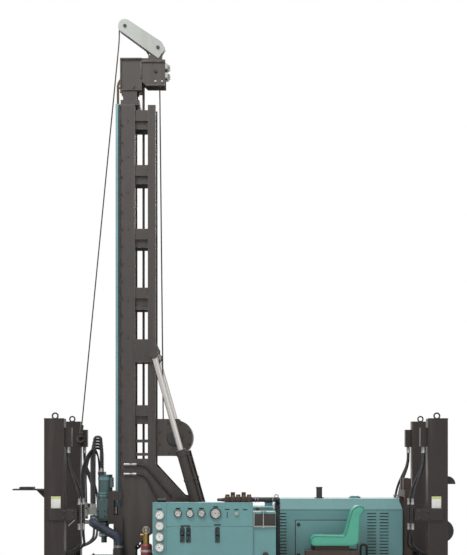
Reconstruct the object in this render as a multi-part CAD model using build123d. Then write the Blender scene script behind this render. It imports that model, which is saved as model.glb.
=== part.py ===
from build123d import *
import math
import os

# Crawler-mounted water well drilling rig, in millimetres.
# +X points to the engine end, +Y to the far side, +Z up, and Z = 0 is the ground.
# The model is laid out about the middle of the four jack legs.
# At the end everything is shifted so that the origin is the middle of the footprint.

# Clearances
FIT = 0.3
SLIDE_FIT = 0.5
RUN_FIT = 0.05
OVERRUN = 5.0
BEND_SHARE = 0.45

# Jack legs
LEG_SPAN_X = 3840.0
LEG_SPAN_Y = 1640.0
LEG_BOX = 200.0
LEG_WALL = 12.0
LEG_TOP = 2150.0
LEG_BOTTOM = 430.0
LEG_CAP = 15.0
LEG_EYE_R = 28.0
LEG_EYE_WIRE = 8.0
INNER_WALL = 12.0
INNER_BOTTOM = 205.0
INNER_TOP_GAP = 60.0
FOOT_R = 120.0
FOOT_RIM_R = 84.0
FOOT_THICK = 22.0
FOOT_LIFT = 110.0
FOOT_NECK_R = 42.0
COLLAR_LOW = 1150.0
COLLAR_HIGH = 1260.0
COLLAR_PLATE = 20.0
COLLAR_REACH = 130.0
COLLAR_INSET = 50.0
COLLAR_TUBE_R = 50.0
COLLAR_TUBE_IN = 27.0
HOSE_COVER_X = 70.0
HOSE_COVER_Y = 120.0
HOSE_COVER_LOW = 1885.0
HOSE_COVER_HIGH = 2075.0

# Chassis beams
BEAM_Y = 310.0
BEAM_WIDE = 80.0
BEAM_LOW = 560.0
BEAM_HIGH = 700.0
CROSS_WIDE = 140.0
AXLE_XS = (-500.0, 780.0)
AXLE_LOW = 230.0
AXLE_HIGH = 370.0
AXLE_WIDE = 140.0

# Tracks
TRACK_Y = 775.0
TRACK_WIDE = 300.0
SPROCKET_X = 1300.0
IDLER_X = -1050.0
WHEEL_Z = 265.0
TRACK_OUT_R = 242.0
TRACK_IN_R = 204.0
LUG_HIGH = 23.0
LUG_PITCH = 135.0
LUG_FOOT = 52.0
LUG_TIP = 26.0
ROLLER_R = 72.0
WAIST_WIDE_SHARE = 1 / 6
WAIST_DEEP_SHARE = 1 / 8
ROLLER_WIDE = 130.0
ROLLER_HUB_R = 34.0
ROLLER_COUNT = 6
CARRIER_R = 46.0
CARRIER_XS = (-300.0, 560.0)
IDLER_WIDE = 110.0
SPROCKET_WIDE = 60.0
SPROCKET_TEETH = 13
SPROCKET_TOOTH = 34.0
DRIVE_R = 120.0
DRIVE_DEEP = 150.0
FRAME_LOW = 190.0
FRAME_HIGH = 330.0
FRAME_WIDE = 150.0
FRAME_END_GAP = 30.0
CHEEK = 14.0
CHEEK_LOW = 112.0
AXLE_PIN_R = 22.0

# Deck
FENDER_Z = 600.0
FENDER_THICK = 8.0
FENDER_X0 = -1085.0
FENDER_X1 = 1650.0
FENDER_OUT = 900.0
FENDER_LIP = 60.0

# Mast pivot, at rest the mast stands upright
PIVOT_X = -660.0
PIVOT_Z = 1280.0
PIVOT_R = 30.0
PIVOT_BOSS_R = 75.0
STAND_Y = 272.0
STAND_THICK = 22.0
STAND_BOSS = 34.0
STAND_X0 = -1010.0
STAND_X1 = -430.0
STAND_HEAD_HALF = 95.0

# Mast
MAST_HALF = 200.0
POST_WIDE = 60.0
FRONT_X0 = -1311.0
FRONT_X1 = -1159.0
REAR_X0 = -1026.0
REAR_X1 = -944.0
MAST_TOP = 5450.0
MAST_BOTTOM = 450.0
REAR_BOTTOM = 1700.0
WEB_THICK = 10.0
RAIL_THICK = 24.0
RAIL_IN = 150.0
RAIL_OUT = 215.0
RUNG_HIGH = 112.0
RUNG_TUBE_HIGH = 80.0
RUNG_SHARES = (0.9903, 0.8853, 0.7633, 0.6506, 0.4255)
SMALL_BAR_SHARES = (0.6143, 0.3597, 0.3340)
SMALL_BAR_HIGH = 30.0
SIDE_PLATE = 20.0
GUSSET_BACK = 60.0
GUSSET_LOW = 850.0
GUSSET_TANGENT_SHARE = 0.707
BOLT_PITCH = 377.0
BOLT_R = 9.0
BOLT_HIGH = 7.0
SHOULDER_Z = 1520.0

# Chain cover and feed chain
COVER_FRONT = -1373.0
COVER_BACK = -1321.0
COVER_HALF = 60.0
COVER_SLOT = 20.0
COVER_WALL = 5.0
COVER_LOW = 1250.0
COVER_RISE = 40.0
CHAIN_HALF = 13.0
CHAIN_THICK = 20.0
CHAIN_LINK = 60.0
CHAIN_WAIST = 3.0

# Crown
WHEEL_X = -1217.0
WHEEL_TOP_RISE = 218.0
WHEEL_PITCH_R = 135.0
WHEEL_WIDE = 24.0
WHEEL_TEETH = 16
WHEEL_TOOTH = 13.0
WHEEL_HUB_R = 45.0
WHEEL_PIN_R = 25.0
WHEEL_LOW_Z = 930.0
WHEEL_SLOT_HALF = 20.0
TOOTH_ROOT_SHARE = 0.28
TOOTH_TIP_SHARE = 0.13
CROWN_HALF = 110.0
CROWN_PLATE = 16.0
CROWN_X0 = -1322.0
CROWN_X1 = -1094.0
CROWN_LOW_RISE = 169.0
CROWN_HIGH_RISE = 509.0
NECK_X0 = -1291.0
NECK_X1 = -1146.0
HEAD_COLLAR_X0 = -1333.0
HEAD_COLLAR_X1 = -1114.0
HEAD_COLLAR_HIGH = 52.0
ARM_X1 = -849.0
ARM_LOW_RISE = 280.0
ARM_HIGH_RISE = 478.0
FLANGE_LOW_RISE = 218.0
ROPE_PULLEY_X = -963.0
ROPE_PULLEY_RISE = 360.0
ROPE_PULLEY_R = 50.0
END_ROLLER_R = 26.0
PULLEY_RIM = 12.0
PULLEY_WIDE = 30.0
ROPE_R = 7.0
ROPE_CLEAR = 28.0
ROPE_BEND_R = 600.0

# Jib
JIB_FOOT_X = -929.0
JIB_FOOT_RISE = 156.0
JIB_TIP_X = -1276.0
JIB_TIP_RISE = 228.0
JIB_WIDE = 140.0
JIB_HEEL = 25.0
JIB_PLATE = 10.0
JIB_HALF = 55.0
TIP_PULLEY_R = 62.0
JIB_PIN_R = 18.0
JIB_BLOCK_X0 = -1030.0
JIB_BLOCK_X1 = -884.0
JIB_BLOCK_HIGH = 60.0

# Hoist winch
WINCH_X = -747.0
WINCH_Z = 1977.0
WINCH_R = 190.0
WINCH_HALF = 160.0
WINCH_PLATE = 14.0
WINCH_LOW = 1788.0
WINCH_HIGH = 2176.0
WINCH_X0 = -944.0
WINCH_X1 = -700.0
DRUM_R = 118.0
DRUM_FLANGE_R = 165.0
DRUM_FLANGE = 12.0
DRUM_SHAFT_R = 35.0
WINCH_MOTOR_R = 80.0
WINCH_MOTOR_DEEP = 60.0

# Mast cylinders
CYL_Y = 420.0
CYL_TOP_X = -952.0
CYL_TOP_Z = 2837.0
CYL_FOOT_X = -323.0
CYL_FOOT_Z = 600.0
BARREL_R = 50.0
BARREL_BORE_R = 40.0
ROD_R = 29.0
EYE_R = 48.0
EYE_WIDE = 60.0
CYL_PIN_R = 25.0
GLAND_R = 56.0
GLAND_LONG = 60.0
BARREL_START = 92.0
BARREL_END = 1298.0
PIPE_START = 150.0
ROD_TAIL = 1250.0
CYL_PIPE_R = 12.0
CYL_LUG = 16.0
CYL_BRACKET_R = 70.0
CROSS_SHAFT_OVER = 14.0
CROSS_CAP_R = 40.0
MAST_BRACKET_HIGH = 3005.0

# Rotary head
SPINDLE_X = -1499.0
HEAD_LOW = 1112.0
HEAD_HIGH = 1300.0
HEAD_X0 = -1562.0
HEAD_X1 = -1437.0
HEAD_HALF = 190.0
CARRIAGE_BACK = -1380.0
CARRIAGE_HALF = 236.0
CARRIAGE_LOW = 1080.0
CARRIAGE_HIGH = 1420.0
CLAW_BACK = -1294.0
CLAW_HIGH = 90.0
MOTOR_R = 67.0
MOTOR_X = -1484.0
MOTOR_Y = 95.0
MOTOR_TOP = 1591.0
MOTOR_FLANGE_X0 = -1551.0
MOTOR_FLANGE_X1 = -1397.0
MOTOR_FLANGE_HIGH = 31.0
MOTOR_FLANGE_HALF = 178.0
HEAD_PLATE_R = 85.0
HEAD_PLATE_THICK = 12.0
SPINDLE_R = 52.0
SPINDLE_LOW = 936.0
SPINDLE_SHAFT_R = 36.0
SPINDLE_SHAFT_DEEP = 90.0
NOSE_R = 30.0
NOSE_LONG = 60.0

# Air valve on the head
VALVE_X0 = -1749.0
VALVE_X1 = -1655.0
VALVE_LOW = 1133.0
VALVE_HIGH = 1258.0
VALVE_Y = -150.0
VALVE_HALF = 40.0
AIR_PIPE_R = 20.0
AIR_PIPE_Z = 1098.0
AIR_BOSS_X = -1592.0
AIR_BOSS_R = 36.0
LEVER_R = 6.0
LEVER_REACH = 105.0
LEVER_DROP = 95.0
AIR_HOSE_R = 46.0

# Rod clamp at the mast's foot
CLAMP_X0 = -1640.0
CLAMP_X1 = -1370.0
CLAMP_LOW = 610.0
CLAMP_HIGH = 740.0
CLAMP_HALF = 170.0
CLAMP_BORE_R = 70.0
CLAMP_CYL_R = 48.0
CLAMP_CYL_LONG = 88.0

# Engine and hood
HOOD_X0 = 283.0
HOOD_X1 = 1617.0
HOOD_HALF = 350.0
HOOD_TOP = 1345.0
HOOD_CHAMFER = 108.0
HOOD_HIP = 36.0
HOOD_INSET = 95.0
HOOD_WALL = 5.0
DOOR_X0 = 513.0
DOOR_X1 = 1145.0
DOOR_TOP = 1122.0
DOOR_LOW = 722.0
DOOR_GAP = 4.0
DOOR_HANDLE_IN = 40.0
DOOR_HINGE_R = 9.0
DOOR_HINGE_LIFT = 1.0
DOOR_PIN_R = 4.0
DOOR_KNUCKLE = 30.0
LOUVRE_SHARES = ((0.030, 0.100), (0.727, 0.795), (0.822, 0.890))
LOUVRE_PITCH = 32.0
LOUVRE_HIGH = 13.0
LOUVRE_TOP = 1205.0
LOUVRE_LOW = 745.0
ENGINE_X0 = 430.0
ENGINE_X1 = 1330.0
ENGINE_HALF = 255.0
ENGINE_LOW = 600.0
ENGINE_HIGH = 1190.0
ENGINE_FOOT = 20.0
ENGINE_FOOT_LONG = 160.0
EXHAUST_X = 770.0
EXHAUST_R = 31.0
EXHAUST_TOP = 1462.0
HOOD_EYE_R = 18.0
HOOD_EYE_WIRE = 5.0
CAP_X = 1145.0
CAP_R = 62.0
CAP_HIGH = 14.0

# Control box
PANEL_X0 = -936.0
PANEL_X1 = 70.0
PANEL_STRIP_X = -797.0
SIDE_X1 = 300.0
SIDE_TOP = 1230.0
PANEL_TOP = 1320.0
PANEL_SEAM_Z = 1082.0
PANEL_FRONT = -900.0
PANEL_BACK = -560.0
SEAM = 4.0
GAUGE_DEEP = 16.0
GAUGE_R = 44.0
SMALL_GAUGE_R = 37.0
LARGE_GAUGE_R = 53.0
STRIP_GAUGE_X = -866.0
STRIP_GAUGE_ZS = (1200.0, 1090.0, 980.0, 875.0)
TOP_GAUGE_Z = 1215.0
TOP_GAUGE_XS = (-681.0, -561.0, -446.0)
LARGE_GAUGE_X = -305.0
KNOB_X = -96.0
KNOB_R = 20.0
SLOT_XS = (-637.0, -577.0, -286.0)
SLOT_WIDE = 30.0
SLOT_HIGH = 140.0
SLOT_TOP = 1070.0
SLOT_DEEP = 60.0
LEVER_BALL_R = 16.0
LEVER_OUT = 24.0
TEE_X = 175.0
TEE_TOP = 1235.0
TEE_LOW = 1080.0
TEE_HALF = 30.0

# Seat
SEAT_X0 = 646.0
SEAT_X1 = 1100.0
SEAT_FRONT = -890.0
SEAT_BACK = -505.0
SEAT_LOW = 890.0
SEAT_TOP = 990.0
SEAT_BACK_TOP = 1290.0
SEAT_BACK_FOOT_X = 1050.0
SEAT_BACK_X = 1190.0
SEAT_ROLL = 26.0
SEAT_BASE_X0 = 600.0
SEAT_BASE_X1 = 1130.0
SEAT_BASE_TOP = 840.0
SEAT_BASE_INSET = 30.0

# Tanks on the far side
OIL_X0 = -900.0
OIL_X1 = 380.0
OIL_TOP = 1240.0
TANK_IN = 500.0
TANK_OUT = 890.0
FUEL_X0 = 1190.0
FUEL_X1 = 1600.0
FUEL_TOP = 1080.0
TANK_ROUND = 30.0
FILLER_R = 45.0
FILLER_HIGH = 40.0

# Mast rest
REST_BACK = 200.0
REST_LONG = 80.0
REST_BAR_LOW = 1360.0
REST_BAR_HIGH = 1432.0
REST_HALF = 340.0
REST_POST = 60.0
REST_PAD_TOP = 1555.0
REST_PAD_HALF = 210.0

# Hoist rope and hook
HOOK_IN_X = 120.0
HOOK_IN_Y = 160.0
HOOK_TOP_Z = 2120.0
HOOK_R = 34.0
HOOK_WIRE = 9.0
HOOK_BLOCK_R = 22.0
HOOK_BLOCK_LONG = 90.0

# Hoses
HOSE_R = 13.0
FINE_HOSE_R = 10.0
HEAD_HOSE_YS = (-128.0, -94.0, -60.0, -26.0, 8.0)
HEAD_HOSE_TOP = 1990.0
HEAD_HOSE_STEP = 30.0
HEAD_HOSE_LOW = 1245.0
HEAD_HOSE_STAGGER = 10.0
HEAD_HOSE_X = -1590.0
MANIFOLD_HIGH = 70.0
MANIFOLD_EDGE = 25.0
MANIFOLD_LIP = 5.0
HOSE_CAP_HIGH = 30.0
AIR_CLAMP_X = -1320.0
AIR_CLAMP_Z = 945.0
AIR_COUPLING_R = 60.0
AIR_COUPLING_LONG = 90.0
AIR_HOSE_OUT = 120.0
MAST_HOSE_Y = -216.0
MAST_HOSE_ZS = (1700.0, 1600.0)
MAST_HOSE_X0 = -1215.0
MAST_HOSE_BEND_X = -1060.0
MAST_HOSE_END_X = -790.0
MAST_HOSE_DROP = 320.0
FITTING_R = 17.0
FITTING_LONG = 60.0
LEG_HOSE_SPREAD = 34.0
LEG_HOSE_OUT = 262.0
LEG_HOSE_KINK = 1700.0
LEG_HOSE_KNEE = 1400.0
LEG_HOSE_LOW = 1000.0
LEG_HOSE_TURN = 860.0
LEG_HOSE_IN = 40.0
LEG_HOSE_END_Y = 640.0

# Pieces on and beside the control box
VALVE_BLOCK_X0 = -215.0
VALVE_BLOCK_X1 = 58.0
VALVE_BLOCK_Y0 = -840.0
VALVE_BLOCK_Y1 = -640.0
VALVE_BLOCK_HIGH = 58.0
SPOOL_R = 22.0
SPOOL_LONG = 46.0
SPOOL_COUNT = 5
TOP_PIPE_R = 24.0
DOWN_HOSE_X = 322.0
DOWN_HOSE_Y = -530.0
FILTER_X0 = -890.0
FILTER_X1 = -805.0
FILTER_R = 20.0
FILTER_Y = -800.0
BOTTLE_X = -1008.0
BOTTLE_Y = -720.0
BOTTLE_R = 58.0
BOTTLE_TOP = 905.0
BOTTLE_VALVE_R = 30.0
BOTTLE_VALVE_TOP = 1075.0

# Small pieces on the legs
DOME_R = 80.0
DOME_Z = 1508.0
DOME_HALF = 60.0
TRAY_REACH = 316.0
TRAY_Z = 1446.0
TRAY_THICK = 14.0
TRAY_RAISE = 20.0
TRAY_RAISE_START = 66.0
TRAY_RAISE_END = 206.0
TRAY_BRACE = 90.0
DISC_OVER = 70.0
DISC_Z = 1030.0
DISC_R = 115.0
DISC_THICK = 40.0
DISC_HUB_R = 35.0

# Places that follow the legs and the mast's top
LEG_X = LEG_SPAN_X / 2
LEG_Y = LEG_SPAN_Y / 2
LEG_HALF = LEG_BOX / 2
COVER_HIGH = MAST_TOP + COVER_RISE
WHEEL_TOP_Z = MAST_TOP + WHEEL_TOP_RISE
CROWN_LOW = MAST_TOP + CROWN_LOW_RISE
CROWN_HIGH = MAST_TOP + CROWN_HIGH_RISE
ARM_LOW = MAST_TOP + ARM_LOW_RISE
ARM_HIGH = MAST_TOP + ARM_HIGH_RISE
FLANGE_LOW = MAST_TOP + FLANGE_LOW_RISE
ROPE_PULLEY_Z = MAST_TOP + ROPE_PULLEY_RISE
JIB_FOOT_Z = ARM_HIGH + JIB_FOOT_RISE
JIB_TIP_Z = JIB_FOOT_Z + JIB_TIP_RISE
HOOK_X = HOOK_IN_X - LEG_X
HOOK_Y = LEG_Y - HOOK_IN_Y
TRAY_X0 = -LEG_X - LEG_HALF - TRAY_REACH
TRAY_RAISE_X0 = TRAY_X0 + TRAY_RAISE_START
TRAY_RAISE_X1 = TRAY_X0 + TRAY_RAISE_END
DISC_X = LEG_X + DISC_OVER
REST_X1 = LEG_X - REST_BACK
REST_X0 = REST_X1 - REST_LONG
INNER_BOX = LEG_BOX - 2 * (LEG_WALL + SLIDE_FIT)
RIGHT_END = DISC_X + DISC_R
SHIFT_X = -(TRAY_X0 + RIGHT_END) / 2
SIDES = (-1, 1)


def block(x0, x1, y0, y1, z0, z1):
    """A box between two corners."""
    middle = ((x0 + x1) / 2, (y0 + y1) / 2, (z0 + z1) / 2)
    return Pos(*middle) * Box(abs(x1 - x0), abs(y1 - y0), abs(z1 - z0))


def round_bar(start, end, radius):
    """A cylinder from one point to another."""
    line = Vector(*end) - Vector(*start)
    plane = Plane(origin=start, z_dir=line)
    return Solid.make_cylinder(radius, line.length, plane)


def pipe(start, end, radius, bore):
    """A tube with open ends."""
    line = (Vector(*end) - Vector(*start)).normalized() * OVERRUN
    low = Vector(*start) - line
    high = Vector(*end) + line
    return round_bar(start, end, radius) - round_bar(tuple(low), tuple(high), bore)


def plate(points, y0, y1):
    """A flat plate whose outline is given in X and Z."""
    outline = Polyline(*[(x, y0, z) for x, z in points], close=True)
    return extrude(make_face(outline), amount=y1 - y0, dir=(0, 1, 0))


def mirrored(shape):
    """The same shape on the other side of the machine."""
    return mirror(shape, about=Plane.XZ)


def on_both_sides(shape):
    """A pair, one on each side."""
    return [shape, mirrored(shape)]


def ring(centre, radius, wire, axis):
    """A round eye."""
    return Plane(origin=centre, z_dir=axis) * Torus(radius, wire)


def hose(points, radius):
    """A round hose along straight runs joined by tangent arcs."""
    vectors = [Vector(*point) for point in points]
    bends = []
    for before, here, after in zip(vectors, vectors[1:], vectors[2:]):
        turn = math.radians((here - before).get_angle(after - here))
        shorter = min((here - before).length, (after - here).length)
        bends.append(BEND_SHARE * shorter / math.tan(turn / 2))
    path = FilletPolyline(*vectors, radius=bends)
    section = Plane(origin=path @ 0, z_dir=path % 0) * Circle(radius)
    return sweep(section, path=path)


def solids_of(shapes):
    """All solids of a list of shapes as one compound."""
    found = []
    for shape in shapes:
        found.extend(shape.solids())
    return Compound(children=found)


def joined(shapes):
    """One piece out of shapes that meet."""
    whole = shapes[0]
    for shape in shapes[1:]:
        whole = whole + shape
    return whole


def track_outline(radius):
    """Points of a track's lugged outer edge, in X and Z, at the given root radius."""
    straight = SPROCKET_X - IDLER_X
    turn = math.pi * radius
    loop = 2 * (straight + turn)
    count = round(loop / LUG_PITCH)
    step = loop / count
    places = []
    for index in range(count):
        middle = (index + 0.5) * step
        for offset, height in (
            (-LUG_FOOT / 2, 0),
            (-LUG_TIP / 2, LUG_HIGH),
            (LUG_TIP / 2, LUG_HIGH),
            (LUG_FOOT / 2, 0),
        ):
            places.append((middle + offset, height))
    return [loop_point(along, radius, height) for along, height in places]


def loop_point(along, radius, height):
    """A point of the loop at a distance along it from the lower front, and outward by a height."""
    straight = SPROCKET_X - IDLER_X
    turn = math.pi * radius
    if along < straight:
        return (IDLER_X + along, WHEEL_Z - radius - height)
    if along < straight + turn:
        angle = (along - straight) / radius
        out = radius + height
        return (SPROCKET_X + out * math.sin(angle), WHEEL_Z - out * math.cos(angle))
    if along < 2 * straight + turn:
        return (SPROCKET_X - (along - straight - turn), WHEEL_Z + radius + height)
    angle = (along - 2 * straight - turn) / radius
    out = radius + height
    return (IDLER_X - out * math.sin(angle), WHEEL_Z + out * math.cos(angle))


def track(side):
    """One closed track with its shoes and lugs, and the room inside it."""
    y0 = side * TRACK_Y - TRACK_WIDE / 2
    y1 = y0 + TRACK_WIDE
    band = plate(track_outline(TRACK_OUT_R), y0, y1)
    inner = block(
        IDLER_X, SPROCKET_X, y0 - OVERRUN, y1 + OVERRUN, WHEEL_Z - TRACK_IN_R, WHEEL_Z + TRACK_IN_R
    )
    for x in (IDLER_X, SPROCKET_X):
        inner += round_bar((x, y0 - OVERRUN, WHEEL_Z), (x, y1 + OVERRUN, WHEEL_Z), TRACK_IN_R)
    return band - inner


def roller(x, z, radius, y, wide):
    """A track roller with a narrow waist."""
    whole = round_bar((x, y - wide / 2, z), (x, y + wide / 2, z), radius)
    groove = wide * WAIST_WIDE_SHARE
    waist = pipe(
        (x, y - groove, z), (x, y + groove, z), radius + OVERRUN, radius - wide * WAIST_DEEP_SHARE
    )
    bore = round_bar((x, y - wide, z), (x, y + wide, z), AXLE_PIN_R + FIT)
    return whole - waist - bore


def roller_places():
    """X positions of the bottom rollers, evenly between idler and sprocket."""
    first = IDLER_X + TRACK_IN_R + ROLLER_R
    last = SPROCKET_X - TRACK_IN_R - ROLLER_R
    step = (last - first) / (ROLLER_COUNT - 1)
    return [first + index * step for index in range(ROLLER_COUNT)]


def track_rollers():
    """Idlers, bottom rollers and carrier rollers of both tracks."""
    pieces = []
    for side in SIDES:
        y = side * TRACK_Y
        for x in roller_places():
            z = WHEEL_Z - TRACK_IN_R + FIT + ROLLER_R
            pieces.append(roller(x, z, ROLLER_R, y, ROLLER_WIDE))
        for x in CARRIER_XS:
            z = WHEEL_Z + TRACK_IN_R - FIT - CARRIER_R
            pieces.append(roller(x, z, CARRIER_R, y, ROLLER_WIDE))
        pieces.append(roller(IDLER_X, WHEEL_Z, TRACK_IN_R - FIT, y, IDLER_WIDE))
    return solids_of(pieces)


def toothed_wheel(teeth, root, tip, centre_x, centre_z, y0, y1):
    """A wheel with straight teeth about an axle along Y."""
    points = []
    step = 2 * math.pi / teeth
    for index in range(teeth):
        for share, radius in (
            (-TOOTH_ROOT_SHARE, root),
            (-TOOTH_TIP_SHARE, tip),
            (TOOTH_TIP_SHARE, tip),
            (TOOTH_ROOT_SHARE, root),
        ):
            angle = (index + share) * step
            points.append((centre_x + radius * math.sin(angle), centre_z + radius * math.cos(angle)))
    return plate(points, y0, y1)


def track_sprockets():
    """Drive sprockets with their hub motors."""
    pieces = []
    for side in SIDES:
        y = side * TRACK_Y
        root = TRACK_IN_R - FIT - SPROCKET_TOOTH
        wheel = toothed_wheel(
            SPROCKET_TEETH,
            root,
            TRACK_IN_R - FIT,
            SPROCKET_X,
            WHEEL_Z,
            y - SPROCKET_WIDE / 2,
            y + SPROCKET_WIDE / 2,
        )
        outer = y + side * DRIVE_DEEP
        inner = y - side * DRIVE_DEEP
        cap = round_bar((SPROCKET_X, y, WHEEL_Z), (SPROCKET_X, outer - side * CHEEK, WHEEL_Z), DRIVE_R)
        inner_part = round_bar((SPROCKET_X, inner, WHEEL_Z), (SPROCKET_X, y, WHEEL_Z), DRIVE_R - CHEEK)
        pieces.append(joined([wheel, cap, inner_part]))
    return solids_of(pieces)


def track_frames():
    """Box beams of the tracks with roller cheeks, idler forks and axle pins."""
    pieces = []
    for side in SIDES:
        y = side * TRACK_Y
        x0 = IDLER_X + TRACK_IN_R + FRAME_END_GAP
        x1 = SPROCKET_X - TRACK_IN_R - FRAME_END_GAP
        beam = block(
            x0, x1, y - FRAME_WIDE / 2, y + FRAME_WIDE / 2, FRAME_LOW + ROLLER_HUB_R, FRAME_HIGH
        )
        parts = [beam]
        for edge in (-1, 1):
            inner = y + edge * (ROLLER_WIDE / 2 + SLIDE_FIT)
            outer = inner + edge * CHEEK
            parts.append(block(x0, x1, inner, outer, CHEEK_LOW, FRAME_HIGH))
            parts.append(
                block(
                    IDLER_X - AXLE_PIN_R * 2,
                    x0 + CHEEK,
                    inner,
                    outer,
                    WHEEL_Z - AXLE_PIN_R * 2,
                    WHEEL_Z + AXLE_PIN_R * 2,
                )
            )
            plate_end = SPROCKET_X + DRIVE_R / 2
            if edge == -side:
                parts.append(
                    block(x1 - CHEEK, plate_end, inner, outer, WHEEL_Z - DRIVE_R, WHEEL_Z + DRIVE_R)
                )
        half_pin = ROLLER_WIDE / 2 + SLIDE_FIT + CHEEK
        for x in roller_places():
            z = WHEEL_Z - TRACK_IN_R + FIT + ROLLER_R
            parts.append(round_bar((x, y - half_pin, z), (x, y + half_pin, z), AXLE_PIN_R))
        parts.append(
            round_bar((IDLER_X, y - half_pin, WHEEL_Z), (IDLER_X, y + half_pin, WHEEL_Z), AXLE_PIN_R)
        )
        for x in CARRIER_XS:
            z = WHEEL_Z + TRACK_IN_R - FIT - CARRIER_R
            parts.append(round_bar((x, y - half_pin, z), (x, y + half_pin, z), AXLE_PIN_R))
            for edge in (-1, 1):
                inner = y + edge * (ROLLER_WIDE / 2 + SLIDE_FIT)
                parts.append(
                    block(
                        x - AXLE_PIN_R * 2,
                        x + AXLE_PIN_R * 2,
                        inner,
                        inner + edge * CHEEK,
                        FRAME_HIGH - CHEEK,
                        z + AXLE_PIN_R,
                    )
                )
        frame = joined(parts)
        motor = round_bar(
            (SPROCKET_X, y - side * TRACK_WIDE, WHEEL_Z),
            (SPROCKET_X, y + side * TRACK_WIDE, WHEEL_Z),
            DRIVE_R - CHEEK + FIT,
        )
        pieces.append(frame - motor)
    return solids_of(pieces)


def hollow_beam(x0, x1, y0, y1, z0, z1, wall, axis):
    """A box beam, hollow along one axis."""
    inner = [x0 + wall, x1 - wall, y0 + wall, y1 - wall, z0 + wall, z1 - wall]
    inner[2 * axis] = (x0, y0, z0)[axis] - OVERRUN
    inner[2 * axis + 1] = (x1, y1, z1)[axis] + OVERRUN
    return block(x0, x1, y0, y1, z0, z1) - block(*inner)


def chassis_frame():
    """Long beams, cross beams between the legs, and the axles that carry the track frames."""
    end_x = LEG_X - CROSS_WIDE / 2
    parts = []
    for side in SIDES:
        y0 = side * BEAM_Y - BEAM_WIDE / 2
        parts.append(block(-end_x, end_x, y0, y0 + BEAM_WIDE, BEAM_LOW, BEAM_HIGH))
    for side in SIDES:
        x0 = side * LEG_X - CROSS_WIDE / 2
        reach = LEG_Y - LEG_HALF
        parts.append(block(x0, x0 + CROSS_WIDE, -reach, reach, BEAM_LOW, BEAM_HIGH))
    for x in AXLE_XS:
        reach = TRACK_Y - ROLLER_WIDE / 2 - SLIDE_FIT - CHEEK
        parts.append(block(x - AXLE_WIDE / 2, x + AXLE_WIDE / 2, -reach, reach, AXLE_LOW, AXLE_HIGH))
        for side in SIDES:
            y0 = side * BEAM_Y - BEAM_WIDE / 2
            parts.append(
                block(x - AXLE_WIDE / 2, x + AXLE_WIDE / 2, y0, y0 + BEAM_WIDE, AXLE_HIGH, BEAM_LOW)
            )
    for side in SIDES:
        inner = side * (BEAM_Y + BEAM_WIDE / 2)
        for y0 in (inner, side * (CYL_Y + EYE_WIDE / 2 + SLIDE_FIT)):
            if y0 == inner:
                y1 = side * (CYL_Y - EYE_WIDE / 2 - SLIDE_FIT)
            else:
                y1 = y0 + side * CYL_LUG
            ear = round_bar((CYL_FOOT_X, y0, CYL_FOOT_Z), (CYL_FOOT_X, y1, CYL_FOOT_Z), CYL_BRACKET_R)
            parts.append(ear)
            foot = block(
                CYL_FOOT_X - CYL_BRACKET_R,
                CYL_FOOT_X + CYL_BRACKET_R,
                y0,
                y1,
                BEAM_LOW - CYL_BRACKET_R,
                CYL_FOOT_Z,
            )
            parts.append(foot)
        outer = side * (CYL_Y + EYE_WIDE / 2 + SLIDE_FIT + CYL_LUG)
        parts.append(
            block(
                CYL_FOOT_X - CYL_BRACKET_R,
                CYL_FOOT_X + CYL_BRACKET_R,
                inner,
                outer,
                BEAM_LOW - CYL_BRACKET_R - CYL_LUG,
                BEAM_LOW - CYL_BRACKET_R,
            )
        )
        parts.append(
            round_bar((CYL_FOOT_X, inner, CYL_FOOT_Z), (CYL_FOOT_X, outer, CYL_FOOT_Z), CYL_PIN_R)
        )
    return joined(parts)


def fenders():
    """Deck plates over the tracks, with a lip outside and a notch for each mast cylinder."""
    inner = BEAM_Y + BEAM_WIDE / 2
    sheet = block(FENDER_X0, FENDER_X1, inner, FENDER_OUT, FENDER_Z, FENDER_Z + FENDER_THICK)
    lip = block(
        FENDER_X0,
        FENDER_X1,
        FENDER_OUT - FENDER_THICK,
        FENDER_OUT,
        FENDER_Z - FENDER_LIP,
        FENDER_Z + FENDER_THICK,
    )
    notch_half = CYL_BRACKET_R + CYL_LUG
    notch = block(
        CYL_FOOT_X - notch_half,
        CYL_FOOT_X + notch_half,
        inner - OVERRUN,
        CYL_Y + EYE_WIDE / 2 + SLIDE_FIT + CYL_LUG + FIT,
        FENDER_Z - OVERRUN,
        FENDER_Z + FENDER_THICK + OVERRUN,
    )
    return solids_of(on_both_sides(sheet + lip - notch))


def mast_stand():
    """Two upright plates on the beams that carry the mast's pivot pin."""
    points = [
        (STAND_X0, BEAM_HIGH),
        (STAND_X1, BEAM_HIGH),
        (PIVOT_X + STAND_HEAD_HALF, PIVOT_Z),
        (PIVOT_X - STAND_HEAD_HALF, PIVOT_Z),
    ]
    side_plate = plate(points, STAND_Y, STAND_Y + STAND_THICK)
    side_plate += round_bar(
        (PIVOT_X, STAND_Y, PIVOT_Z), (PIVOT_X, STAND_Y + STAND_THICK, PIVOT_Z), STAND_HEAD_HALF
    )
    boss_in = STAND_Y - STAND_BOSS
    side_plate += round_bar(
        (PIVOT_X, boss_in, PIVOT_Z), (PIVOT_X, STAND_Y + STAND_THICK * 2, PIVOT_Z), PIVOT_BOSS_R
    )
    rib_x = (STAND_X0 + STAND_X1) / 2
    rib = block(
        rib_x - STAND_THICK / 2,
        rib_x + STAND_THICK / 2,
        STAND_Y + STAND_THICK,
        BEAM_Y + BEAM_WIDE / 2,
        BEAM_HIGH,
        PIVOT_Z - STAND_HEAD_HALF * 2,
    )
    side_plate += rib
    reach = MAST_HALF + STAND_THICK + STAND_BOSS
    pin = round_bar((PIVOT_X, -reach, PIVOT_Z), (PIVOT_X, reach, PIVOT_Z), PIVOT_R)
    return joined([side_plate, pin, mirrored(side_plate)])


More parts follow.
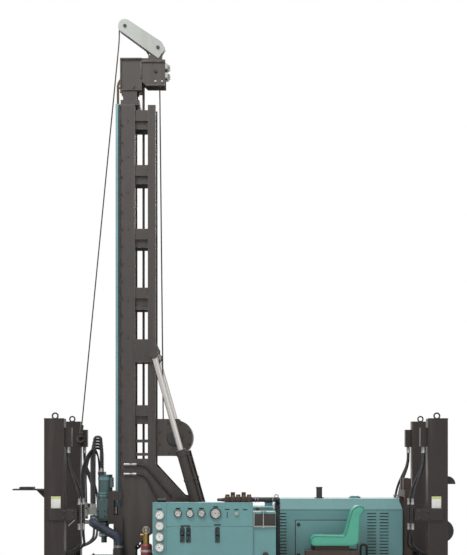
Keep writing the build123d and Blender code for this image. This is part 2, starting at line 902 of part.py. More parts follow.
def leg_housing(x_side, y_side):
    """Outer box of a jack leg with cap, eye, collar, tube eye and hose cover."""
    x = x_side * LEG_X
    y = y_side * LEG_Y
    tube = hollow_beam(
        x - LEG_HALF, x + LEG_HALF, y - LEG_HALF, y + LEG_HALF, LEG_BOTTOM, LEG_TOP, LEG_WALL, 2
    )
    cap = block(x - LEG_HALF, x + LEG_HALF, y - LEG_HALF, y + LEG_HALF, LEG_TOP, LEG_TOP + LEG_CAP)
    eye = ring((x, y, LEG_TOP + LEG_CAP + LEG_EYE_R), LEG_EYE_R, LEG_EYE_WIRE, (0, 1, 0))
    inward = x - x_side * (LEG_HALF + COLLAR_REACH)
    outward = x + x_side * (LEG_HALF - COLLAR_INSET)
    parts = [tube, cap, eye]
    for edge in (-1, 1):
        face = y + edge * LEG_HALF
        parts.append(block(inward, outward, face, face + edge * COLLAR_PLATE, COLLAR_LOW, COLLAR_HIGH))
    tube_x = x - x_side * (LEG_HALF + COLLAR_TUBE_IN)
    tube_z = (COLLAR_LOW + COLLAR_HIGH) / 2
    reach = LEG_HALF + COLLAR_PLATE
    sleeve = round_bar((tube_x, y - reach, tube_z), (tube_x, y + reach, tube_z), COLLAR_TUBE_R)
    web_x = x - x_side * LEG_HALF
    parts.append(
        block(inward, web_x, y - LEG_HALF, y + LEG_HALF, COLLAR_LOW, COLLAR_LOW + COLLAR_PLATE)
    )
    parts.append(sleeve)
    cover_x = x - x_side * (LEG_HALF + HOSE_COVER_X)
    parts.append(
        block(
            cover_x, web_x, y - HOSE_COVER_Y / 2, y + HOSE_COVER_Y / 2, HOSE_COVER_LOW, HOSE_COVER_HIGH
        )
    )
    whole = joined(parts)
    room = INNER_BOX / 2 + SLIDE_FIT
    whole -= block(x - room, x + room, y - room, y + room, LEG_BOTTOM - OVERRUN, LEG_TOP)
    return whole


def leg_housings():
    """The four outer boxes."""
    return solids_of([leg_housing(x_side, y_side) for x_side in SIDES for y_side in SIDES])


def leg_ram(x_side, y_side):
    """Inner box of a jack leg with its foot pad."""
    x = x_side * LEG_X
    y = y_side * LEG_Y
    half = INNER_BOX / 2
    top = LEG_TOP - INNER_TOP_GAP
    tube = hollow_beam(x - half, x + half, y - half, y + half, INNER_BOTTOM, top, INNER_WALL, 2)
    sole = block(x - half, x + half, y - half, y + half, INNER_BOTTOM - INNER_WALL, INNER_BOTTOM)
    neck = round_bar((x, y, FOOT_LIFT + FOOT_THICK), (x, y, INNER_BOTTOM - INNER_WALL), FOOT_NECK_R)
    foot = round_bar((x, y, FOOT_LIFT), (x, y, FOOT_LIFT + FOOT_THICK), FOOT_R)
    rim = Pos(x, y, FOOT_LIFT + FOOT_THICK) * Cone(
        FOOT_RIM_R, FOOT_NECK_R, FOOT_THICK, align=(Align.CENTER, Align.CENTER, Align.MIN)
    )
    return joined([tube, sole, neck, foot, rim])


def rung_tops():
    """Heights of the rungs' upper edges."""
    return [share * MAST_TOP for share in RUNG_SHARES]


def mast_frame():
    """Front and rear posts, front web, rungs, gussets, rails and cylinder brackets."""
    parts = []
    post_in = MAST_HALF - POST_WIDE
    for side in SIDES:
        y0 = side * post_in
        y1 = side * MAST_HALF
        parts.append(block(FRONT_X0, FRONT_X1, y0, y1, MAST_BOTTOM, MAST_TOP))
        parts.append(block(REAR_X0, REAR_X1, y0, y1, REAR_BOTTOM, MAST_TOP))
        parts.append(
            block(
                FRONT_X0 - RAIL_THICK, FRONT_X0, side * RAIL_IN, side * RAIL_OUT, MAST_BOTTOM, MAST_TOP
            )
        )
    parts.append(block(FRONT_X0, FRONT_X0 + WEB_THICK, -post_in, post_in, MAST_BOTTOM, MAST_TOP))
    for top in rung_tops():
        for side in SIDES:
            parts.append(
                block(
                    FRONT_X1,
                    REAR_X0,
                    side * post_in,
                    side * (MAST_HALF - SIDE_PLATE / 2),
                    top - RUNG_HIGH,
                    top,
                )
            )
        low = top - RUNG_HIGH - RUNG_TUBE_HIGH
        parts.append(
            block(REAR_X0, REAR_X1 - SIDE_PLATE, -post_in, post_in, top - RUNG_TUBE_HIGH, top)
        )
        for side in SIDES:
            parts.append(
                block(
                    FRONT_X1,
                    REAR_X0,
                    side * post_in,
                    side * (MAST_HALF - SIDE_PLATE * 2),
                    low,
                    top - RUNG_HIGH,
                )
            )
    for share in SMALL_BAR_SHARES:
        low = share * MAST_TOP - SMALL_BAR_HIGH
        for side in SIDES:
            parts.append(
                block(
                    FRONT_X1,
                    REAR_X0,
                    side * post_in,
                    side * (MAST_HALF - SIDE_PLATE),
                    low,
                    share * MAST_TOP,
                )
            )
    gusset = [
        (FRONT_X1, REAR_BOTTOM + GUSSET_BACK),
        (REAR_X1, REAR_BOTTOM + GUSSET_BACK),
        (REAR_X1, REAR_BOTTOM),
        (PIVOT_X + PIVOT_BOSS_R * GUSSET_TANGENT_SHARE, PIVOT_Z + PIVOT_BOSS_R * GUSSET_TANGENT_SHARE),
        (PIVOT_X, PIVOT_Z - PIVOT_BOSS_R),
        (FRONT_X1, GUSSET_LOW),
    ]
    for side in SIDES:
        outer = side * MAST_HALF
        inner = side * (MAST_HALF - SIDE_PLATE)
        parts.append(plate(gusset, min(inner, outer), max(inner, outer)))
        parts.append(
            round_bar(
                (PIVOT_X, inner, PIVOT_Z),
                (PIVOT_X, side * (MAST_HALF + STAND_THICK), PIVOT_Z),
                PIVOT_BOSS_R,
            )
        )
    bracket = [
        (FRONT_X1, MAST_BRACKET_HIGH),
        (REAR_X1 - SIDE_PLATE, MAST_BRACKET_HIGH),
        (CYL_TOP_X + CYL_BRACKET_R / 2, CYL_TOP_Z + CYL_BRACKET_R),
        (CYL_TOP_X + CYL_BRACKET_R / 2, CYL_TOP_Z - CYL_BRACKET_R),
        (FRONT_X1, CYL_TOP_Z - CYL_BRACKET_R),
    ]
    for side in SIDES:
        inner = side * post_in
        outer = side * (MAST_HALF + SIDE_PLATE)
        parts.append(plate(bracket, min(inner, outer), max(inner, outer)))
    reach = CYL_Y - EYE_WIDE / 2 - SLIDE_FIT
    parts.append(round_bar((CYL_TOP_X, -reach, CYL_TOP_Z), (CYL_TOP_X, reach, CYL_TOP_Z), CROSS_CAP_R))
    parts.append(
        round_bar((WHEEL_X, -post_in, WHEEL_LOW_Z), (WHEEL_X, post_in, WHEEL_LOW_Z), WHEEL_PIN_R)
    )
    bolt_count = int((MAST_TOP - SHOULDER_Z) / BOLT_PITCH)
    bolt_x = (FRONT_X0 + FRONT_X1) / 2
    for index in range(bolt_count):
        z = SHOULDER_Z + (index + 1) * BOLT_PITCH
        for side in SIDES:
            parts.append(
                round_bar(
                    (bolt_x, side * MAST_HALF, z), (bolt_x, side * (MAST_HALF + BOLT_HIGH), z), BOLT_R
                )
            )
    whole = joined(parts)
    slot_reach = WHEEL_PITCH_R + CHAIN_THICK
    whole -= block(
        FRONT_X0 - OVERRUN,
        FRONT_X0 + WEB_THICK + OVERRUN,
        -WHEEL_SLOT_HALF,
        WHEEL_SLOT_HALF,
        WHEEL_LOW_Z - slot_reach,
        WHEEL_LOW_Z + slot_reach,
    )
    reach = MAST_HALF + STAND_THICK * 2
    return whole - round_bar((PIVOT_X, -reach, PIVOT_Z), (PIVOT_X, reach, PIVOT_Z), PIVOT_R + RUN_FIT)


def chain_cover():
    """Two channels over the front strand of the feed chain, with a slot between them."""
    outer = block(COVER_FRONT, COVER_BACK, COVER_SLOT, COVER_HALF, COVER_LOW, COVER_HIGH)
    room = block(
        COVER_FRONT + COVER_WALL,
        COVER_BACK + OVERRUN,
        COVER_SLOT - OVERRUN,
        COVER_HALF - COVER_WALL,
        COVER_LOW - OVERRUN,
        COVER_HIGH - COVER_WALL,
    )
    half = outer - room
    count = int((COVER_HIGH - COVER_LOW) / BOLT_PITCH)
    for index in range(count):
        z = COVER_LOW + BOLT_PITCH / 2 + index * BOLT_PITCH
        half += block(COVER_BACK, FRONT_X0, COVER_HALF - COVER_WALL, COVER_HALF, z, z + COVER_HALF)
    return solids_of(on_both_sides(half))


def feed_chain():
    """The feed chain as one closed loop over the top and the lower wheel."""
    half_thick = CHAIN_THICK / 2
    count = round((WHEEL_TOP_Z - WHEEL_LOW_Z) / CHAIN_LINK)
    link = (WHEEL_TOP_Z - WHEEL_LOW_Z) / count
    pieces = []
    for side in SIDES:
        x = WHEEL_X + side * WHEEL_PITCH_R
        points = []
        for index in range(count):
            z = WHEEL_LOW_Z + index * link
            points.append((x + half_thick - CHAIN_WAIST, z))
            points.append((x + half_thick, z + link / 2))
        points.append((x + half_thick - CHAIN_WAIST, WHEEL_TOP_Z))
        back = [(2 * x - px, pz) for px, pz in reversed(points)]
        pieces.append(plate(points + back, -CHAIN_HALF, CHAIN_HALF))
    for z, side in ((WHEEL_TOP_Z, 1), (WHEEL_LOW_Z, -1)):
        arc = pipe(
            (WHEEL_X, -CHAIN_HALF, z),
            (WHEEL_X, CHAIN_HALF, z),
            WHEEL_PITCH_R + half_thick - CHAIN_WAIST,
            WHEEL_PITCH_R - half_thick + CHAIN_WAIST,
        )
        reach = WHEEL_PITCH_R + CHAIN_THICK
        deep = CHAIN_HALF + OVERRUN
        pieces.append(arc & block(WHEEL_X - reach, WHEEL_X + reach, -deep, deep, z, z + side * reach))
    return joined(pieces)


def crown():
    """Mast head: collar, neck, cheek plates, and the arm that carries the rope pulley."""
    parts = [
        block(
            HEAD_COLLAR_X0 + RAIL_THICK,
            HEAD_COLLAR_X1,
            -MAST_HALF,
            MAST_HALF,
            MAST_TOP,
            MAST_TOP + HEAD_COLLAR_HIGH,
        ),
    ]
    for side in SIDES:
        inner = side * (CROWN_HALF - CROWN_PLATE)
        outer = side * CROWN_HALF
        parts.append(block(NECK_X0, NECK_X1, inner, outer, MAST_TOP, CROWN_LOW))
        parts.append(block(CROWN_X0, CROWN_X1, inner, outer, CROWN_LOW, CROWN_HIGH))
        arm = [
            (CROWN_X1 - CROWN_PLATE, ARM_HIGH),
            (ARM_X1, ARM_HIGH),
            (ARM_X1, FLANGE_LOW),
            (CROWN_X1 + CROWN_PLATE * 3, FLANGE_LOW),
            (CROWN_X1 - CROWN_PLATE, ARM_LOW),
        ]
        parts.append(plate(arm, min(inner, outer), max(inner, outer)))
        parts.append(
            round_bar(
                (WHEEL_X, inner, WHEEL_TOP_Z),
                (WHEEL_X, outer + side * CROWN_PLATE, WHEEL_TOP_Z),
                WHEEL_HUB_R,
            )
        )
    inner = CROWN_HALF - CROWN_PLATE
    parts.append(
        block(
            CROWN_X0,
            JIB_BLOCK_X0 + CROWN_PLATE,
            -CROWN_HALF,
            CROWN_HALF,
            CROWN_HIGH - CROWN_PLATE,
            CROWN_HIGH,
        )
    )
    parts.append(
        block(CROWN_X1 - CROWN_PLATE, ARM_X1, -CROWN_HALF, CROWN_HALF, ARM_HIGH, ARM_HIGH + CROWN_PLATE)
    )
    parts.append(
        block(CROWN_X0, CROWN_X0 + CROWN_PLATE, -inner, inner, CROWN_HIGH - RUNG_HIGH, CROWN_HIGH)
    )
    parts.append(round_bar((WHEEL_X, -inner, WHEEL_TOP_Z), (WHEEL_X, inner, WHEEL_TOP_Z), WHEEL_PIN_R))
    parts.append(
        round_bar(
            (ROPE_PULLEY_X, -inner, ROPE_PULLEY_Z), (ROPE_PULLEY_X, inner, ROPE_PULLEY_Z), JIB_PIN_R
        )
    )
    roller_x = ARM_X1 + END_ROLLER_R
    for z in (ARM_HIGH - END_ROLLER_R * 2, ARM_LOW + END_ROLLER_R * 2):
        parts.append(
            round_bar((roller_x, -CROWN_HALF / 2, z), (roller_x, CROWN_HALF / 2, z), END_ROLLER_R)
        )
        for side in SIDES:
            parts.append(
                block(
                    ARM_X1 - CROWN_PLATE,
                    roller_x,
                    side * CROWN_HALF / 2,
                    side * CROWN_HALF,
                    z - END_ROLLER_R,
                    z + END_ROLLER_R,
                )
            )
    parts.append(
        block(
            JIB_BLOCK_X0,
            JIB_BLOCK_X1,
            -JIB_HALF,
            JIB_HALF,
            ARM_HIGH + CROWN_PLATE,
            ARM_HIGH + CROWN_PLATE + JIB_BLOCK_HIGH,
        )
    )
    lug_top = JIB_FOOT_Z
    for side in SIDES:
        inner = side * (JIB_HALF - CROWN_PLATE)
        parts.append(
            block(
                JIB_FOOT_X - JIB_WIDE / 4,
                JIB_BLOCK_X1,
                inner,
                side * JIB_HALF,
                ARM_HIGH + JIB_BLOCK_HIGH,
                lug_top,
            )
        )
        parts.append(
            round_bar(
                (JIB_FOOT_X, inner, JIB_FOOT_Z), (JIB_FOOT_X, side * JIB_HALF, JIB_FOOT_Z), JIB_WIDE / 4
            )
        )
    return joined(parts)


def chain_wheel(z, hub_half):
    """A toothed wheel of the feed chain, on its pin."""
    tip = WHEEL_PITCH_R - CHAIN_THICK / 2 - FIT
    wheel = toothed_wheel(
        WHEEL_TEETH, tip - WHEEL_TOOTH, tip, WHEEL_X, z, -WHEEL_WIDE / 2, WHEEL_WIDE / 2
    )
    wheel += round_bar((WHEEL_X, -hub_half, z), (WHEEL_X, hub_half, z), WHEEL_HUB_R)
    reach = hub_half + OVERRUN
    return wheel - round_bar((WHEEL_X, -reach, z), (WHEEL_X, reach, z), WHEEL_PIN_R + RUN_FIT)


def grooved_pulley(x, z, radius, half, bore):
    """A rope pulley with two rims and a bore."""
    pulley = round_bar((x, -half, z), (x, half, z), radius - ROPE_R)
    for side in SIDES:
        pulley += round_bar(
            (x, side * half, z), (x, side * (half - PULLEY_RIM / 2), z), radius + PULLEY_RIM
        )
    return pulley - round_bar((x, -half - OVERRUN, z), (x, half + OVERRUN, z), bore)


def rope_pulleys():
    """The pulley in the crown arm and the one at the jib's tip."""
    half = PULLEY_WIDE / 2
    return solids_of(
        [
            grooved_pulley(ROPE_PULLEY_X, ROPE_PULLEY_Z, ROPE_PULLEY_R, half, JIB_PIN_R + FIT),
            grooved_pulley(JIB_TIP_X, JIB_TIP_Z, TIP_PULLEY_R, half, JIB_PIN_R + FIT),
        ]
    )


def jib():
    """Two side plates with rounded ends, joined by the pins and a spacer."""
    along = Vector(JIB_TIP_X - JIB_FOOT_X, 0, JIB_TIP_Z - JIB_FOOT_Z).normalized()
    across = Vector(-along.Z, 0, along.X)
    half = JIB_WIDE / 2
    foot = Vector(JIB_FOOT_X, 0, JIB_FOOT_Z)
    tip = Vector(JIB_TIP_X, 0, JIB_TIP_Z)
    heel = half + JIB_HEEL
    corners = [
        foot + across * heel - along * half,
        tip + across * half,
        tip - across * half,
        foot - across * half,
    ]
    corners.append(foot - across * half / 2 - along * half)
    points = [(corner.X, corner.Z) for corner in corners]
    parts = []
    for side in SIDES:
        inner = side * (JIB_HALF + FIT)
        outer = inner + side * JIB_PLATE
        cheek = plate(points, min(inner, outer), max(inner, outer))
        cheek += round_bar((tip.X, inner, tip.Z), (tip.X, outer, tip.Z), half)
        parts.append(cheek)
    reach = JIB_HALF + FIT + JIB_PLATE * 2
    parts.append(round_bar((tip.X, -reach, tip.Z), (tip.X, reach, tip.Z), JIB_PIN_R))
    parts.append(round_bar((foot.X, -reach, foot.Z), (foot.X, reach, foot.Z), JIB_PIN_R))
    spacer = (foot + tip) / 2 - across * (half - JIB_PIN_R)
    inner = JIB_HALF + FIT
    parts.append(round_bar((spacer.X, -inner, spacer.Z), (spacer.X, inner, spacer.Z), JIB_PIN_R / 2))
    for side in SIDES:
        near = side * (PULLEY_WIDE / 2 + SLIDE_FIT)
        parts.append(
            round_bar((tip.X, near, tip.Z), (tip.X, side * inner, tip.Z), JIB_PIN_R + COVER_WALL)
        )
    return joined(parts)


def crown_bored():
    """The crown with its holes for the jib's foot pin and its slot for the rope."""
    reach = JIB_HALF + JIB_PLATE * 3
    whole = crown() - round_bar(
        (JIB_FOOT_X, -reach, JIB_FOOT_Z), (JIB_FOOT_X, reach, JIB_FOOT_Z), JIB_PIN_R + RUN_FIT
    )
    passage = plate(
        [
            (ROPE_PULLEY_X - ROPE_PULLEY_R, ROPE_PULLEY_Z),
            (ROPE_PULLEY_X + ROPE_PULLEY_R + ROPE_CLEAR, ROPE_PULLEY_Z),
            (JIB_TIP_X + TIP_PULLEY_R + ROPE_CLEAR, JIB_TIP_Z),
            (JIB_TIP_X, JIB_TIP_Z),
        ],
        -ROPE_R * 2,
        ROPE_R * 2,
    )
    pin = round_bar(
        (ROPE_PULLEY_X, -JIB_HALF, ROPE_PULLEY_Z), (ROPE_PULLEY_X, JIB_HALF, ROPE_PULLEY_Z), JIB_PIN_R
    )
    return whole - passage + pin


def wrap_corner(centre_x, centre_z, radius, before, after):
    """Where two straight runs of a rope would meet that both touch a pulley, in X and Z."""
    normals = [Vector(before.Z, 0, -before.X).normalized(), Vector(after.Z, 0, -after.X).normalized()]
    both = normals[0] + normals[1]
    reach = radius / (1 + normals[0].dot(normals[1]))
    return centre_x + both.X * reach, centre_z + both.Z * reach


def hoist_rope():
    """The hoist rope from the winch drum over both pulleys, drawn taut to the parked hook."""
    crown_lay = ROPE_PULLEY_R + FIT
    tip_lay = TIP_PULLEY_R + FIT
    drum_x = WINCH_X - DRUM_R - ROPE_R - SLIDE_FIT
    rise = Vector(ROPE_PULLEY_X + crown_lay - drum_x, 0, ROPE_PULLEY_Z - WINCH_Z)
    centres = Vector(JIB_TIP_X - ROPE_PULLEY_X, 0, JIB_TIP_Z - ROPE_PULLEY_Z)
    slant = centres + Vector(centres.Z, 0, -centres.X).normalized() * (tip_lay - crown_lay)
    guide = (JIB_TIP_X - tip_lay, 0, JIB_TIP_Z - JIB_WIDE)
    fall = Vector(0, 0, -JIB_WIDE)
    crown_x, crown_z = wrap_corner(ROPE_PULLEY_X, ROPE_PULLEY_Z, crown_lay, rise, slant)
    tip_x, tip_z = wrap_corner(JIB_TIP_X, JIB_TIP_Z, tip_lay, slant, fall)
    points = [
        (drum_x, 0, WINCH_Z),
        (crown_x, 0, crown_z),
        (tip_x, 0, tip_z),
        guide,
        (HOOK_X, HOOK_Y, HOOK_TOP_Z),
    ]
    path = FilletPolyline(*points, radius=[crown_lay, tip_lay, ROPE_BEND_R])
    section = Plane(origin=path @ 0, z_dir=path % 0) * Circle(ROPE_R)
    return sweep(section, path=path)


def hoist_hook():
    """The hook with its round block at the rope's end."""
    top = Vector(HOOK_X, HOOK_Y, HOOK_TOP_Z)
    guide = Vector(JIB_TIP_X - TIP_PULLEY_R, 0, JIB_TIP_Z - JIB_WIDE)
    down = (top - guide).normalized()
    end = top + down * HOOK_BLOCK_LONG
    weight = round_bar(tuple(top - down * OVERRUN), tuple(end), HOOK_BLOCK_R)
    weight = chamfer(weight.edges().filter_by(GeomType.CIRCLE), HOOK_WIRE / 2)
    shank_end = end + down * HOOK_R
    shank = round_bar(tuple(end), tuple(shank_end), HOOK_WIRE)
    eye = Plane(origin=tuple(shank_end + down * (HOOK_R - HOOK_WIRE)), z_dir=(0, 1, 0))
    bow = eye * Torus(HOOK_R, HOOK_WIRE)
    mouth = Vector(HOOK_X + HOOK_R, HOOK_Y, (shank_end + down * HOOK_R).Z)
    bow -= block(
        mouth.X - HOOK_R, mouth.X + HOOK_R, HOOK_Y - HOOK_R, HOOK_Y + HOOK_R, mouth.Z, mouth.Z + HOOK_R
    )
    return joined([weight, shank, bow])


def winch_housing():
    """Side plates, tie bars, mounting plate, motor and round drum guard of the hoist winch."""
    parts = []
    inner_half = WINCH_HALF - WINCH_PLATE
    for side in SIDES:
        y0 = min(side * inner_half, side * WINCH_HALF)
        cheek = block(WINCH_X0, WINCH_X1, y0, y0 + WINCH_PLATE, WINCH_LOW, WINCH_HIGH)
        cheek += round_bar((WINCH_X, y0, WINCH_Z), (WINCH_X, y0 + WINCH_PLATE, WINCH_Z), WINCH_R)
        parts.append(cheek)
    parts.append(
        block(WINCH_X0, WINCH_X0 + WINCH_PLATE, -WINCH_HALF, WINCH_HALF, WINCH_LOW, WINCH_HIGH)
    )
    parts.append(block(WINCH_X0, WINCH_X1, -inner_half, inner_half, WINCH_LOW, WINCH_LOW + WINCH_PLATE))
    guard = pipe(
        (WINCH_X, -inner_half, WINCH_Z),
        (WINCH_X, inner_half, WINCH_Z),
        WINCH_R,
        WINCH_R - WINCH_PLATE / 2,
    )
    guard &= block(
        WINCH_X + DRUM_SHAFT_R,
        WINCH_X + WINCH_R,
        -WINCH_HALF,
        WINCH_HALF,
        WINCH_Z - WINCH_R,
        WINCH_Z + DRUM_R,
    )
    parts.append(guard)
    parts.append(
        round_bar(
            (WINCH_X, WINCH_HALF, WINCH_Z),
            (WINCH_X, WINCH_HALF + WINCH_MOTOR_DEEP, WINCH_Z),
            WINCH_MOTOR_R,
        )
    )
    for side in SIDES:
        parts.append(
            round_bar(
                (WINCH_X, side * (inner_half - DRUM_SHAFT_R), WINCH_Z),
                (WINCH_X, side * WINCH_HALF, WINCH_Z),
                DRUM_SHAFT_R,
            )
        )
    return joined(parts)


def winch_drum():
    """The rope drum with its flanges, turning on two stub shafts."""
    half = WINCH_HALF - WINCH_PLATE - OVERRUN
    drum = round_bar((WINCH_X, -half, WINCH_Z), (WINCH_X, half, WINCH_Z), DRUM_R)
    for side in SIDES:
        drum += round_bar(
            (WINCH_X, side * half, WINCH_Z),
            (WINCH_X, side * (half - DRUM_FLANGE), WINCH_Z),
            DRUM_FLANGE_R,
        )
    reach = WINCH_HALF
    return drum - round_bar(
        (WINCH_X, -reach, WINCH_Z), (WINCH_X, reach, WINCH_Z), DRUM_SHAFT_R + RUN_FIT
    )


def cylinder_line(distance):
    """A point of the mast cylinder's axis, measured up from its foot pin, in X and Z."""
    along = Vector(CYL_TOP_X - CYL_FOOT_X, 0, CYL_TOP_Z - CYL_FOOT_Z).normalized()
    return CYL_FOOT_X + along.X * distance, CYL_FOOT_Z + along.Z * distance


def on_cylinder(distance, y=CYL_Y, offset=0.0):
    """The same point as X, Y, Z, with a sideways offset towards the engine end."""
    along = Vector(CYL_TOP_X - CYL_FOOT_X, 0, CYL_TOP_Z - CYL_FOOT_Z).normalized()
    x, z = cylinder_line(distance)
    return (x + along.Z * offset, y, z - along.X * offset)


def cylinder_barrels():
    """Barrels of the two mast cylinders with foot eye, gland and side pipe."""
    body = round_bar(on_cylinder(BARREL_START), on_cylinder(BARREL_END), BARREL_R)
    gland = round_bar(on_cylinder(BARREL_END - GLAND_LONG), on_cylinder(BARREL_END), GLAND_R)
    eye = round_bar(
        (CYL_FOOT_X, CYL_Y - EYE_WIDE / 2, CYL_FOOT_Z),
        (CYL_FOOT_X, CYL_Y + EYE_WIDE / 2, CYL_FOOT_Z),
        EYE_R,
    )
    throat = round_bar(on_cylinder(0), on_cylinder(BARREL_START), ROD_R)
    pipe_offset = BARREL_R + CYL_PIPE_R + FIT
    side_pipe = round_bar(
        on_cylinder(PIPE_START, offset=pipe_offset),
        on_cylinder(BARREL_END - GLAND_LONG / 2, offset=pipe_offset),
        CYL_PIPE_R,
    )
    parts = [body, gland, eye, throat, side_pipe]
    for distance in (PIPE_START, BARREL_END - GLAND_LONG / 2):
        parts.append(
            round_bar(
                on_cylinder(distance),
                on_cylinder(distance, offset=pipe_offset + CYL_PIPE_R),
                CYL_PIPE_R,
            )
        )
    whole = joined(parts)
    whole -= round_bar(on_cylinder(PIPE_START), on_cylinder(BARREL_END + OVERRUN), BARREL_BORE_R)
    collar = round_bar(on_cylinder(BARREL_END - GLAND_LONG), on_cylinder(BARREL_END), BARREL_BORE_R)
    whole += collar - round_bar(
        on_cylinder(BARREL_END - GLAND_LONG * 2), on_cylinder(BARREL_END + OVERRUN), ROD_R + RUN_FIT
    )
    whole -= round_bar(
        (CYL_FOOT_X, CYL_Y - EYE_WIDE, CYL_FOOT_Z),
        (CYL_FOOT_X, CYL_Y + EYE_WIDE, CYL_FOOT_Z),
        CYL_PIN_R + RUN_FIT,
    )
    return solids_of(on_both_sides(whole))


def cylinder_rods():
    """Rods of the two mast cylinders, with eyes and caps at the ends of the mast's cross shaft."""
    length = math.hypot(CYL_TOP_X - CYL_FOOT_X, CYL_TOP_Z - CYL_FOOT_Z)
    rod = round_bar(on_cylinder(length - ROD_TAIL), on_cylinder(length - EYE_R / 2), ROD_R)
    piston = round_bar(
        on_cylinder(length - ROD_TAIL),
        on_cylinder(length - ROD_TAIL + GLAND_LONG),
        BARREL_BORE_R - SLIDE_FIT,
    )
    eye = round_bar(
        (CYL_TOP_X, CYL_Y - EYE_WIDE / 2, CYL_TOP_Z),
        (CYL_TOP_X, CYL_Y + EYE_WIDE / 2, CYL_TOP_Z),
        EYE_R,
    )
    cap_y = CYL_Y + EYE_WIDE / 2
    cap = round_bar(
        (CYL_TOP_X, cap_y, CYL_TOP_Z), (CYL_TOP_X, cap_y + CROSS_SHAFT_OVER, CYL_TOP_Z), CROSS_CAP_R
    )
    return solids_of(on_both_sides(joined([rod, piston, eye, cap])))


def head_carriage():
    """Plate with claws that slides on the mast's rails, and the lug to the chain."""
    parts = [block(HEAD_X1, CARRIAGE_BACK, -CARRIAGE_HALF, CARRIAGE_HALF, CARRIAGE_LOW, CARRIAGE_HIGH)]
    rail_face = RAIL_OUT + SLIDE_FIT
    for side in SIDES:
        for low in (CARRIAGE_LOW, CARRIAGE_HIGH - CLAW_HIGH):
            parts.append(
                block(
                    CARRIAGE_BACK,
                    CLAW_BACK,
                    side * rail_face,
                    side * CARRIAGE_HALF,
                    low,
                    low + CLAW_HIGH,
                )
            )
            parts.append(
                block(
                    FRONT_X0 + SLIDE_FIT,
                    CLAW_BACK,
                    side * (MAST_HALF + SLIDE_FIT),
                    side * rail_face,
                    low,
                    low + CLAW_HIGH,
                )
            )
            parts.append(
                block(
                    CARRIAGE_BACK,
                    FRONT_X0 - RAIL_THICK - SLIDE_FIT,
                    side * (RAIL_IN + SLIDE_FIT),
                    side * rail_face,
                    low,
                    low + CLAW_HIGH,
                )
            )
    chain_face = WHEEL_X - WHEEL_PITCH_R - CHAIN_THICK / 2 - SLIDE_FIT
    parts.append(
        block(
            CARRIAGE_BACK, chain_face, -CHAIN_HALF, CHAIN_HALF, CARRIAGE_LOW, CARRIAGE_LOW + CLAW_HIGH
        )
    )
    return joined(parts)


def air_face_y():
    """Y of the face where the air hose starts, in line with the gearbox's side cover."""
    return -(HEAD_HALF + HEAD_PLATE_THICK)


def head_gearbox():
    """Gearbox of the rotary head with its lower plate, side cover and air inlet boss."""
    body = block(HEAD_X0, HEAD_X1, -HEAD_HALF, HEAD_HALF, HEAD_LOW, HEAD_HIGH)
    body = chamfer(body.edges().filter_by(Axis.Y), HEAD_PLATE_THICK)
    parts = [body]
    parts.append(
        round_bar((SPINDLE_X, 0, HEAD_LOW - HEAD_PLATE_THICK), (SPINDLE_X, 0, HEAD_LOW), HEAD_PLATE_R)
    )
    for side in SIDES:
        cover_y = side * HEAD_HALF
        parts.append(
            block(
                HEAD_X0 + HEAD_PLATE_THICK * 2,
                HEAD_X1 - HEAD_PLATE_THICK,
                cover_y,
                cover_y + side * HEAD_PLATE_THICK,
                HEAD_LOW + HEAD_PLATE_THICK * 2,
                HEAD_HIGH - HEAD_PLATE_THICK * 2,
            )
        )
    boss_y = VALVE_Y
    parts.append(
        block(
            AIR_BOSS_X - AIR_BOSS_R,
            HEAD_X0,
            air_face_y(),
            boss_y + AIR_BOSS_R,
            AIR_PIPE_Z - AIR_BOSS_R,
            VALVE_LOW + AIR_BOSS_R,
        )
    )
    whole = joined(parts)
    whole -= block(HEAD_X1, CARRIAGE_BACK, -CARRIAGE_HALF, CARRIAGE_HALF, CARRIAGE_LOW, HEAD_HIGH)
    return whole - round_bar(
        (SPINDLE_X, 0, HEAD_LOW - HEAD_PLATE_THICK - OVERRUN),
        (SPINDLE_X, 0, HEAD_LOW + SPINDLE_SHAFT_DEEP + FIT),
        SPINDLE_SHAFT_R + RUN_FIT,
    )


def head_motors():
    """Two hydraulic motors on a common flange."""
    parts = [
        block(
            MOTOR_FLANGE_X0,
            MOTOR_FLANGE_X1,
            -MOTOR_FLANGE_HALF,
            MOTOR_FLANGE_HALF,
            HEAD_HIGH,
            HEAD_HIGH + MOTOR_FLANGE_HIGH,
        )
    ]
    low = HEAD_HIGH + MOTOR_FLANGE_HIGH
    for side in SIDES:
        y = side * MOTOR_Y
        parts.append(round_bar((MOTOR_X, y, low), (MOTOR_X, y, MOTOR_TOP), MOTOR_R))
        port_x = MOTOR_X + MOTOR_R
        parts.append(
            block(
                MOTOR_X,
                port_x + HEAD_PLATE_THICK,
                y - MOTOR_R / 2,
                y + MOTOR_R / 2,
                MOTOR_TOP - MOTOR_R * 2,
                MOTOR_TOP - MOTOR_R / 2,
            )
        )
    carriage = block(HEAD_X1, 0, -CARRIAGE_HALF, CARRIAGE_HALF, CARRIAGE_LOW, CARRIAGE_HIGH)
    return solids_of([joined(parts) - carriage])


def spindle():
    """Drive spindle with its shaft in the gearbox and the threaded nose below."""
    top = HEAD_LOW - HEAD_PLATE_THICK - FIT
    body = round_bar((SPINDLE_X, 0, SPINDLE_LOW), (SPINDLE_X, 0, top), SPINDLE_R)
    body = chamfer(body.edges().filter_by(GeomType.CIRCLE), HEAD_PLATE_THICK / 2)
    shaft = round_bar(
        (SPINDLE_X, 0, top - HEAD_PLATE_THICK),
        (SPINDLE_X, 0, HEAD_LOW + SPINDLE_SHAFT_DEEP),
        SPINDLE_SHAFT_R,
    )
    nose = round_bar(
        (SPINDLE_X, 0, SPINDLE_LOW - NOSE_LONG), (SPINDLE_X, 0, SPINDLE_LOW + OVERRUN), NOSE_R
    )
    return joined([body, shaft, nose])


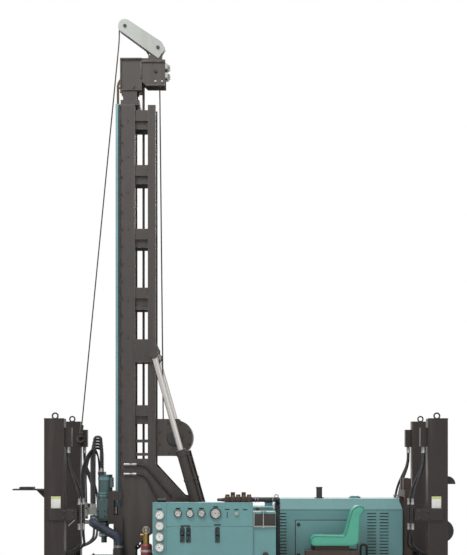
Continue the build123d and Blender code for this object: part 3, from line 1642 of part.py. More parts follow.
def head_hose_places():
    """The head's hoses as Y, upper height, and the X of their lower ends."""
    places = []
    for index, y in enumerate(HEAD_HOSE_YS):
        top = HEAD_HOSE_TOP - index * HEAD_HOSE_STEP
        places.append((y, top, HEAD_HOSE_X - index * HEAD_HOSE_STAGGER))
    return places


def head_hoses():
    """Hydraulic hoses from the motors' tops over and down to the head's manifold."""
    pieces = []
    for y, top, low_x in head_hose_places():
        start_x = MOTOR_X - MOTOR_R / 2
        points = [
            (start_x, y, MOTOR_TOP + HOSE_CAP_HIGH + 2 * FIT),
            (start_x, y, top),
            (low_x, y, top),
            (low_x, y, HEAD_HOSE_LOW + FIT),
        ]
        pieces.append(hose(points, HOSE_R))
    return solids_of(pieces)


def head_manifold():
    """Block that takes the lower ends of the head's hoses, and the motors' cap that takes the upper ones."""
    places = head_hose_places()
    lowest_x = places[-1][2] - HOSE_R - MANIFOLD_LIP
    y0 = HEAD_HOSE_YS[0] - HOSE_R - MANIFOLD_EDGE
    y1 = HEAD_HOSE_YS[-1] + HOSE_R + MANIFOLD_EDGE
    lower = block(lowest_x, HEAD_X0 - FIT, y0, y1, HEAD_HOSE_LOW - MANIFOLD_HIGH, HEAD_HOSE_LOW)
    upper = block(
        MOTOR_X - MOTOR_R,
        MOTOR_X,
        HEAD_HOSE_YS[0] - MANIFOLD_EDGE,
        MOTOR_Y,
        MOTOR_TOP + FIT,
        MOTOR_TOP + FIT + HOSE_CAP_HIGH,
    )
    return solids_of([lower, upper])


def air_hose():
    """The thick air hose from the inlet elbow down to its coupling beside the mast."""
    y0 = air_face_y()
    start_z = AIR_PIPE_Z
    points = [
        (AIR_BOSS_X, y0, start_z),
        (AIR_BOSS_X, y0 - AIR_HOSE_OUT, start_z),
        (AIR_CLAMP_X, y0 - AIR_HOSE_OUT, AIR_CLAMP_Z),
        (AIR_CLAMP_X, y0 - AIR_HOSE_OUT, AIR_CLAMP_Z - AIR_HOSE_OUT),
    ]
    return hose(points, AIR_HOSE_R)


def air_coupling():
    """Coupling at the air hose's lower end, held by an arm from the carriage."""
    y = air_face_y() - AIR_HOSE_OUT
    low = AIR_CLAMP_Z - AIR_HOSE_OUT - AIR_COUPLING_LONG
    body = round_bar((AIR_CLAMP_X, y, low), (AIR_CLAMP_X, y, low + AIR_COUPLING_LONG), AIR_COUPLING_R)
    arm_y = -CARRIAGE_HALF
    arm = block(
        CARRIAGE_BACK,
        AIR_CLAMP_X + AIR_BOSS_R,
        arm_y - HEAD_PLATE_THICK,
        arm_y,
        low,
        CARRIAGE_LOW + CLAW_HIGH,
    )
    web = block(
        AIR_CLAMP_X - AIR_BOSS_R, AIR_CLAMP_X + AIR_BOSS_R, y, arm_y, low, low + AIR_COUPLING_LONG / 2
    )
    return joined([body, arm, web])


def air_valve():
    """Air valve block beside the gearbox, its pipe elbow, lever and black tail hose."""
    y = VALVE_Y
    middle_x = (VALVE_X0 + VALVE_X1) / 2
    body = block(VALVE_X0, VALVE_X1, y - VALVE_HALF, y + VALVE_HALF, VALVE_LOW, VALVE_HIGH)
    down = round_bar((middle_x, y, AIR_PIPE_Z), (middle_x, y, VALVE_LOW), AIR_PIPE_R)
    ball = Pos(middle_x, y, AIR_PIPE_Z) * Sphere(AIR_PIPE_R)
    across = round_bar((middle_x, y, AIR_PIPE_Z), (AIR_BOSS_X - AIR_BOSS_R, y, AIR_PIPE_Z), AIR_PIPE_R)
    pivot_z = VALVE_LOW + AIR_PIPE_R
    pivot = round_bar(
        (VALVE_X0, y - VALVE_HALF, pivot_z),
        (VALVE_X0, y - VALVE_HALF - AIR_PIPE_R, pivot_z),
        AIR_PIPE_R / 2,
    )
    lever = round_bar(
        (VALVE_X0, y - VALVE_HALF - AIR_PIPE_R / 2, pivot_z),
        (VALVE_X0 - LEVER_REACH, y - VALVE_HALF - AIR_PIPE_R / 2, pivot_z - LEVER_DROP),
        LEVER_R,
    )
    return joined([body, down, ball, across, pivot, lever])


def mast_hoses():
    """Two hoses from fittings on the mast's side down along the near gusset's edge."""
    pieces = []
    for z in MAST_HOSE_ZS:
        x_end = MAST_HOSE_END_X - (MAST_HOSE_ZS[0] - z)
        points = [
            (MAST_HOSE_X0, MAST_HOSE_Y, z),
            (MAST_HOSE_BEND_X, MAST_HOSE_Y, z),
            (x_end, MAST_HOSE_Y, z - MAST_HOSE_DROP),
        ]
        line = hose(points, FINE_HOSE_R)
        first = round_bar(
            (MAST_HOSE_X0 - FITTING_LONG, MAST_HOSE_Y, z),
            (MAST_HOSE_X0, MAST_HOSE_Y, z),
            FITTING_R - OVERRUN / 2,
        )
        foot = round_bar(
            (MAST_HOSE_X0 - FITTING_LONG / 2, MAST_HOSE_Y, z),
            (MAST_HOSE_X0 - FITTING_LONG / 2, -MAST_HALF, z),
            FINE_HOSE_R,
        )
        end = (x_end, MAST_HOSE_Y, z - MAST_HOSE_DROP)
        last = round_bar(end, (end[0], -MAST_HALF, end[2]), FITTING_R - OVERRUN / 2)
        pieces.append(joined([line, first, foot, last]))
    return solids_of(pieces)


def leg_hoses():
    """Hoses from the covers on the jack legs down to the chassis cross beams."""
    pieces = []
    for x_side in SIDES:
        for y_side in SIDES:
            x = x_side * LEG_X
            y = y_side * LEG_Y
            for index in SIDES:
                cover_x = x - x_side * (LEG_HALF + HOSE_COVER_X / 2)
                out_x = x - x_side * (LEG_HOSE_OUT + index * LEG_HOSE_SPREAD / 2)
                lane = y + index * LEG_HOSE_SPREAD
                end_x = x - x_side * LEG_HOSE_IN
                end_y = y_side * (LEG_HOSE_END_Y - index * LEG_HOSE_SPREAD)
                points = [
                    (cover_x, lane, HOSE_COVER_LOW),
                    (cover_x, lane, LEG_HOSE_KINK),
                    (out_x, lane, LEG_HOSE_KNEE),
                    (out_x, lane, LEG_HOSE_LOW),
                    (out_x, end_y, LEG_HOSE_TURN),
                    (end_x, end_y, BEAM_HIGH + LEG_HOSE_SPREAD * 2),
                    (end_x, end_y, BEAM_HIGH),
                ]
                pieces.append(hose(points, HOSE_R))
    return solids_of(pieces)


def top_valves():
    """Valve block with its spools on the control box, and the pipe that leaves it."""
    high = PANEL_TOP + VALVE_BLOCK_HIGH
    body = block(VALVE_BLOCK_X0, VALVE_BLOCK_X1, VALVE_BLOCK_Y0, VALVE_BLOCK_Y1, PANEL_TOP, high)
    parts = [body]
    step = (VALVE_BLOCK_X1 - VALVE_BLOCK_X0) / SPOOL_COUNT
    for index in range(SPOOL_COUNT):
        x = VALVE_BLOCK_X0 + (index + 1 / 2) * step
        middle = (VALVE_BLOCK_Y0 + VALVE_BLOCK_Y1) / 2
        rise = SPOOL_LONG if index % 2 else SPOOL_LONG / 2
        parts.append(round_bar((x, middle, high), (x, middle, high + rise), SPOOL_R))
        parts.append(
            round_bar(
                (x, VALVE_BLOCK_Y0 - SPOOL_R, high - SPOOL_R - OVERRUN),
                (x, VALVE_BLOCK_Y0, high - SPOOL_R - OVERRUN),
                SPOOL_R,
            )
        )
    return joined(parts)


def down_hose():
    """Wrapped hose from the valve block over the box's lower bay and down beside the hood."""
    z = PANEL_TOP + TOP_PIPE_R + OVERRUN
    y = (VALVE_BLOCK_Y0 + VALVE_BLOCK_Y1) / 2
    points = [
        (VALVE_BLOCK_X1, y, z),
        (DOWN_HOSE_X, y, z),
        (DOWN_HOSE_X, DOWN_HOSE_Y, z),
        (DOWN_HOSE_X, DOWN_HOSE_Y, FENDER_Z + FENDER_THICK),
    ]
    return hose(points, TOP_PIPE_R)


def pilot_filter():
    """Small round filter lying on the control box on two feet."""
    z = PANEL_TOP + FILTER_R + OVERRUN
    parts = [round_bar((FILTER_X0, FILTER_Y, z), (FILTER_X1, FILTER_Y, z), FILTER_R)]
    for x in (FILTER_X0 + FILTER_R, FILTER_X1 - FILTER_R):
        parts.append(
            block(
                x - OVERRUN, x + OVERRUN, FILTER_Y - FILTER_R / 2, FILTER_Y + FILTER_R / 2, PANEL_TOP, z
            )
        )
    return joined(parts)


def oil_bottle():
    """Round bottle with a valve on top, standing in front of the control box's end."""
    bottom = FENDER_Z + FENDER_THICK
    body = round_bar((BOTTLE_X, BOTTLE_Y, bottom), (BOTTLE_X, BOTTLE_Y, BOTTLE_TOP), BOTTLE_R)
    body = fillet(body.edges().filter_by(GeomType.CIRCLE).sort_by(Axis.Z)[-1], BOTTLE_R / 2)
    valve = round_bar(
        (BOTTLE_X, BOTTLE_Y, BOTTLE_TOP), (BOTTLE_X, BOTTLE_Y, BOTTLE_VALVE_TOP), BOTTLE_VALVE_R
    )
    reach = BOTTLE_VALVE_R * 2
    z = (BOTTLE_TOP + BOTTLE_VALVE_TOP) / 2
    spout = round_bar((BOTTLE_X - reach, BOTTLE_Y, z), (BOTTLE_X, BOTTLE_Y, z), BOTTLE_VALVE_R / 2)
    return joined([body, valve, spout])


def rod_clamp():
    """Clamp table at the mast's foot with its bore and two clamp cylinders."""
    body = block(CLAMP_X0, CLAMP_X1, -CLAMP_HALF, CLAMP_HALF, CLAMP_LOW, CLAMP_HIGH)
    body = fillet(body.edges().filter_by(Axis.Z), HEAD_PLATE_THICK)
    parts = [body]
    parts.append(block(CLAMP_X1, FRONT_X0 - RAIL_THICK, -RAIL_OUT, RAIL_OUT, CLAMP_LOW, CLAMP_HIGH))
    middle_z = (CLAMP_LOW + CLAMP_HIGH) / 2
    for side in SIDES:
        y0 = side * CLAMP_HALF
        parts.append(
            round_bar(
                (SPINDLE_X, y0, middle_z),
                (SPINDLE_X, y0 + side * CLAMP_CYL_LONG, middle_z),
                CLAMP_CYL_R,
            )
        )
    whole = joined(parts)
    return whole - round_bar(
        (SPINDLE_X, 0, CLAMP_LOW - OVERRUN), (SPINDLE_X, 0, CLAMP_HIGH + OVERRUN), CLAMP_BORE_R
    )


def engine():
    """The engine as one block on its mounting feet."""
    parts = [block(ENGINE_X0, ENGINE_X1, -ENGINE_HALF, ENGINE_HALF, ENGINE_LOW, ENGINE_HIGH)]
    for x in (ENGINE_X0, ENGINE_X1 - ENGINE_FOOT_LONG):
        parts.append(
            block(x, x + ENGINE_FOOT_LONG, -BEAM_Y, BEAM_Y, BEAM_HIGH, BEAM_HIGH + ENGINE_FOOT)
        )
    return joined(parts)


def hood_form(wall):
    """The hood's outer form drawn in by a wall: a box with a hipped, sloping top."""
    x0 = HOOD_X0 + wall
    x1 = HOOD_X1 - wall
    half = HOOD_HALF - wall
    shoulder = HOOD_TOP - HOOD_CHAMFER
    body = block(x0, x1, -half, half, BEAM_HIGH - (OVERRUN if wall else 0), shoulder - wall / 2)
    lower = Plane.XY.offset(shoulder - wall / 2) * Pos((x0 + x1) / 2, 0) * Rectangle(x1 - x0, 2 * half)
    upper = (
        Plane.XY.offset(HOOD_TOP - wall)
        * Pos((x0 + x1) / 2, 0)
        * Rectangle(x1 - x0 - 2 * HOOD_HIP, 2 * half - 2 * HOOD_INSET)
    )
    return body + loft([lower.face(), upper.face()])


def hood():
    """Engine hood: a thin shell with door openings, louvres, exhaust hole and filler cap."""
    shell = hood_form(0) - hood_form(HOOD_WALL)
    door = block(DOOR_X0, DOOR_X1, HOOD_HALF - HOOD_WALL * 2, HOOD_HALF + OVERRUN, DOOR_LOW, DOOR_TOP)
    shell -= door
    length = HOOD_X1 - HOOD_X0
    count = int((LOUVRE_TOP - LOUVRE_LOW) / LOUVRE_PITCH)
    slots = []
    for start, end in LOUVRE_SHARES:
        for index in range(count):
            z = LOUVRE_TOP - index * LOUVRE_PITCH
            for side in SIDES:
                outer = side * (HOOD_HALF + OVERRUN)
                slots.append(
                    block(
                        HOOD_X0 + start * length,
                        HOOD_X0 + end * length,
                        side * (HOOD_HALF - HOOD_WALL - OVERRUN),
                        outer,
                        z - LOUVRE_HIGH,
                        z,
                    )
                )
    shell = shell - slots
    shell -= round_bar(
        (EXHAUST_X, 0, HOOD_TOP - HOOD_WALL * 2),
        (EXHAUST_X, 0, HOOD_TOP + OVERRUN),
        EXHAUST_R + HOOD_EYE_WIRE,
    )
    cap = round_bar((CAP_X, 0, HOOD_TOP), (CAP_X, 0, HOOD_TOP + CAP_HIGH), CAP_R)
    parts = [shell, cap]
    hinge_x = DOOR_X1 - DOOR_GAP
    hinge_y = HOOD_HALF + DOOR_HINGE_R + DOOR_HINGE_LIFT
    parts.append(round_bar((hinge_x, hinge_y, DOOR_LOW), (hinge_x, hinge_y, DOOR_TOP), DOOR_PIN_R))
    lower_knuckle = (DOOR_LOW - DOOR_GAP, DOOR_LOW + DOOR_KNUCKLE)
    upper_knuckle = (DOOR_TOP - DOOR_KNUCKLE, DOOR_TOP + DOOR_GAP)
    for z0, z1 in (lower_knuckle, upper_knuckle):
        parts.append(
            round_bar((hinge_x, hinge_y, z0), (hinge_x, hinge_y, z1), DOOR_HINGE_R)
        )
        leaf_end = DOOR_X1 + DOOR_KNUCKLE
        parts.append(block(hinge_x, leaf_end, hinge_y, HOOD_HALF, z0, z1))
    for x in (HOOD_X0 + HOOD_HIP, HOOD_X1 - HOOD_HIP):
        parts.append(ring((x, 0, HOOD_TOP + HOOD_EYE_R), HOOD_EYE_R, HOOD_EYE_WIRE, (0, 1, 0)))
    return joined(parts)


def hood_door():
    """Side door of the hood on the far side, with its hinge barrel at the rear edge."""
    panel = block(
        DOOR_X0 + DOOR_GAP,
        DOOR_X1 - DOOR_GAP,
        HOOD_HALF - HOOD_WALL,
        HOOD_HALF,
        DOOR_LOW + DOOR_GAP,
        DOOR_TOP - DOOR_GAP,
    )
    handle = round_bar(
        (DOOR_X0 + DOOR_HANDLE_IN, HOOD_HALF, DOOR_TOP - DOOR_HANDLE_IN),
        (DOOR_X0 + DOOR_HANDLE_IN, HOOD_HALF + HOOD_WALL * 2, DOOR_TOP - DOOR_HANDLE_IN),
        HOOD_EYE_R,
    )
    hinge_x = DOOR_X1 - DOOR_GAP
    hinge_y = HOOD_HALF + DOOR_HINGE_R + DOOR_HINGE_LIFT
    low = DOOR_LOW + DOOR_KNUCKLE + SLIDE_FIT
    high = DOOR_TOP - DOOR_KNUCKLE - SLIDE_FIT
    hinge = round_bar((hinge_x, hinge_y, low), (hinge_x, hinge_y, high), DOOR_HINGE_R)
    leaf = block(hinge_x - DOOR_KNUCKLE, hinge_x, HOOD_HALF - HOOD_WALL, hinge_y, low, high)
    whole = joined([panel, handle, leaf, hinge])
    whole -= block(
        hinge_x - DOOR_HINGE_R * 2, DOOR_X1, HOOD_HALF - HOOD_WALL * 2, DOOR_TOP, DOOR_LOW, low
    )
    whole -= block(
        hinge_x - DOOR_HINGE_R * 2, DOOR_X1, HOOD_HALF - HOOD_WALL * 2, DOOR_TOP, high, DOOR_TOP
    )
    return whole - round_bar(
        (hinge_x, hinge_y, DOOR_LOW), (hinge_x, hinge_y, DOOR_TOP), DOOR_PIN_R + RUN_FIT
    )


def exhaust():
    """Exhaust pipe from the engine's top up through the hood."""
    return round_bar((EXHAUST_X, 0, ENGINE_HIGH), (EXHAUST_X, 0, EXHAUST_TOP), EXHAUST_R)


def control_box():
    """Control cabinet: tall panel with a gauge strip, and a lower bay at its right end."""
    bottom = FENDER_Z + FENDER_THICK
    body = block(PANEL_X0, PANEL_X1, PANEL_FRONT, PANEL_BACK, bottom, PANEL_TOP)
    side = block(PANEL_X1, SIDE_X1, PANEL_FRONT + GAUGE_DEEP, PANEL_BACK, bottom, SIDE_TOP)
    body += side
    front = PANEL_FRONT - OVERRUN
    cuts = [
        block(PANEL_STRIP_X, PANEL_STRIP_X + SEAM, front, PANEL_FRONT + SEAM, bottom, PANEL_TOP),
        block(PANEL_STRIP_X, PANEL_X1, front, PANEL_FRONT + SEAM, PANEL_SEAM_Z, PANEL_SEAM_Z + SEAM),
    ]
    for x in SLOT_XS:
        cuts.append(
            block(
                x - SLOT_WIDE / 2,
                x + SLOT_WIDE / 2,
                front,
                PANEL_FRONT + SLOT_DEEP,
                SLOT_TOP - SLOT_HIGH,
                SLOT_TOP,
            )
        )
    for cut in cuts:
        body -= cut
    return body


def control_gauges():
    """Round gauges and the knob, standing proud of the panels."""
    places = [(STRIP_GAUGE_X, z, GAUGE_R) for z in STRIP_GAUGE_ZS]
    places += [(x, TOP_GAUGE_Z, SMALL_GAUGE_R) for x in TOP_GAUGE_XS]
    places += [(LARGE_GAUGE_X, TOP_GAUGE_Z, LARGE_GAUGE_R), (KNOB_X, TOP_GAUGE_Z, KNOB_R)]
    pieces = []
    for x, z, radius in places:
        pieces.append(round_bar((x, PANEL_FRONT - GAUGE_DEEP, z), (x, PANEL_FRONT, z), radius))
    return solids_of(pieces)


def control_levers():
    """Valve levers in their slots, and the T handle in the right bay."""
    pieces = []
    for x in SLOT_XS:
        z = SLOT_TOP - SLOT_HIGH / 2
        back = PANEL_FRONT + SLOT_DEEP
        stick = round_bar(
            (x, back - LEVER_R, z), (x, PANEL_FRONT - LEVER_OUT, z + LEVER_OUT / 2), LEVER_R
        )
        knob = Pos(x, PANEL_FRONT - LEVER_OUT, z + LEVER_OUT / 2) * Sphere(LEVER_BALL_R)
        base = block(
            x - LEVER_R * 2, x + LEVER_R * 2, back - LEVER_R * 2, back, z - LEVER_R * 2, z + LEVER_R * 2
        )
        pieces.append(joined([stick, knob, base]))
    y = PANEL_FRONT + GAUGE_DEEP - LEVER_R * 2
    stem = round_bar((TEE_X, y, TEE_LOW), (TEE_X, y, TEE_TOP), LEVER_R)
    tee = round_bar((TEE_X - TEE_HALF, y, TEE_TOP), (TEE_X + TEE_HALF, y, TEE_TOP), LEVER_R)
    foot = round_bar(
        (TEE_X, y - LEVER_R, TEE_LOW), (TEE_X, PANEL_FRONT + GAUGE_DEEP, TEE_LOW), LEVER_R * 2
    )
    pieces.append(joined([stem, tee, foot]))
    return solids_of(pieces)


def seat_base():
    """Box under the operator's seat with the suspension on top."""
    bottom = FENDER_Z + FENDER_THICK
    box_part = block(SEAT_BASE_X0, SEAT_BASE_X1, SEAT_FRONT, SEAT_BACK, bottom, SEAT_BASE_TOP)
    mount = block(
        SEAT_BASE_X0 + SEAT_BASE_INSET * 3,
        SEAT_BASE_X1 - SEAT_BASE_INSET * 3,
        SEAT_FRONT + SEAT_BASE_INSET,
        SEAT_BACK - SEAT_BASE_INSET,
        SEAT_BASE_TOP,
        SEAT_LOW - FIT,
    )
    return box_part + mount


def seat_cushion():
    """Seat pan and backrest with a rolled top, as one simple closed form."""
    points = [
        (SEAT_X0, SEAT_LOW),
        (SEAT_X1 + SEAT_ROLL, SEAT_LOW),
        (SEAT_BACK_X, SEAT_BACK_TOP - SEAT_ROLL),
        (SEAT_BACK_X - SEAT_ROLL, SEAT_BACK_TOP),
        (SEAT_BACK_X - SEAT_ROLL * 3, SEAT_BACK_TOP - SEAT_ROLL),
        (SEAT_BACK_FOOT_X - SEAT_ROLL, SEAT_TOP),
        (SEAT_X0, SEAT_TOP),
    ]
    form = plate(points, SEAT_FRONT, SEAT_BACK)
    front_edges = form.edges().filter_by(Axis.Y).group_by(Axis.X)[0]
    return fillet(front_edges, SEAT_ROLL)


def rounded_tank(x0, x1, y0, y1, z0, z1):
    """A tank with rounded upright and top edges."""
    tank = block(x0, x1, y0, y1, z0, z1)
    tank = fillet(tank.edges().filter_by(Axis.Z), TANK_ROUND)
    return fillet(tank.faces().sort_by(Axis.Z)[-1].edges(), TANK_ROUND / 2)


def oil_tank():
    """Hydraulic oil tank on the far fender."""
    bottom = FENDER_Z + FENDER_THICK
    tank = rounded_tank(OIL_X0, OIL_X1, TANK_IN, TANK_OUT, bottom, OIL_TOP)
    x = OIL_X1 - FILLER_R * 3
    y = (TANK_IN + TANK_OUT) / 2
    return tank + round_bar((x, y, OIL_TOP), (x, y, OIL_TOP + FILLER_HIGH), FILLER_R)


def fuel_tank():
    """Fuel tank on the far fender beside the engine."""
    bottom = FENDER_Z + FENDER_THICK
    tank = rounded_tank(FUEL_X0, FUEL_X1, TANK_IN, TANK_OUT, bottom, FUEL_TOP)
    x = (FUEL_X0 + FUEL_X1) / 2
    y = (TANK_IN + TANK_OUT) / 2
    return tank + round_bar((x, y, FUEL_TOP), (x, y, FUEL_TOP + FILLER_HIGH), FILLER_R)


def mast_rest():
    """Two posts behind the hood with a crossbar and pads for the lowered mast."""
    parts = [block(REST_X0, REST_X1, -REST_HALF, REST_HALF, REST_BAR_LOW, REST_BAR_HIGH)]
    for side in SIDES:
        y1 = side * REST_HALF
        parts.append(
            block(REST_X0, REST_X1, y1 - side * REST_POST, y1, BEAM_HIGH, REST_BAR_LOW)
        )
        near = side * (REST_PAD_HALF - REST_POST * 2)
        far = side * REST_PAD_HALF
        parts.append(block(REST_X0, REST_X1, near, far, REST_BAR_HIGH, REST_PAD_TOP))
    return joined(parts)


def leg_fittings():
    """Small tray on the near front leg and the round-nosed guard on the near rear one."""
    x1 = -LEG_X - LEG_HALF
    y0 = -LEG_Y - LEG_HALF
    y1 = -LEG_Y + LEG_HALF
    sheet = block(TRAY_X0, x1, y0, y1, TRAY_Z, TRAY_Z + TRAY_THICK)
    raised = block(
        TRAY_RAISE_X0,
        TRAY_RAISE_X1,
        y0 + TRAY_RAISE,
        y1 - TRAY_RAISE,
        TRAY_Z + TRAY_THICK,
        TRAY_Z + TRAY_THICK + TRAY_RAISE,
    )
    brace = plate(
        [(x1, TRAY_Z), (x1 - TRAY_BRACE, TRAY_Z), (x1, TRAY_Z - TRAY_BRACE)],
        -LEG_Y,
        -LEG_Y + TRAY_THICK,
    )
    outer_x = LEG_X + LEG_HALF
    dome = round_bar(
        (outer_x, -LEG_Y - DOME_HALF, DOME_Z), (outer_x, -LEG_Y + DOME_HALF, DOME_Z), DOME_R
    )
    dome &= block(
        outer_x, outer_x + DOME_R, -LEG_Y - DOME_HALF, -LEG_Y + DOME_HALF, DOME_Z, DOME_Z + DOME_R
    )
    return solids_of([joined([sheet, raised, brace]), dome])


def rear_disc():
    """Round rubber disc on a stub beside the near rear leg."""
    y1 = -LEG_Y + LEG_HALF
    pieces = [
        round_bar(
            (DISC_X, y1 + DISC_THICK / 2, DISC_Z),
            (DISC_X, y1 + DISC_THICK / 2 + DISC_THICK, DISC_Z),
            DISC_R,
        ),
        round_bar((DISC_X, y1, DISC_Z), (DISC_X, y1 + DISC_THICK / 2, DISC_Z), DISC_HUB_R),
    ]
    return joined(pieces)


def save(name, shape):
    """Writes one sub-part, shifted to the origin in the middle of the footprint."""
    export_step(Pos(SHIFT_X, 0, 0) * shape, os.path.join("parts", name + ".step"))


def main():
    """Builds every sub-part and writes it."""
    os.makedirs("parts", exist_ok=True)
    save("track_near", track(-1))
    save("track_far", track(1))
    save("track_sprockets", track_sprockets())
    save("track_frames", solids_of([track_frames(), track_rollers()]))
    save("chassis_frame", joined([chassis_frame(), mast_stand()]))
    save("fenders", fenders())
    save("leg_housings", leg_housings())
    for x_name, x_side in (("front", -1), ("rear", 1)):
        for y_name, y_side in (("near", -1), ("far", 1)):
            save("leg_ram_" + x_name + "_" + y_name, leg_ram(x_side, y_side))
    save("mast_frame", mast_frame())
    save("chain_cover", chain_cover())
    save("feed_chain", feed_chain())
    save("crown", crown_bored())
    save("chain_wheel_top", chain_wheel(WHEEL_TOP_Z, CROWN_HALF - CROWN_PLATE - SLIDE_FIT))
    save("chain_wheel_low", chain_wheel(WHEEL_LOW_Z, MAST_HALF - POST_WIDE - SLIDE_FIT))
    save("rope_pulleys", rope_pulleys())
    save("jib", jib())
    save("hoist_rope", joined([hoist_rope(), hoist_hook()]))
    save("winch_housing", winch_housing())
    save("winch_drum", winch_drum())
    save("cylinder_barrels", cylinder_barrels())
    save("cylinder_rods", cylinder_rods())
    save("head_carriage", head_carriage())
    save("head_gearbox", head_gearbox())
    save("head_motors", head_motors())
    save("spindle", spindle())
    save("head_hoses", solids_of([head_hoses(), air_hose()]))
    save("head_fittings", solids_of([head_manifold(), air_coupling(), air_valve()]))
    save("rod_clamp", rod_clamp())
    save("mast_hoses", mast_hoses())
    save("chassis_hoses", solids_of([leg_hoses(), down_hose()]))
    save("top_valves", solids_of([top_valves(), pilot_filter()]))
    save("oil_bottle", oil_bottle())
    save("engine", joined([engine(), exhaust()]))
    save("hood", hood())
    save("hood_door", hood_door())
    save("control_box", control_box())
    save("controls", solids_of([control_gauges(), control_levers()]))
    save("seat_base", seat_base())
    save("seat_cushion", seat_cushion())
    save("tanks", solids_of([oil_tank(), fuel_tank()]))
    save("mast_rest", mast_rest())
    save("leg_fittings", solids_of([leg_fittings(), rear_disc()]))


main()
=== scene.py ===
import math

import bmesh
import bpy
from mathutils import Matrix, Vector
from mathutils.kdtree import KDTree


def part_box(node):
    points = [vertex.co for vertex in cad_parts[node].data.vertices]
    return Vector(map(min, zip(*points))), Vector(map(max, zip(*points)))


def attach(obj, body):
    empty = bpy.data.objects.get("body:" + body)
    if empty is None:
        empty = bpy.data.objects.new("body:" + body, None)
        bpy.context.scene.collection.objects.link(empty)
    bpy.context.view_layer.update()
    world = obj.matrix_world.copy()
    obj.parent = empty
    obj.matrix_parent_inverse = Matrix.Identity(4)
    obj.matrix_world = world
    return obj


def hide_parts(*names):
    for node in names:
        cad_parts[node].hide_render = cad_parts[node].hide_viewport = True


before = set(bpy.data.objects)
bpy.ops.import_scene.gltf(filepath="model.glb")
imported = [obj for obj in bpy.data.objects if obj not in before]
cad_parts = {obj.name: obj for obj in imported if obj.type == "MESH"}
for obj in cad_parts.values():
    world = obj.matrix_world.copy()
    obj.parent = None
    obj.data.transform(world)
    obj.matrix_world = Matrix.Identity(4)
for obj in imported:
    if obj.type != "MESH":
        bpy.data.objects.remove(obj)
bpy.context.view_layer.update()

# Crawler-mounted water well drilling rig, in metres.
# +X points to the engine end, +Y to the far side, +Z up, and Z = 0 is the ground.
# Places are kept in the solids' own millimetres, which at() turns into the frame's metres.
# The sizes of small turned and boxed pieces are in metres.

SIDES = (-1, 1)
NEAR = (0, -1, 0)
FAR = (0, 1, 0)
UP = (0, 0, 1)
QUARTER = math.pi / 2
# Radius, or share of a radius, of the small flat that closes the end of a turned piece
TIP = 0.0001

# Shared by more than one piece, in metres
SHIFT = 0.1155
TRACK_MID_Y = 0.775
IDLER_X = -1.050 + SHIFT
SPROCKET_X = 1.300 + SHIFT
WHEEL_Z = 0.265
CYL_FOOT = Vector((-0.323 + SHIFT, 0.420, 0.600))
CYL_TOP = Vector((-0.952 + SHIFT, 0.420, 2.837))

# Shared by more than one piece, in the solids' millimetres
PANEL_Y = -900
LEG_X = 1920
LEG_Y = 820
FENDER_TOP = 608
TANK_OUT_Y = 890


# Shader groups


def shader_group(name, inputs, outputs):
    """An empty shader node group with its named sockets."""
    group = bpy.data.node_groups.new(name, "ShaderNodeTree")
    for label, kind, value in inputs:
        socket = group.interface.new_socket(label, in_out="INPUT", socket_type=kind)
        socket.default_value = value
    for label, kind in outputs:
        group.interface.new_socket(label, in_out="OUTPUT", socket_type=kind)
    start = group.nodes.new("NodeGroupInput")
    end = group.nodes.new("NodeGroupOutput")
    return group, start.outputs, end.inputs


def add_node(tree, kind, **settings):
    """A node with its settings and plain socket values."""
    node = tree.nodes.new(kind)
    values = settings.pop("values", {})
    for key, value in settings.items():
        setattr(node, key, value)
    for key, value in values.items():
        node.inputs[key].default_value = value
    return node


def maths(tree, operation, first, second, clamp=False, third=0.5):
    """A Math node, whose inputs are numbers or sockets."""
    node = add_node(tree, "ShaderNodeMath", operation=operation, use_clamp=clamp)
    for socket, value in zip(node.inputs, (first, second, third)):
        if isinstance(value, (int, float)):
            socket.default_value = value
        else:
            tree.links.new(value, socket)
    return node.outputs[0]


def mixed(tree, factor, first, second, blend="MIX"):
    """A colour Mix node, whose inputs are values or sockets."""
    node = add_node(tree, "ShaderNodeMix", data_type="RGBA", blend_type=blend)
    for socket, value in zip((node.inputs[0], node.inputs[6], node.inputs[7]), (factor, first, second)):
        if isinstance(value, (int, float, tuple)):
            socket.default_value = value
        else:
            tree.links.new(value, socket)
    return node.outputs[2]


def steps(tree, value, low, high):
    """A smooth step of a value from 0 at the low end to 1 at the high end."""
    node = add_node(tree, "ShaderNodeMapRange", interpolation_type="SMOOTHSTEP")
    tree.links.new(value, node.inputs[0])
    node.inputs[1].default_value = low
    node.inputs[2].default_value = high
    return node.outputs[0]


def noise_of(tree, coordinate, scale, detail=3.0, roughness=0.55, stretch=None):
    """A noise value on a coordinate, drawn out along Z where stretch is given."""
    if stretch is not None:
        mapping = add_node(tree, "ShaderNodeMapping")
        mapping.inputs["Scale"].default_value = stretch
        tree.links.new(coordinate, mapping.inputs["Vector"])
        coordinate = mapping.outputs[0]
    noise = add_node(tree, "ShaderNodeTexNoise", values={"Detail": detail, "Roughness": roughness})
    tree.links.new(coordinate, noise.inputs["Vector"])
    if isinstance(scale, float):
        noise.inputs["Scale"].default_value = scale
    else:
        tree.links.new(scale, noise.inputs["Scale"])
    return noise.outputs[0]


COLOUR = "NodeSocketColor"
NUMBER = "NodeSocketFloat"
ARROW = "NodeSocketVector"
WHITE = (1.0, 1.0, 1.0, 1.0)
GREY = (0.5, 0.5, 0.5, 1.0)


# How far in from an edge the paint wears, and the painted edge highlight of the mast's finish reaches, in
# metres
EDGE_REACH = 0.006
# Scale of the streak noise along X, Y and Z
STREAK_STRETCH = (1.0, 1.0, 0.07)
# The mean of a noise value
MIDDLE = 0.5


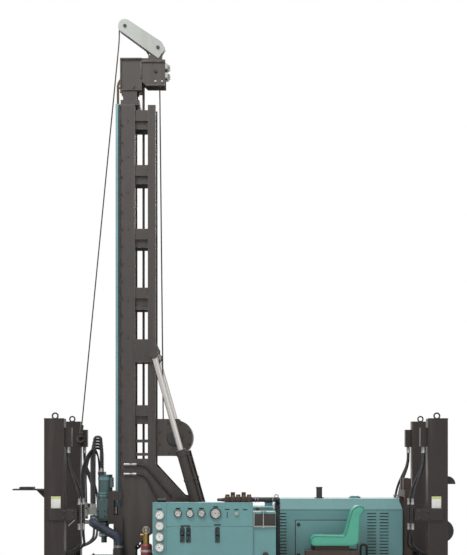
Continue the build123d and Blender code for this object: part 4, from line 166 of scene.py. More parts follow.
def worn_surface_group():
    """Painted or bare metal: mottling, streaks, worn edges that in the mast's finish are also painted
    highlights, and dust on what faces up.
    """
    group, given, result = shader_group(
        "worn_surface",
        (
            ("Vector", ARROW, (0.0, 0.0, 0.0)),
            ("Paint", COLOUR, GREY),
            ("Bare", COLOUR, GREY),
            ("Dust", COLOUR, GREY),
            ("Mottle", NUMBER, 0.15),
            ("Edge Wear", NUMBER, 0.4),
            ("Dust Amount", NUMBER, 0.25),
            ("Streaks", NUMBER, 0.2),
            ("Grain Scale", NUMBER, 300.0),
            ("Roughness", NUMBER, 0.45),
        ),
        (("Color", COLOUR), ("Roughness", NUMBER), ("Height", NUMBER), ("Wear", NUMBER)),
    )
    link = group.links.new
    coordinate = given["Vector"]
    broad = noise_of(group, coordinate, scale=2.6, detail=4.0)
    middle = noise_of(group, coordinate, scale=21.0, detail=4.0, roughness=0.6)
    specks = noise_of(group, coordinate, scale=46.0, detail=5.0, roughness=0.7)
    fine = noise_of(group, coordinate, scale=given["Grain Scale"], detail=2.0)
    streak = noise_of(group, coordinate, scale=9.0, detail=4.0, roughness=0.6, stretch=STREAK_STRETCH)
    geometry = add_node(group, "ShaderNodeNewGeometry")
    rounded = add_node(group, "ShaderNodeBevel", samples=4, values={"Radius": EDGE_REACH})
    meeting = add_node(group, "ShaderNodeVectorMath", operation="DOT_PRODUCT")
    link(geometry.outputs["Normal"], meeting.inputs[0])
    link(rounded.outputs[0], meeting.inputs[1])
    edge = steps(group, maths(group, "SUBTRACT", 1.0, meeting.outputs["Value"]), low=0.004, high=0.09)
    broken = steps(group, middle, low=0.44, high=0.60)
    # Worn edges; with the mast's light bare colour they also paint highlights along its edges
    rubbed_and_highlit = maths(group, "MULTIPLY", maths(group, "MULTIPLY", edge, broken), given["Edge Wear"], True)
    chips = maths(group, "MULTIPLY", steps(group, specks, low=0.70, high=0.74), given["Edge Wear"])
    wear_and_highlight = maths(group, "MAXIMUM", rubbed_and_highlit, chips)
    tone = maths(group, "MULTIPLY_ADD", maths(group, "SUBTRACT", broad, MIDDLE), 2.0, third=MIDDLE)
    strength = maths(group, "ADD", maths(group, "MULTIPLY", tone, given["Mottle"]), 1.0)
    mottled = add_node(group, "ShaderNodeVectorMath", operation="SCALE")
    link(given["Paint"], mottled.inputs[0])
    link(strength, mottled.inputs["Scale"])
    streaked = maths(group, "MULTIPLY", steps(group, streak, low=0.50, high=0.74), given["Streaks"], True)
    colour = mixed(group, streaked, mottled.outputs[0], given["Dust"])
    colour = mixed(group, wear_and_highlight, colour, given["Bare"])
    split = add_node(group, "ShaderNodeSeparateXYZ")
    link(geometry.outputs["Normal"], split.inputs[0])
    up = steps(group, split.outputs["Z"], low=0.35, high=0.95)
    patchy = maths(group, "MULTIPLY", up, steps(group, middle, low=0.30, high=0.65))
    dusty = maths(group, "MULTIPLY", patchy, given["Dust Amount"], True)
    colour = mixed(group, dusty, colour, given["Dust"])
    uneven = maths(group, "MULTIPLY", maths(group, "SUBTRACT", middle, MIDDLE), 0.25)
    rough = maths(group, "ADD", given["Roughness"], uneven)
    rough = maths(group, "ADD", rough, maths(group, "MULTIPLY", dusty, 0.25), True)
    grain = maths(group, "MULTIPLY", fine, 0.4)
    height = maths(group, "SUBTRACT", grain, maths(group, "MULTIPLY", wear_and_highlight, 0.6))
    link(colour, result["Color"])
    link(rough, result["Roughness"])
    link(height, result["Height"])
    link(wear_and_highlight, result["Wear"])
    return group


def cast_group():
    """Cast or forged metal: coarse skin with darker hollows and rust."""
    group, given, result = shader_group(
        "cast_skin",
        (
            ("Vector", ARROW, (0.0, 0.0, 0.0)),
            ("Metal", COLOUR, GREY),
            ("Rust", COLOUR, GREY),
            ("Rust Amount", NUMBER, 0.3),
            ("Skin Scale", NUMBER, 160.0),
        ),
        (("Color", COLOUR), ("Roughness", NUMBER), ("Height", NUMBER)),
    )
    coordinate = given["Vector"]
    skin = noise_of(group, coordinate, scale=given["Skin Scale"], detail=4.0, roughness=0.7)
    patch = noise_of(group, coordinate, scale=8.0, detail=5.0, roughness=0.65)
    rust = maths(group, "MULTIPLY", steps(group, patch, low=0.46, high=0.68), given["Rust Amount"], True)
    hollows = mixed(group, skin, given["Metal"], given["Metal"], "MULTIPLY")
    colour = mixed(group, rust, mixed(group, 0.55, given["Metal"], hollows), given["Rust"])
    group.links.new(colour, result["Color"])
    group.links.new(maths(group, "MULTIPLY_ADD", skin, 0.3, third=0.42), result["Roughness"])
    group.links.new(skin, result["Height"])
    return group


def grain_group():
    """Vinyl grain: small cells with fine creases between them."""
    group, given, result = shader_group(
        "vinyl_grain",
        (
            ("Vector", ARROW, (0.0, 0.0, 0.0)),
            ("Tint", COLOUR, GREY),
            ("Soil", COLOUR, GREY),
            ("Cells", NUMBER, 420.0),
        ),
        (("Color", COLOUR), ("Roughness", NUMBER), ("Height", NUMBER)),
    )
    cells = add_node(group, "ShaderNodeTexVoronoi", feature="F1")
    group.links.new(given["Vector"], cells.inputs["Vector"])
    group.links.new(given["Cells"], cells.inputs["Scale"])
    soft = noise_of(group, given["Vector"], scale=5.0, detail=3.0)
    soil = maths(group, "MULTIPLY", steps(group, soft, low=0.50, high=0.78), 0.22)
    rough = maths(group, "ADD", maths(group, "MULTIPLY", cells.outputs[0], 0.25), 0.30)
    group.links.new(mixed(group, soil, given["Tint"], given["Soil"]), result["Color"])
    group.links.new(rough, result["Roughness"])
    group.links.new(cells.outputs[0], result["Height"])
    return group


WORN = worn_surface_group()
CAST = cast_group()
GRAIN = grain_group()


# Materials


def shade_of(red, green, blue):
    """An opaque colour given as display values from 0 to 255, in linear light."""
    linear = []
    for value in (red, green, blue):
        share = value / 255
        linear.append(share / 12.92 if share <= 0.04045 else ((share + 0.055) / 1.055) ** 2.4)
    return (*linear, 1.0)


def blank_material(name):
    """A material with its nodes, a Principled shader and Object coordinates."""
    material = bpy.data.materials.new(name)
    material.use_nodes = True
    tree = material.node_tree
    tree.nodes.clear()
    output = tree.nodes.new("ShaderNodeOutputMaterial")
    shader = tree.nodes.new("ShaderNodeBsdfPrincipled")
    tree.links.new(shader.outputs[0], output.inputs[0])
    place = tree.nodes.new("ShaderNodeTexCoord")
    return material, tree, shader, place.outputs["Object"]


def bumped(tree, shader, height, strength, distance):
    """Feeds a height to the shader's normal through a Bump node."""
    bump = add_node(tree, "ShaderNodeBump", values={"Strength": strength, "Distance": distance})
    tree.links.new(height, bump.inputs["Height"])
    tree.links.new(bump.outputs[0], shader.inputs["Normal"])


def worn_material(name, paint, bare, dust, metallic=0.0, coat=0.0, specular=0.5, grain=0.0006, **amounts):
    """Painted or bare metal from the worn surface group."""
    material, tree, shader, place = blank_material(name)
    node = add_node(tree, "ShaderNodeGroup", node_tree=WORN)
    tree.links.new(place, node.inputs["Vector"])
    node.inputs["Paint"].default_value = shade_of(*paint)
    node.inputs["Bare"].default_value = shade_of(*bare)
    node.inputs["Dust"].default_value = shade_of(*dust)
    for label, value in amounts.items():
        node.inputs[label.replace("_", " ").title()].default_value = value
    tree.links.new(node.outputs["Color"], shader.inputs["Base Color"])
    tree.links.new(node.outputs["Roughness"], shader.inputs["Roughness"])
    shader.inputs["Metallic"].default_value = metallic
    shader.inputs["Specular IOR Level"].default_value = specular
    if coat:
        shader.inputs["Coat Weight"].default_value = coat
        shader.inputs["Coat Roughness"].default_value = 0.25
    bumped(tree, shader, node.outputs["Height"], strength=0.5, distance=grain)
    return material


def cast_material(name, metal, rust, rust_amount, metallic=0.5, skin=160.0):
    """Cast metal from the cast skin group."""
    material, tree, shader, place = blank_material(name)
    node = add_node(tree, "ShaderNodeGroup", node_tree=CAST)
    tree.links.new(place, node.inputs["Vector"])
    node.inputs["Metal"].default_value = shade_of(*metal)
    node.inputs["Rust"].default_value = shade_of(*rust)
    node.inputs["Rust Amount"].default_value = rust_amount
    node.inputs["Skin Scale"].default_value = skin
    tree.links.new(node.outputs["Color"], shader.inputs["Base Color"])
    tree.links.new(node.outputs["Roughness"], shader.inputs["Roughness"])
    shader.inputs["Metallic"].default_value = metallic
    bumped(tree, shader, node.outputs["Height"], strength=0.45, distance=0.0012)
    return material


def wave_of(tree, coordinate, direction, scale, distortion):
    """Even bands on a coordinate, a little distorted."""
    values = {"Scale": scale, "Distortion": distortion}
    wave = add_node(tree, "ShaderNodeTexWave", bands_direction=direction, values=values)
    tree.links.new(coordinate, wave.inputs["Vector"])
    return wave.outputs["Fac"]


DULL_GAIN = 2.6
DULL_LIFT = 0.015
ROPE_LAY_STRETCH = (2.2, 2.2, 1.0)


def rubber_material(name, shade, rough, ribs=0.0):
    """Hose or moulded rubber, with a fine skin and, where asked, wrapped fabric ribs."""
    material, tree, shader, place = blank_material(name)
    colour = shade_of(*shade)
    patch = noise_of(tree, place, scale=14.0, detail=4.0)
    dusty = steps(tree, patch, low=0.50, high=0.82)
    dull = tuple(min(1.0, channel * DULL_GAIN + DULL_LIFT) for channel in colour[:3])
    tree.links.new(mixed(tree, dusty, colour, (*dull, 1.0)), shader.inputs["Base Color"])
    dulled = maths(tree, "ADD", maths(tree, "MULTIPLY", dusty, 0.2), rough)
    tree.links.new(dulled, shader.inputs["Roughness"])
    skin = noise_of(tree, place, scale=340.0, detail=2.0)
    if ribs:
        wave = wave_of(tree, place, "Z", ribs, 0.6)
        skin = maths(tree, "ADD", maths(tree, "MULTIPLY", wave, 0.8), maths(tree, "MULTIPLY", skin, 0.3))
    bumped(tree, shader, skin, strength=0.5, distance=0.0009)
    return material


def seat_material(name, tint, soil):
    """Grained vinyl."""
    material, tree, shader, place = blank_material(name)
    node = add_node(tree, "ShaderNodeGroup", node_tree=GRAIN)
    tree.links.new(place, node.inputs["Vector"])
    node.inputs["Tint"].default_value = shade_of(*tint)
    node.inputs["Soil"].default_value = shade_of(*soil)
    tree.links.new(node.outputs["Color"], shader.inputs["Base Color"])
    tree.links.new(node.outputs["Roughness"], shader.inputs["Roughness"])
    shader.inputs["Coat Weight"].default_value = 0.25
    shader.inputs["Coat Roughness"].default_value = 0.3
    bumped(tree, shader, node.outputs["Height"], strength=0.25, distance=0.0006)
    return material


def rope_material():
    """Twisted steel strands, drawn as slanting bands."""
    material, tree, shader, place = blank_material("rope_steel")
    lay = add_node(tree, "ShaderNodeMapping")
    lay.inputs["Scale"].default_value = ROPE_LAY_STRETCH
    tree.links.new(place, lay.inputs["Vector"])
    wave = wave_of(tree, lay.outputs[0], "DIAGONAL", 55.0, 0.2)
    strands = mixed(tree, wave, shade_of(46, 43, 40), shade_of(118, 113, 106))
    grime = steps(tree, noise_of(tree, place, scale=30.0, detail=4.0), low=0.45, high=0.75)
    tree.links.new(mixed(tree, grime, strands, shade_of(58, 50, 42)), shader.inputs["Base Color"])
    shader.inputs["Metallic"].default_value = 0.6
    shader.inputs["Roughness"].default_value = 0.5
    bumped(tree, shader, wave, strength=0.8, distance=0.002)
    return material


def glass_material():
    """Clear gauge glass."""
    material, tree, shader, place = blank_material("gauge_glass")
    smear = noise_of(tree, place, scale=60.0, detail=3.0)
    tree.links.new(maths(tree, "MULTIPLY", smear, 0.12), shader.inputs["Roughness"])
    shader.inputs["Base Color"].default_value = (0.95, 0.97, 0.97, 1.0)
    shader.inputs["Transmission Weight"].default_value = 1.0
    shader.inputs["IOR"].default_value = 1.1
    return material


EARTH = (112, 103, 92)
TEAL = worn_material(
    "teal_paint", (96, 144, 146), (62, 66, 64), EARTH, coat=0.45,
    mottle=0.10, edge_wear=0.30, dust_amount=0.30, streaks=0.10, roughness=0.40,
)
TEAL_LIGHT = worn_material(
    "mast_teal", (124, 168, 171), (80, 84, 82), EARTH, coat=0.25,
    mottle=0.12, edge_wear=0.45, dust_amount=0.30, streaks=0.22, roughness=0.42,
)
DARK = worn_material(
    "frame_dark", (56, 51, 48), (118, 108, 98), EARTH, specular=0.35,
    mottle=0.18, edge_wear=0.55, dust_amount=0.28, streaks=0.16, roughness=0.46,
)
# Its light bare colour and strong edge wear paint highlights along the mast's edges, as well as worn paint
MAST_DARK = worn_material(
    "mast_dark", (64, 59, 56), (132, 122, 112), EARTH, specular=0.40,
    mottle=0.16, edge_wear=0.70, dust_amount=0.28, streaks=0.20, roughness=0.44,
)
RAIL_STEEL = worn_material(
    "rail_steel", (44, 47, 54), (128, 124, 120), (70, 66, 62), metallic=0.4,
    mottle=0.30, edge_wear=0.60, dust_amount=0.15, streaks=0.50, roughness=0.34,
)
LEG_PAINT = worn_material(
    "leg_dark", (48, 42, 40), (104, 94, 86), EARTH, specular=0.30,
    mottle=0.20, edge_wear=0.55, dust_amount=0.24, streaks=0.18, roughness=0.44,
)
BROWN = worn_material(
    "base_brown", (60, 50, 46), (118, 102, 90), EARTH, specular=0.35,
    mottle=0.16, edge_wear=0.40, dust_amount=0.45, streaks=0.18, roughness=0.55,
)
JIB_GREY = worn_material(
    "jib_grey", (158, 161, 156), (120, 118, 114), (134, 130, 122), metallic=0.15,
    mottle=0.14, edge_wear=0.30, dust_amount=0.20, streaks=0.30, roughness=0.42,
)
ZINC = worn_material(
    "zinc_plate", (158, 157, 153), (104, 101, 96), (92, 85, 76), metallic=0.55,
    mottle=0.18, edge_wear=0.35, dust_amount=0.15, streaks=0.20, roughness=0.36,
)
CHROME = worn_material(
    "rod_chrome", (190, 186, 182), (150, 148, 146), (130, 122, 112), metallic=0.7,
    mottle=0.05, edge_wear=0.10, dust_amount=0.10, streaks=0.10, roughness=0.22, grain=0.0001,
)
BRASS = worn_material(
    "brass_fitting", (146, 118, 66), (120, 96, 56), (80, 68, 48), metallic=0.9,
    mottle=0.15, edge_wear=0.30, dust_amount=0.10, streaks=0.10, roughness=0.34,
)
WHITE_PAINT = worn_material(
    "plate_white", (222, 222, 216), (150, 146, 140), EARTH,
    mottle=0.06, edge_wear=0.30, dust_amount=0.10, streaks=0.14, roughness=0.50,
)
BAND_GREEN = worn_material(
    "plate_band", (196, 206, 120), (150, 146, 120), EARTH,
    mottle=0.06, edge_wear=0.20, dust_amount=0.10, streaks=0.10, roughness=0.50,
)
RED = worn_material(
    "bottle_red", (112, 34, 32), (84, 60, 52), EARTH, coat=0.4,
    mottle=0.10, edge_wear=0.35, dust_amount=0.20, streaks=0.12, roughness=0.38,
)
BLACK_METAL = worn_material(
    "black_metal", (38, 37, 37), (96, 92, 88), EARTH,
    mottle=0.10, edge_wear=0.35, dust_amount=0.20, streaks=0.08, roughness=0.46,
)
FACE_BLACK = worn_material(
    "dial_black", (24, 25, 26), (24, 25, 26), (40, 40, 40),
    mottle=0.06, edge_wear=0.0, dust_amount=0.05, streaks=0.0, roughness=0.55,
)
FACE_GREY = worn_material(
    "dial_grey", (186, 186, 180), (186, 186, 180), (150, 148, 140),
    mottle=0.03, edge_wear=0.0, dust_amount=0.05, streaks=0.0, roughness=0.50,
)
HEAD_TEAL = worn_material(
    "head_teal", (68, 92, 94), (58, 60, 58), EARTH, coat=0.20,
    mottle=0.22, edge_wear=0.45, dust_amount=0.35, streaks=0.35, roughness=0.46,
)
FACE_WHITE = worn_material(
    "dial_white", (228, 228, 224), (228, 228, 224), (190, 188, 180),
    mottle=0.03, edge_wear=0.0, dust_amount=0.05, streaks=0.0, roughness=0.50,
)
TRACK_STEEL = cast_material("track_steel", (72, 66, 62), (98, 64, 42), 0.45, 0.55)
CHAIN_STEEL = cast_material("chain_steel", (92, 82, 72), (92, 62, 42), 0.35, 0.7)
ENGINE_IRON = cast_material("engine_iron", (62, 62, 62), (84, 62, 50), 0.25, 0.3)
HOSE = rubber_material("hose_rubber", (34, 34, 36), 0.50)
AIR_RUBBER = rubber_material("air_hose_rubber", (44, 52, 66), 0.48, 60.0)
GUARD_PLASTIC = rubber_material("guard_plastic", (46, 46, 48), 0.42)
VINYL = seat_material("seat_vinyl", (78, 166, 142), (52, 128, 110))
VINYL_DARK = seat_material("piping_vinyl", (58, 138, 116), (44, 108, 92))
ROPE_STEEL = rope_material()
GLASS = glass_material()

NODE_MATERIALS = {
    "track_near": TRACK_STEEL, "track_far": TRACK_STEEL, "track_sprockets": TRACK_STEEL,
    "track_frames": DARK, "chassis_frame": DARK, "fenders": BROWN, "leg_housings": LEG_PAINT,
    "leg_ram_front_near": LEG_PAINT, "leg_ram_front_far": LEG_PAINT, "leg_ram_rear_near": LEG_PAINT,
    "leg_ram_rear_far": LEG_PAINT, "leg_fittings": LEG_PAINT, "mast_frame": MAST_DARK,
    "chain_cover": TEAL_LIGHT, "feed_chain": CHAIN_STEEL,
    "crown": MAST_DARK, "chain_wheel_top": CHAIN_STEEL, "chain_wheel_low": CHAIN_STEEL,
    "rope_pulleys": ZINC, "jib": JIB_GREY, "hoist_rope": ROPE_STEEL, "winch_housing": MAST_DARK,
    "winch_drum": ZINC, "cylinder_barrels": DARK, "cylinder_rods": CHROME, "head_carriage": DARK,
    "head_gearbox": HEAD_TEAL, "head_motors": HEAD_TEAL, "spindle": HEAD_TEAL, "head_hoses": HOSE,
    "head_fittings": ZINC, "rod_clamp": DARK, "mast_hoses": HOSE, "chassis_hoses": HOSE,
    "top_valves": BROWN, "oil_bottle": RED,
    "engine": ENGINE_IRON, "hood": TEAL, "hood_door": TEAL, "control_box": TEAL, "controls": ZINC,
    "seat_base": BROWN, "seat_cushion": VINYL, "tanks": TEAL, "mast_rest": BROWN,
}


def dress_nodes():
    """Gives every CAD node its material."""
    for name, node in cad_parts.items():
        node.data.materials.clear()
        node.data.materials.append(NODE_MATERIALS[name])


def second_material(node_name, material, test):
    """Puts another material on those faces of a node whose middle passes the test."""
    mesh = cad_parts[node_name].data
    mesh.materials.append(material)
    index = len(mesh.materials) - 1
    for face in mesh.polygons:
        if test(face.center):
            face.material_index = index


# Studio

CAMERA_AT = (0.1555, -17.82, 1.83)
LENS = 109.6
LENS_SHIFT = (-0.0297, 0.3144)
FAR_CLIP = 200.0
FLOOR_R = 9.5
FLOOR_SIDES = 96
FLOOR_SHADES = ((0.80, 0.80, 0.79, 1.0), (0.84, 0.84, 0.83, 1.0))
FLOOR_GLOW_SHARE = 0.45
WORLD_LEVEL = 0.33
LAMP_SIZE = 6.0
LAMP_AIM = Vector((0.0, 0.0, 2.2))
LAMPS = (
    # name, place and power in watts
    ("key_lamp", (-4.0, -6.5, 12.0), 1200.0),
    ("fill_lamp", (7.0, -8.0, 4.0), 100.0),
    ("back_lamp", (1.0, 9.0, 8.0), 300.0),
)


def camera():
    """The camera of the photograph, level and looking along +Y."""
    lens = bpy.data.cameras.new("camera")
    lens.lens = LENS
    lens.shift_x, lens.shift_y = LENS_SHIFT
    lens.clip_end = FAR_CLIP
    holder = linked("camera", lens)
    holder.location = CAMERA_AT
    holder.rotation_euler = (QUARTER, 0.0, 0.0)
    bpy.context.scene.camera = holder


def blended_output(tree, share, lit, plain, output):
    """Shows the lit shader, and the plain one by the share of it that the camera sees."""
    blend = tree.nodes.new("ShaderNodeMixShader")
    tree.links.new(share, blend.inputs[0])
    tree.links.new(lit.outputs[0], blend.inputs[1])
    tree.links.new(plain.outputs[0], blend.inputs[2])
    tree.links.new(blend.outputs[0], output.inputs[0])


def pale_floor():
    """A round pale floor that keeps the rig's shadow."""
    ring = bmesh.new()
    bmesh.ops.create_circle(ring, cap_ends=True, radius=FLOOR_R, segments=FLOOR_SIDES)
    mesh = bpy.data.meshes.new("floor")
    ring.to_mesh(mesh)
    ring.free()
    floor = linked("floor", mesh)
    material, tree, shader, place = blank_material("floor_pale")
    speck = noise_of(tree, place, scale=3.0, detail=3.0)
    tree.links.new(mixed(tree, speck, *FLOOR_SHADES), shader.inputs["Base Color"])
    shader.inputs["Roughness"].default_value = 0.9
    glow = add_node(tree, "ShaderNodeEmission", values={"Color": WHITE, "Strength": 1.0})
    path = tree.nodes.new("ShaderNodeLightPath")
    seen = maths(tree, "MULTIPLY", path.outputs["Is Camera Ray"], FLOOR_GLOW_SHARE)
    output = next(node for node in tree.nodes if node.bl_idname == "ShaderNodeOutputMaterial")
    blended_output(tree, seen, shader, glow, output)
    mesh.materials.append(material)


def white_world():
    """Soft even light, seen as plain white by the camera and in metal and glass."""
    world = bpy.data.worlds.new("studio")
    bpy.context.scene.world = world
    world.use_nodes = True
    tree = world.node_tree
    tree.nodes.clear()
    output = tree.nodes.new("ShaderNodeOutputWorld")
    soft = add_node(tree, "ShaderNodeBackground", values={"Color": WHITE, "Strength": WORLD_LEVEL})
    plain = add_node(tree, "ShaderNodeBackground", values={"Color": WHITE, "Strength": 1.0})
    path = tree.nodes.new("ShaderNodeLightPath")
    seen = maths(tree, "ADD", path.outputs["Is Camera Ray"], path.outputs["Is Transmission Ray"], True)
    seen = maths(tree, "ADD", seen, path.outputs["Is Glossy Ray"], True)
    blended_output(tree, seen, soft, plain, output)


def lamps():
    """Three square lamps that look at the middle of the rig."""
    for name, place, power in LAMPS:
        lamp = bpy.data.lights.new(name, "AREA")
        lamp.energy = power
        lamp.size = LAMP_SIZE
        holder = linked(name, lamp)
        holder.location = place
        holder.rotation_euler = (LAMP_AIM - Vector(place)).to_track_quat("-Z", "Y").to_euler()


def studio():
    """Camera, floor, world and lamps."""
    bpy.context.scene.view_settings.view_transform = "Standard"
    camera()
    pale_floor()
    white_world()
    lamps()


# Scene helpers


def linked(name, data):
    """A new object in the scene."""
    item = bpy.data.objects.new(name, data)
    bpy.context.scene.collection.objects.link(item)
    return item


def result_of(item):
    """The mesh that an object's modifiers give, as a plain mesh."""
    graph = bpy.context.evaluated_depsgraph_get()
    return bpy.data.meshes.new_from_object(item.evaluated_get(graph), depsgraph=graph)


def drawn_mesh(name, data):
    """The plain mesh of a text or a curve."""
    holder = linked(name, data)
    mesh = result_of(holder)
    bpy.data.objects.remove(holder)
    return mesh


def show(name, mesh, material, body):
    """Puts a mesh in the scene with its material, riding on a body."""
    mesh.materials.clear()
    mesh.materials.append(material)
    piece = linked(name, mesh)
    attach(piece, body)
    return piece


def show_parts(name, parts, material, body):
    """Puts (mesh, matrix) pairs in the scene as one piece."""
    return show(name, joined_mesh(name, parts), material, body)


def show_at(name, mesh, place, material, body):
    """Puts a mesh in the scene at a place."""
    return show_parts(name, ((mesh, place),), material, body)


# Mesh helpers

SMOOTH_ANGLE = math.radians(35.0)
RIM_ANGLE = math.radians(60.0)
SAME_PLACE = 1e-6


def at(x, y, z):
    """A point given in the solids' own millimetres, in the row frame's metres."""
    return Vector((x / 1000 + SHIFT, y / 1000, z / 1000))


def stood(x, y, z):
    """A matrix at a point given in the solids' own millimetres."""
    return Matrix.Translation(at(x, y, z))


def finished(shape, name):
    """The mesh of a bmesh, with outward faces and smooth shading up to an angle."""
    bmesh.ops.remove_doubles(shape, verts=shape.verts, dist=SAME_PLACE)
    bmesh.ops.recalc_face_normals(shape, faces=shape.faces)
    mesh = bpy.data.meshes.new(name)
    shape.to_mesh(mesh)
    shape.free()
    mesh.shade_smooth()
    mesh.set_sharp_from_angle(angle=SMOOTH_ANGLE)
    return mesh


def box_mesh(name, size, bevel=0.002, segments=2):
    """A box about its middle, with rounded edges."""
    shape = bmesh.new()
    bmesh.ops.create_cube(shape, size=1.0, matrix=Matrix.Diagonal((*size, 1.0)))
    if bevel:
        bmesh.ops.bevel(
            shape, geom=shape.edges[:], offset=min(bevel, min(size) * 0.45), segments=segments,
            profile=0.6, affect="EDGES", clamp_overlap=True,
        )
    return finished(shape, name)


def turned_mesh(name, profile, sides=32):
    """A body of revolution about Z from (radius, height) pairs, closed at both ends."""
    shape = bmesh.new()
    rings = []
    for radius, height in profile:
        ring = []
        for index in range(sides):
            angle = math.tau * index / sides
            ring.append(shape.verts.new((radius * math.cos(angle), radius * math.sin(angle), height)))
        rings.append(ring)
    for low, high in zip(rings, rings[1:]):
        for index in range(sides):
            after = (index + 1) % sides
            shape.faces.new((low[index], low[after], high[after], high[index]))
    if profile[0] != profile[-1]:
        shape.faces.new(list(reversed(rings[0])))
        shape.faces.new(rings[-1])
    else:
        for index in range(sides):
            first, last = rings[0][index], rings[-1][index]
            bmesh.ops.pointmerge(shape, verts=[first, last], merge_co=first.co)
    return finished(shape, name)


def ring_mesh(name, radius, wire, sides=40, wire_sides=10):
    """A round wire ring about Z."""
    profile = []
    for index in range(wire_sides + 1):
        angle = math.tau * index / wire_sides
        out, up = radius + wire * math.cos(angle), wire * math.sin(angle)
        profile.append((round(out, 7), round(up, 7)))
    profile[-1] = profile[0]
    return turned_mesh(name, profile, sides)


def plate_mesh(name, outline, thick, bevel=0.0006):
    """A plate about the XZ plane from an outline of (x, z) pairs, thick along Y."""
    shape = bmesh.new()
    corners = [shape.verts.new((x, -thick / 2, z)) for x, z in outline]
    face = shape.faces.new(corners)
    moved = bmesh.ops.extrude_face_region(shape, geom=[face])
    top = [item for item in moved["geom"] if isinstance(item, bmesh.types.BMVert)]
    bmesh.ops.translate(shape, verts=top, vec=(0.0, thick, 0.0))
    bmesh.ops.recalc_face_normals(shape, faces=shape.faces)
    if bevel:
        rims = [edge for edge in shape.edges if edge.calc_face_angle(0.0) > RIM_ANGLE]
        bmesh.ops.bevel(shape, geom=rims, offset=bevel, segments=1, affect="EDGES", clamp_overlap=True)
    return finished(shape, name)


def joined_mesh(name, parts):
    """One mesh from (mesh, matrix) pairs."""
    shape = bmesh.new()
    for mesh, matrix in parts:
        piece = bmesh.new()
        piece.from_mesh(mesh)
        bmesh.ops.transform(piece, matrix=matrix, verts=piece.verts)
        scratch = bpy.data.meshes.new(name)
        piece.to_mesh(scratch)
        piece.free()
        shape.from_mesh(scratch)
        bpy.data.meshes.remove(scratch)
    mesh = bpy.data.meshes.new(name)
    shape.to_mesh(mesh)
    shape.free()
    mesh.shade_smooth()
    mesh.set_sharp_from_angle(angle=SMOOTH_ANGLE)
    return mesh


def tube_mesh(name, points, radius, sides=12, closed=False):
    """A round tube along points, with capped ends or closed on itself."""
    points = [Vector(point) for point in points]
    count = len(points)
    shape = bmesh.new()
    rings = []
    across = None
    for index, point in enumerate(points):
        if closed:
            ahead = points[(index + 1) % count] - points[index - 1]
        else:
            ahead = points[min(index + 1, count - 1)] - points[max(index - 1, 0)]
        ahead.normalize()
        if across is None:
            helper = Vector((0, 0, 1)) if abs(ahead.z) < 0.9 else Vector((1, 0, 0))
            across = ahead.cross(helper).normalized()
        across = (across - ahead * across.dot(ahead)).normalized()
        up = ahead.cross(across)
        ring = []
        for step in range(sides):
            angle = math.tau * step / sides
            way = across * math.cos(angle) + up * math.sin(angle)
            ring.append(shape.verts.new(point + way * radius))
        rings.append(ring)
    pairs = list(zip(rings, rings[1:]))
    if closed:
        pairs.append((rings[-1], rings[0]))
    for low, high in pairs:
        for step in range(sides):
            after = (step + 1) % sides
            shape.faces.new((low[step], low[after], high[after], high[step]))
    if not closed:
        shape.faces.new(list(reversed(rings[0])))
        shape.faces.new(rings[-1])
    return finished(shape, name)


CORNER_SHARE = 0.49


def rounded_path(points, radius, steps=6):
    """The points of a path whose corners are drawn as arcs."""
    points = [Vector(point) for point in points]
    path = [points[0]]
    for before, corner, after in zip(points, points[1:], points[2:]):
        back = (before - corner).normalized()
        ahead = (after - corner).normalized()
        angle = back.angle(ahead)
        shortest = min((before - corner).length, (after - corner).length)
        reach = min(radius / math.tan(angle / 2), shortest * CORNER_SHARE)
        for index in range(steps + 1):
            share = index / steps
            first = corner + back * reach * (1 - share)
            second = corner + ahead * reach * share
            path.append(first.lerp(second, share))
    path.append(points[-1])
    return path


def band_mesh(name, inner, outer, half, sides=36):
    """A flat band about Z, given by its two radii and half its width."""
    section = ((inner, -half), (outer, -half), (outer, half), (inner, half), (inner, -half))
    return turned_mesh(name, section, sides)


def coil_mesh(name, coil_r, rise, wire_r, turns=1, steps_in_turn=14, wire_sides=6):
    """A wire coil about Z that rises by the same height in each turn."""
    path = []
    for index in range(turns * steps_in_turn + 1):
        angle = math.tau * index / steps_in_turn
        path.append((coil_r * math.cos(angle), coil_r * math.sin(angle), rise * index / steps_in_turn))
    return tube_mesh(name, path, wire_r, wire_sides)


def circle(radius, count, start=0.0):
    """Pairs of places evenly round a circle, the first one turned by a share of a step."""
    angles = [math.tau * (index + start) / count for index in range(count)]
    return [(radius * math.cos(angle), radius * math.sin(angle)) for angle in angles]


def placed(point, x_axis=(1, 0, 0), z_axis=(0, 0, 1), scale=1.0):
    """A matrix at a point whose local Z and X follow the given directions."""
    up = Vector(z_axis).normalized()
    along = Vector(x_axis)
    along = (along - up * along.dot(up)).normalized()
    side = up.cross(along)
    turn = Matrix((along, side, up)).transposed().to_4x4()
    return Matrix.Translation(point) @ turn @ Matrix.Scale(scale, 4)


def facing(point, direction, scale=1.0):
    """A matrix at a point whose local Z looks along a direction."""
    helper = (1, 0, 0) if abs(Vector(direction).normalized().x) < 0.9 else (0, 0, 1)
    return placed(point, helper, direction, scale)


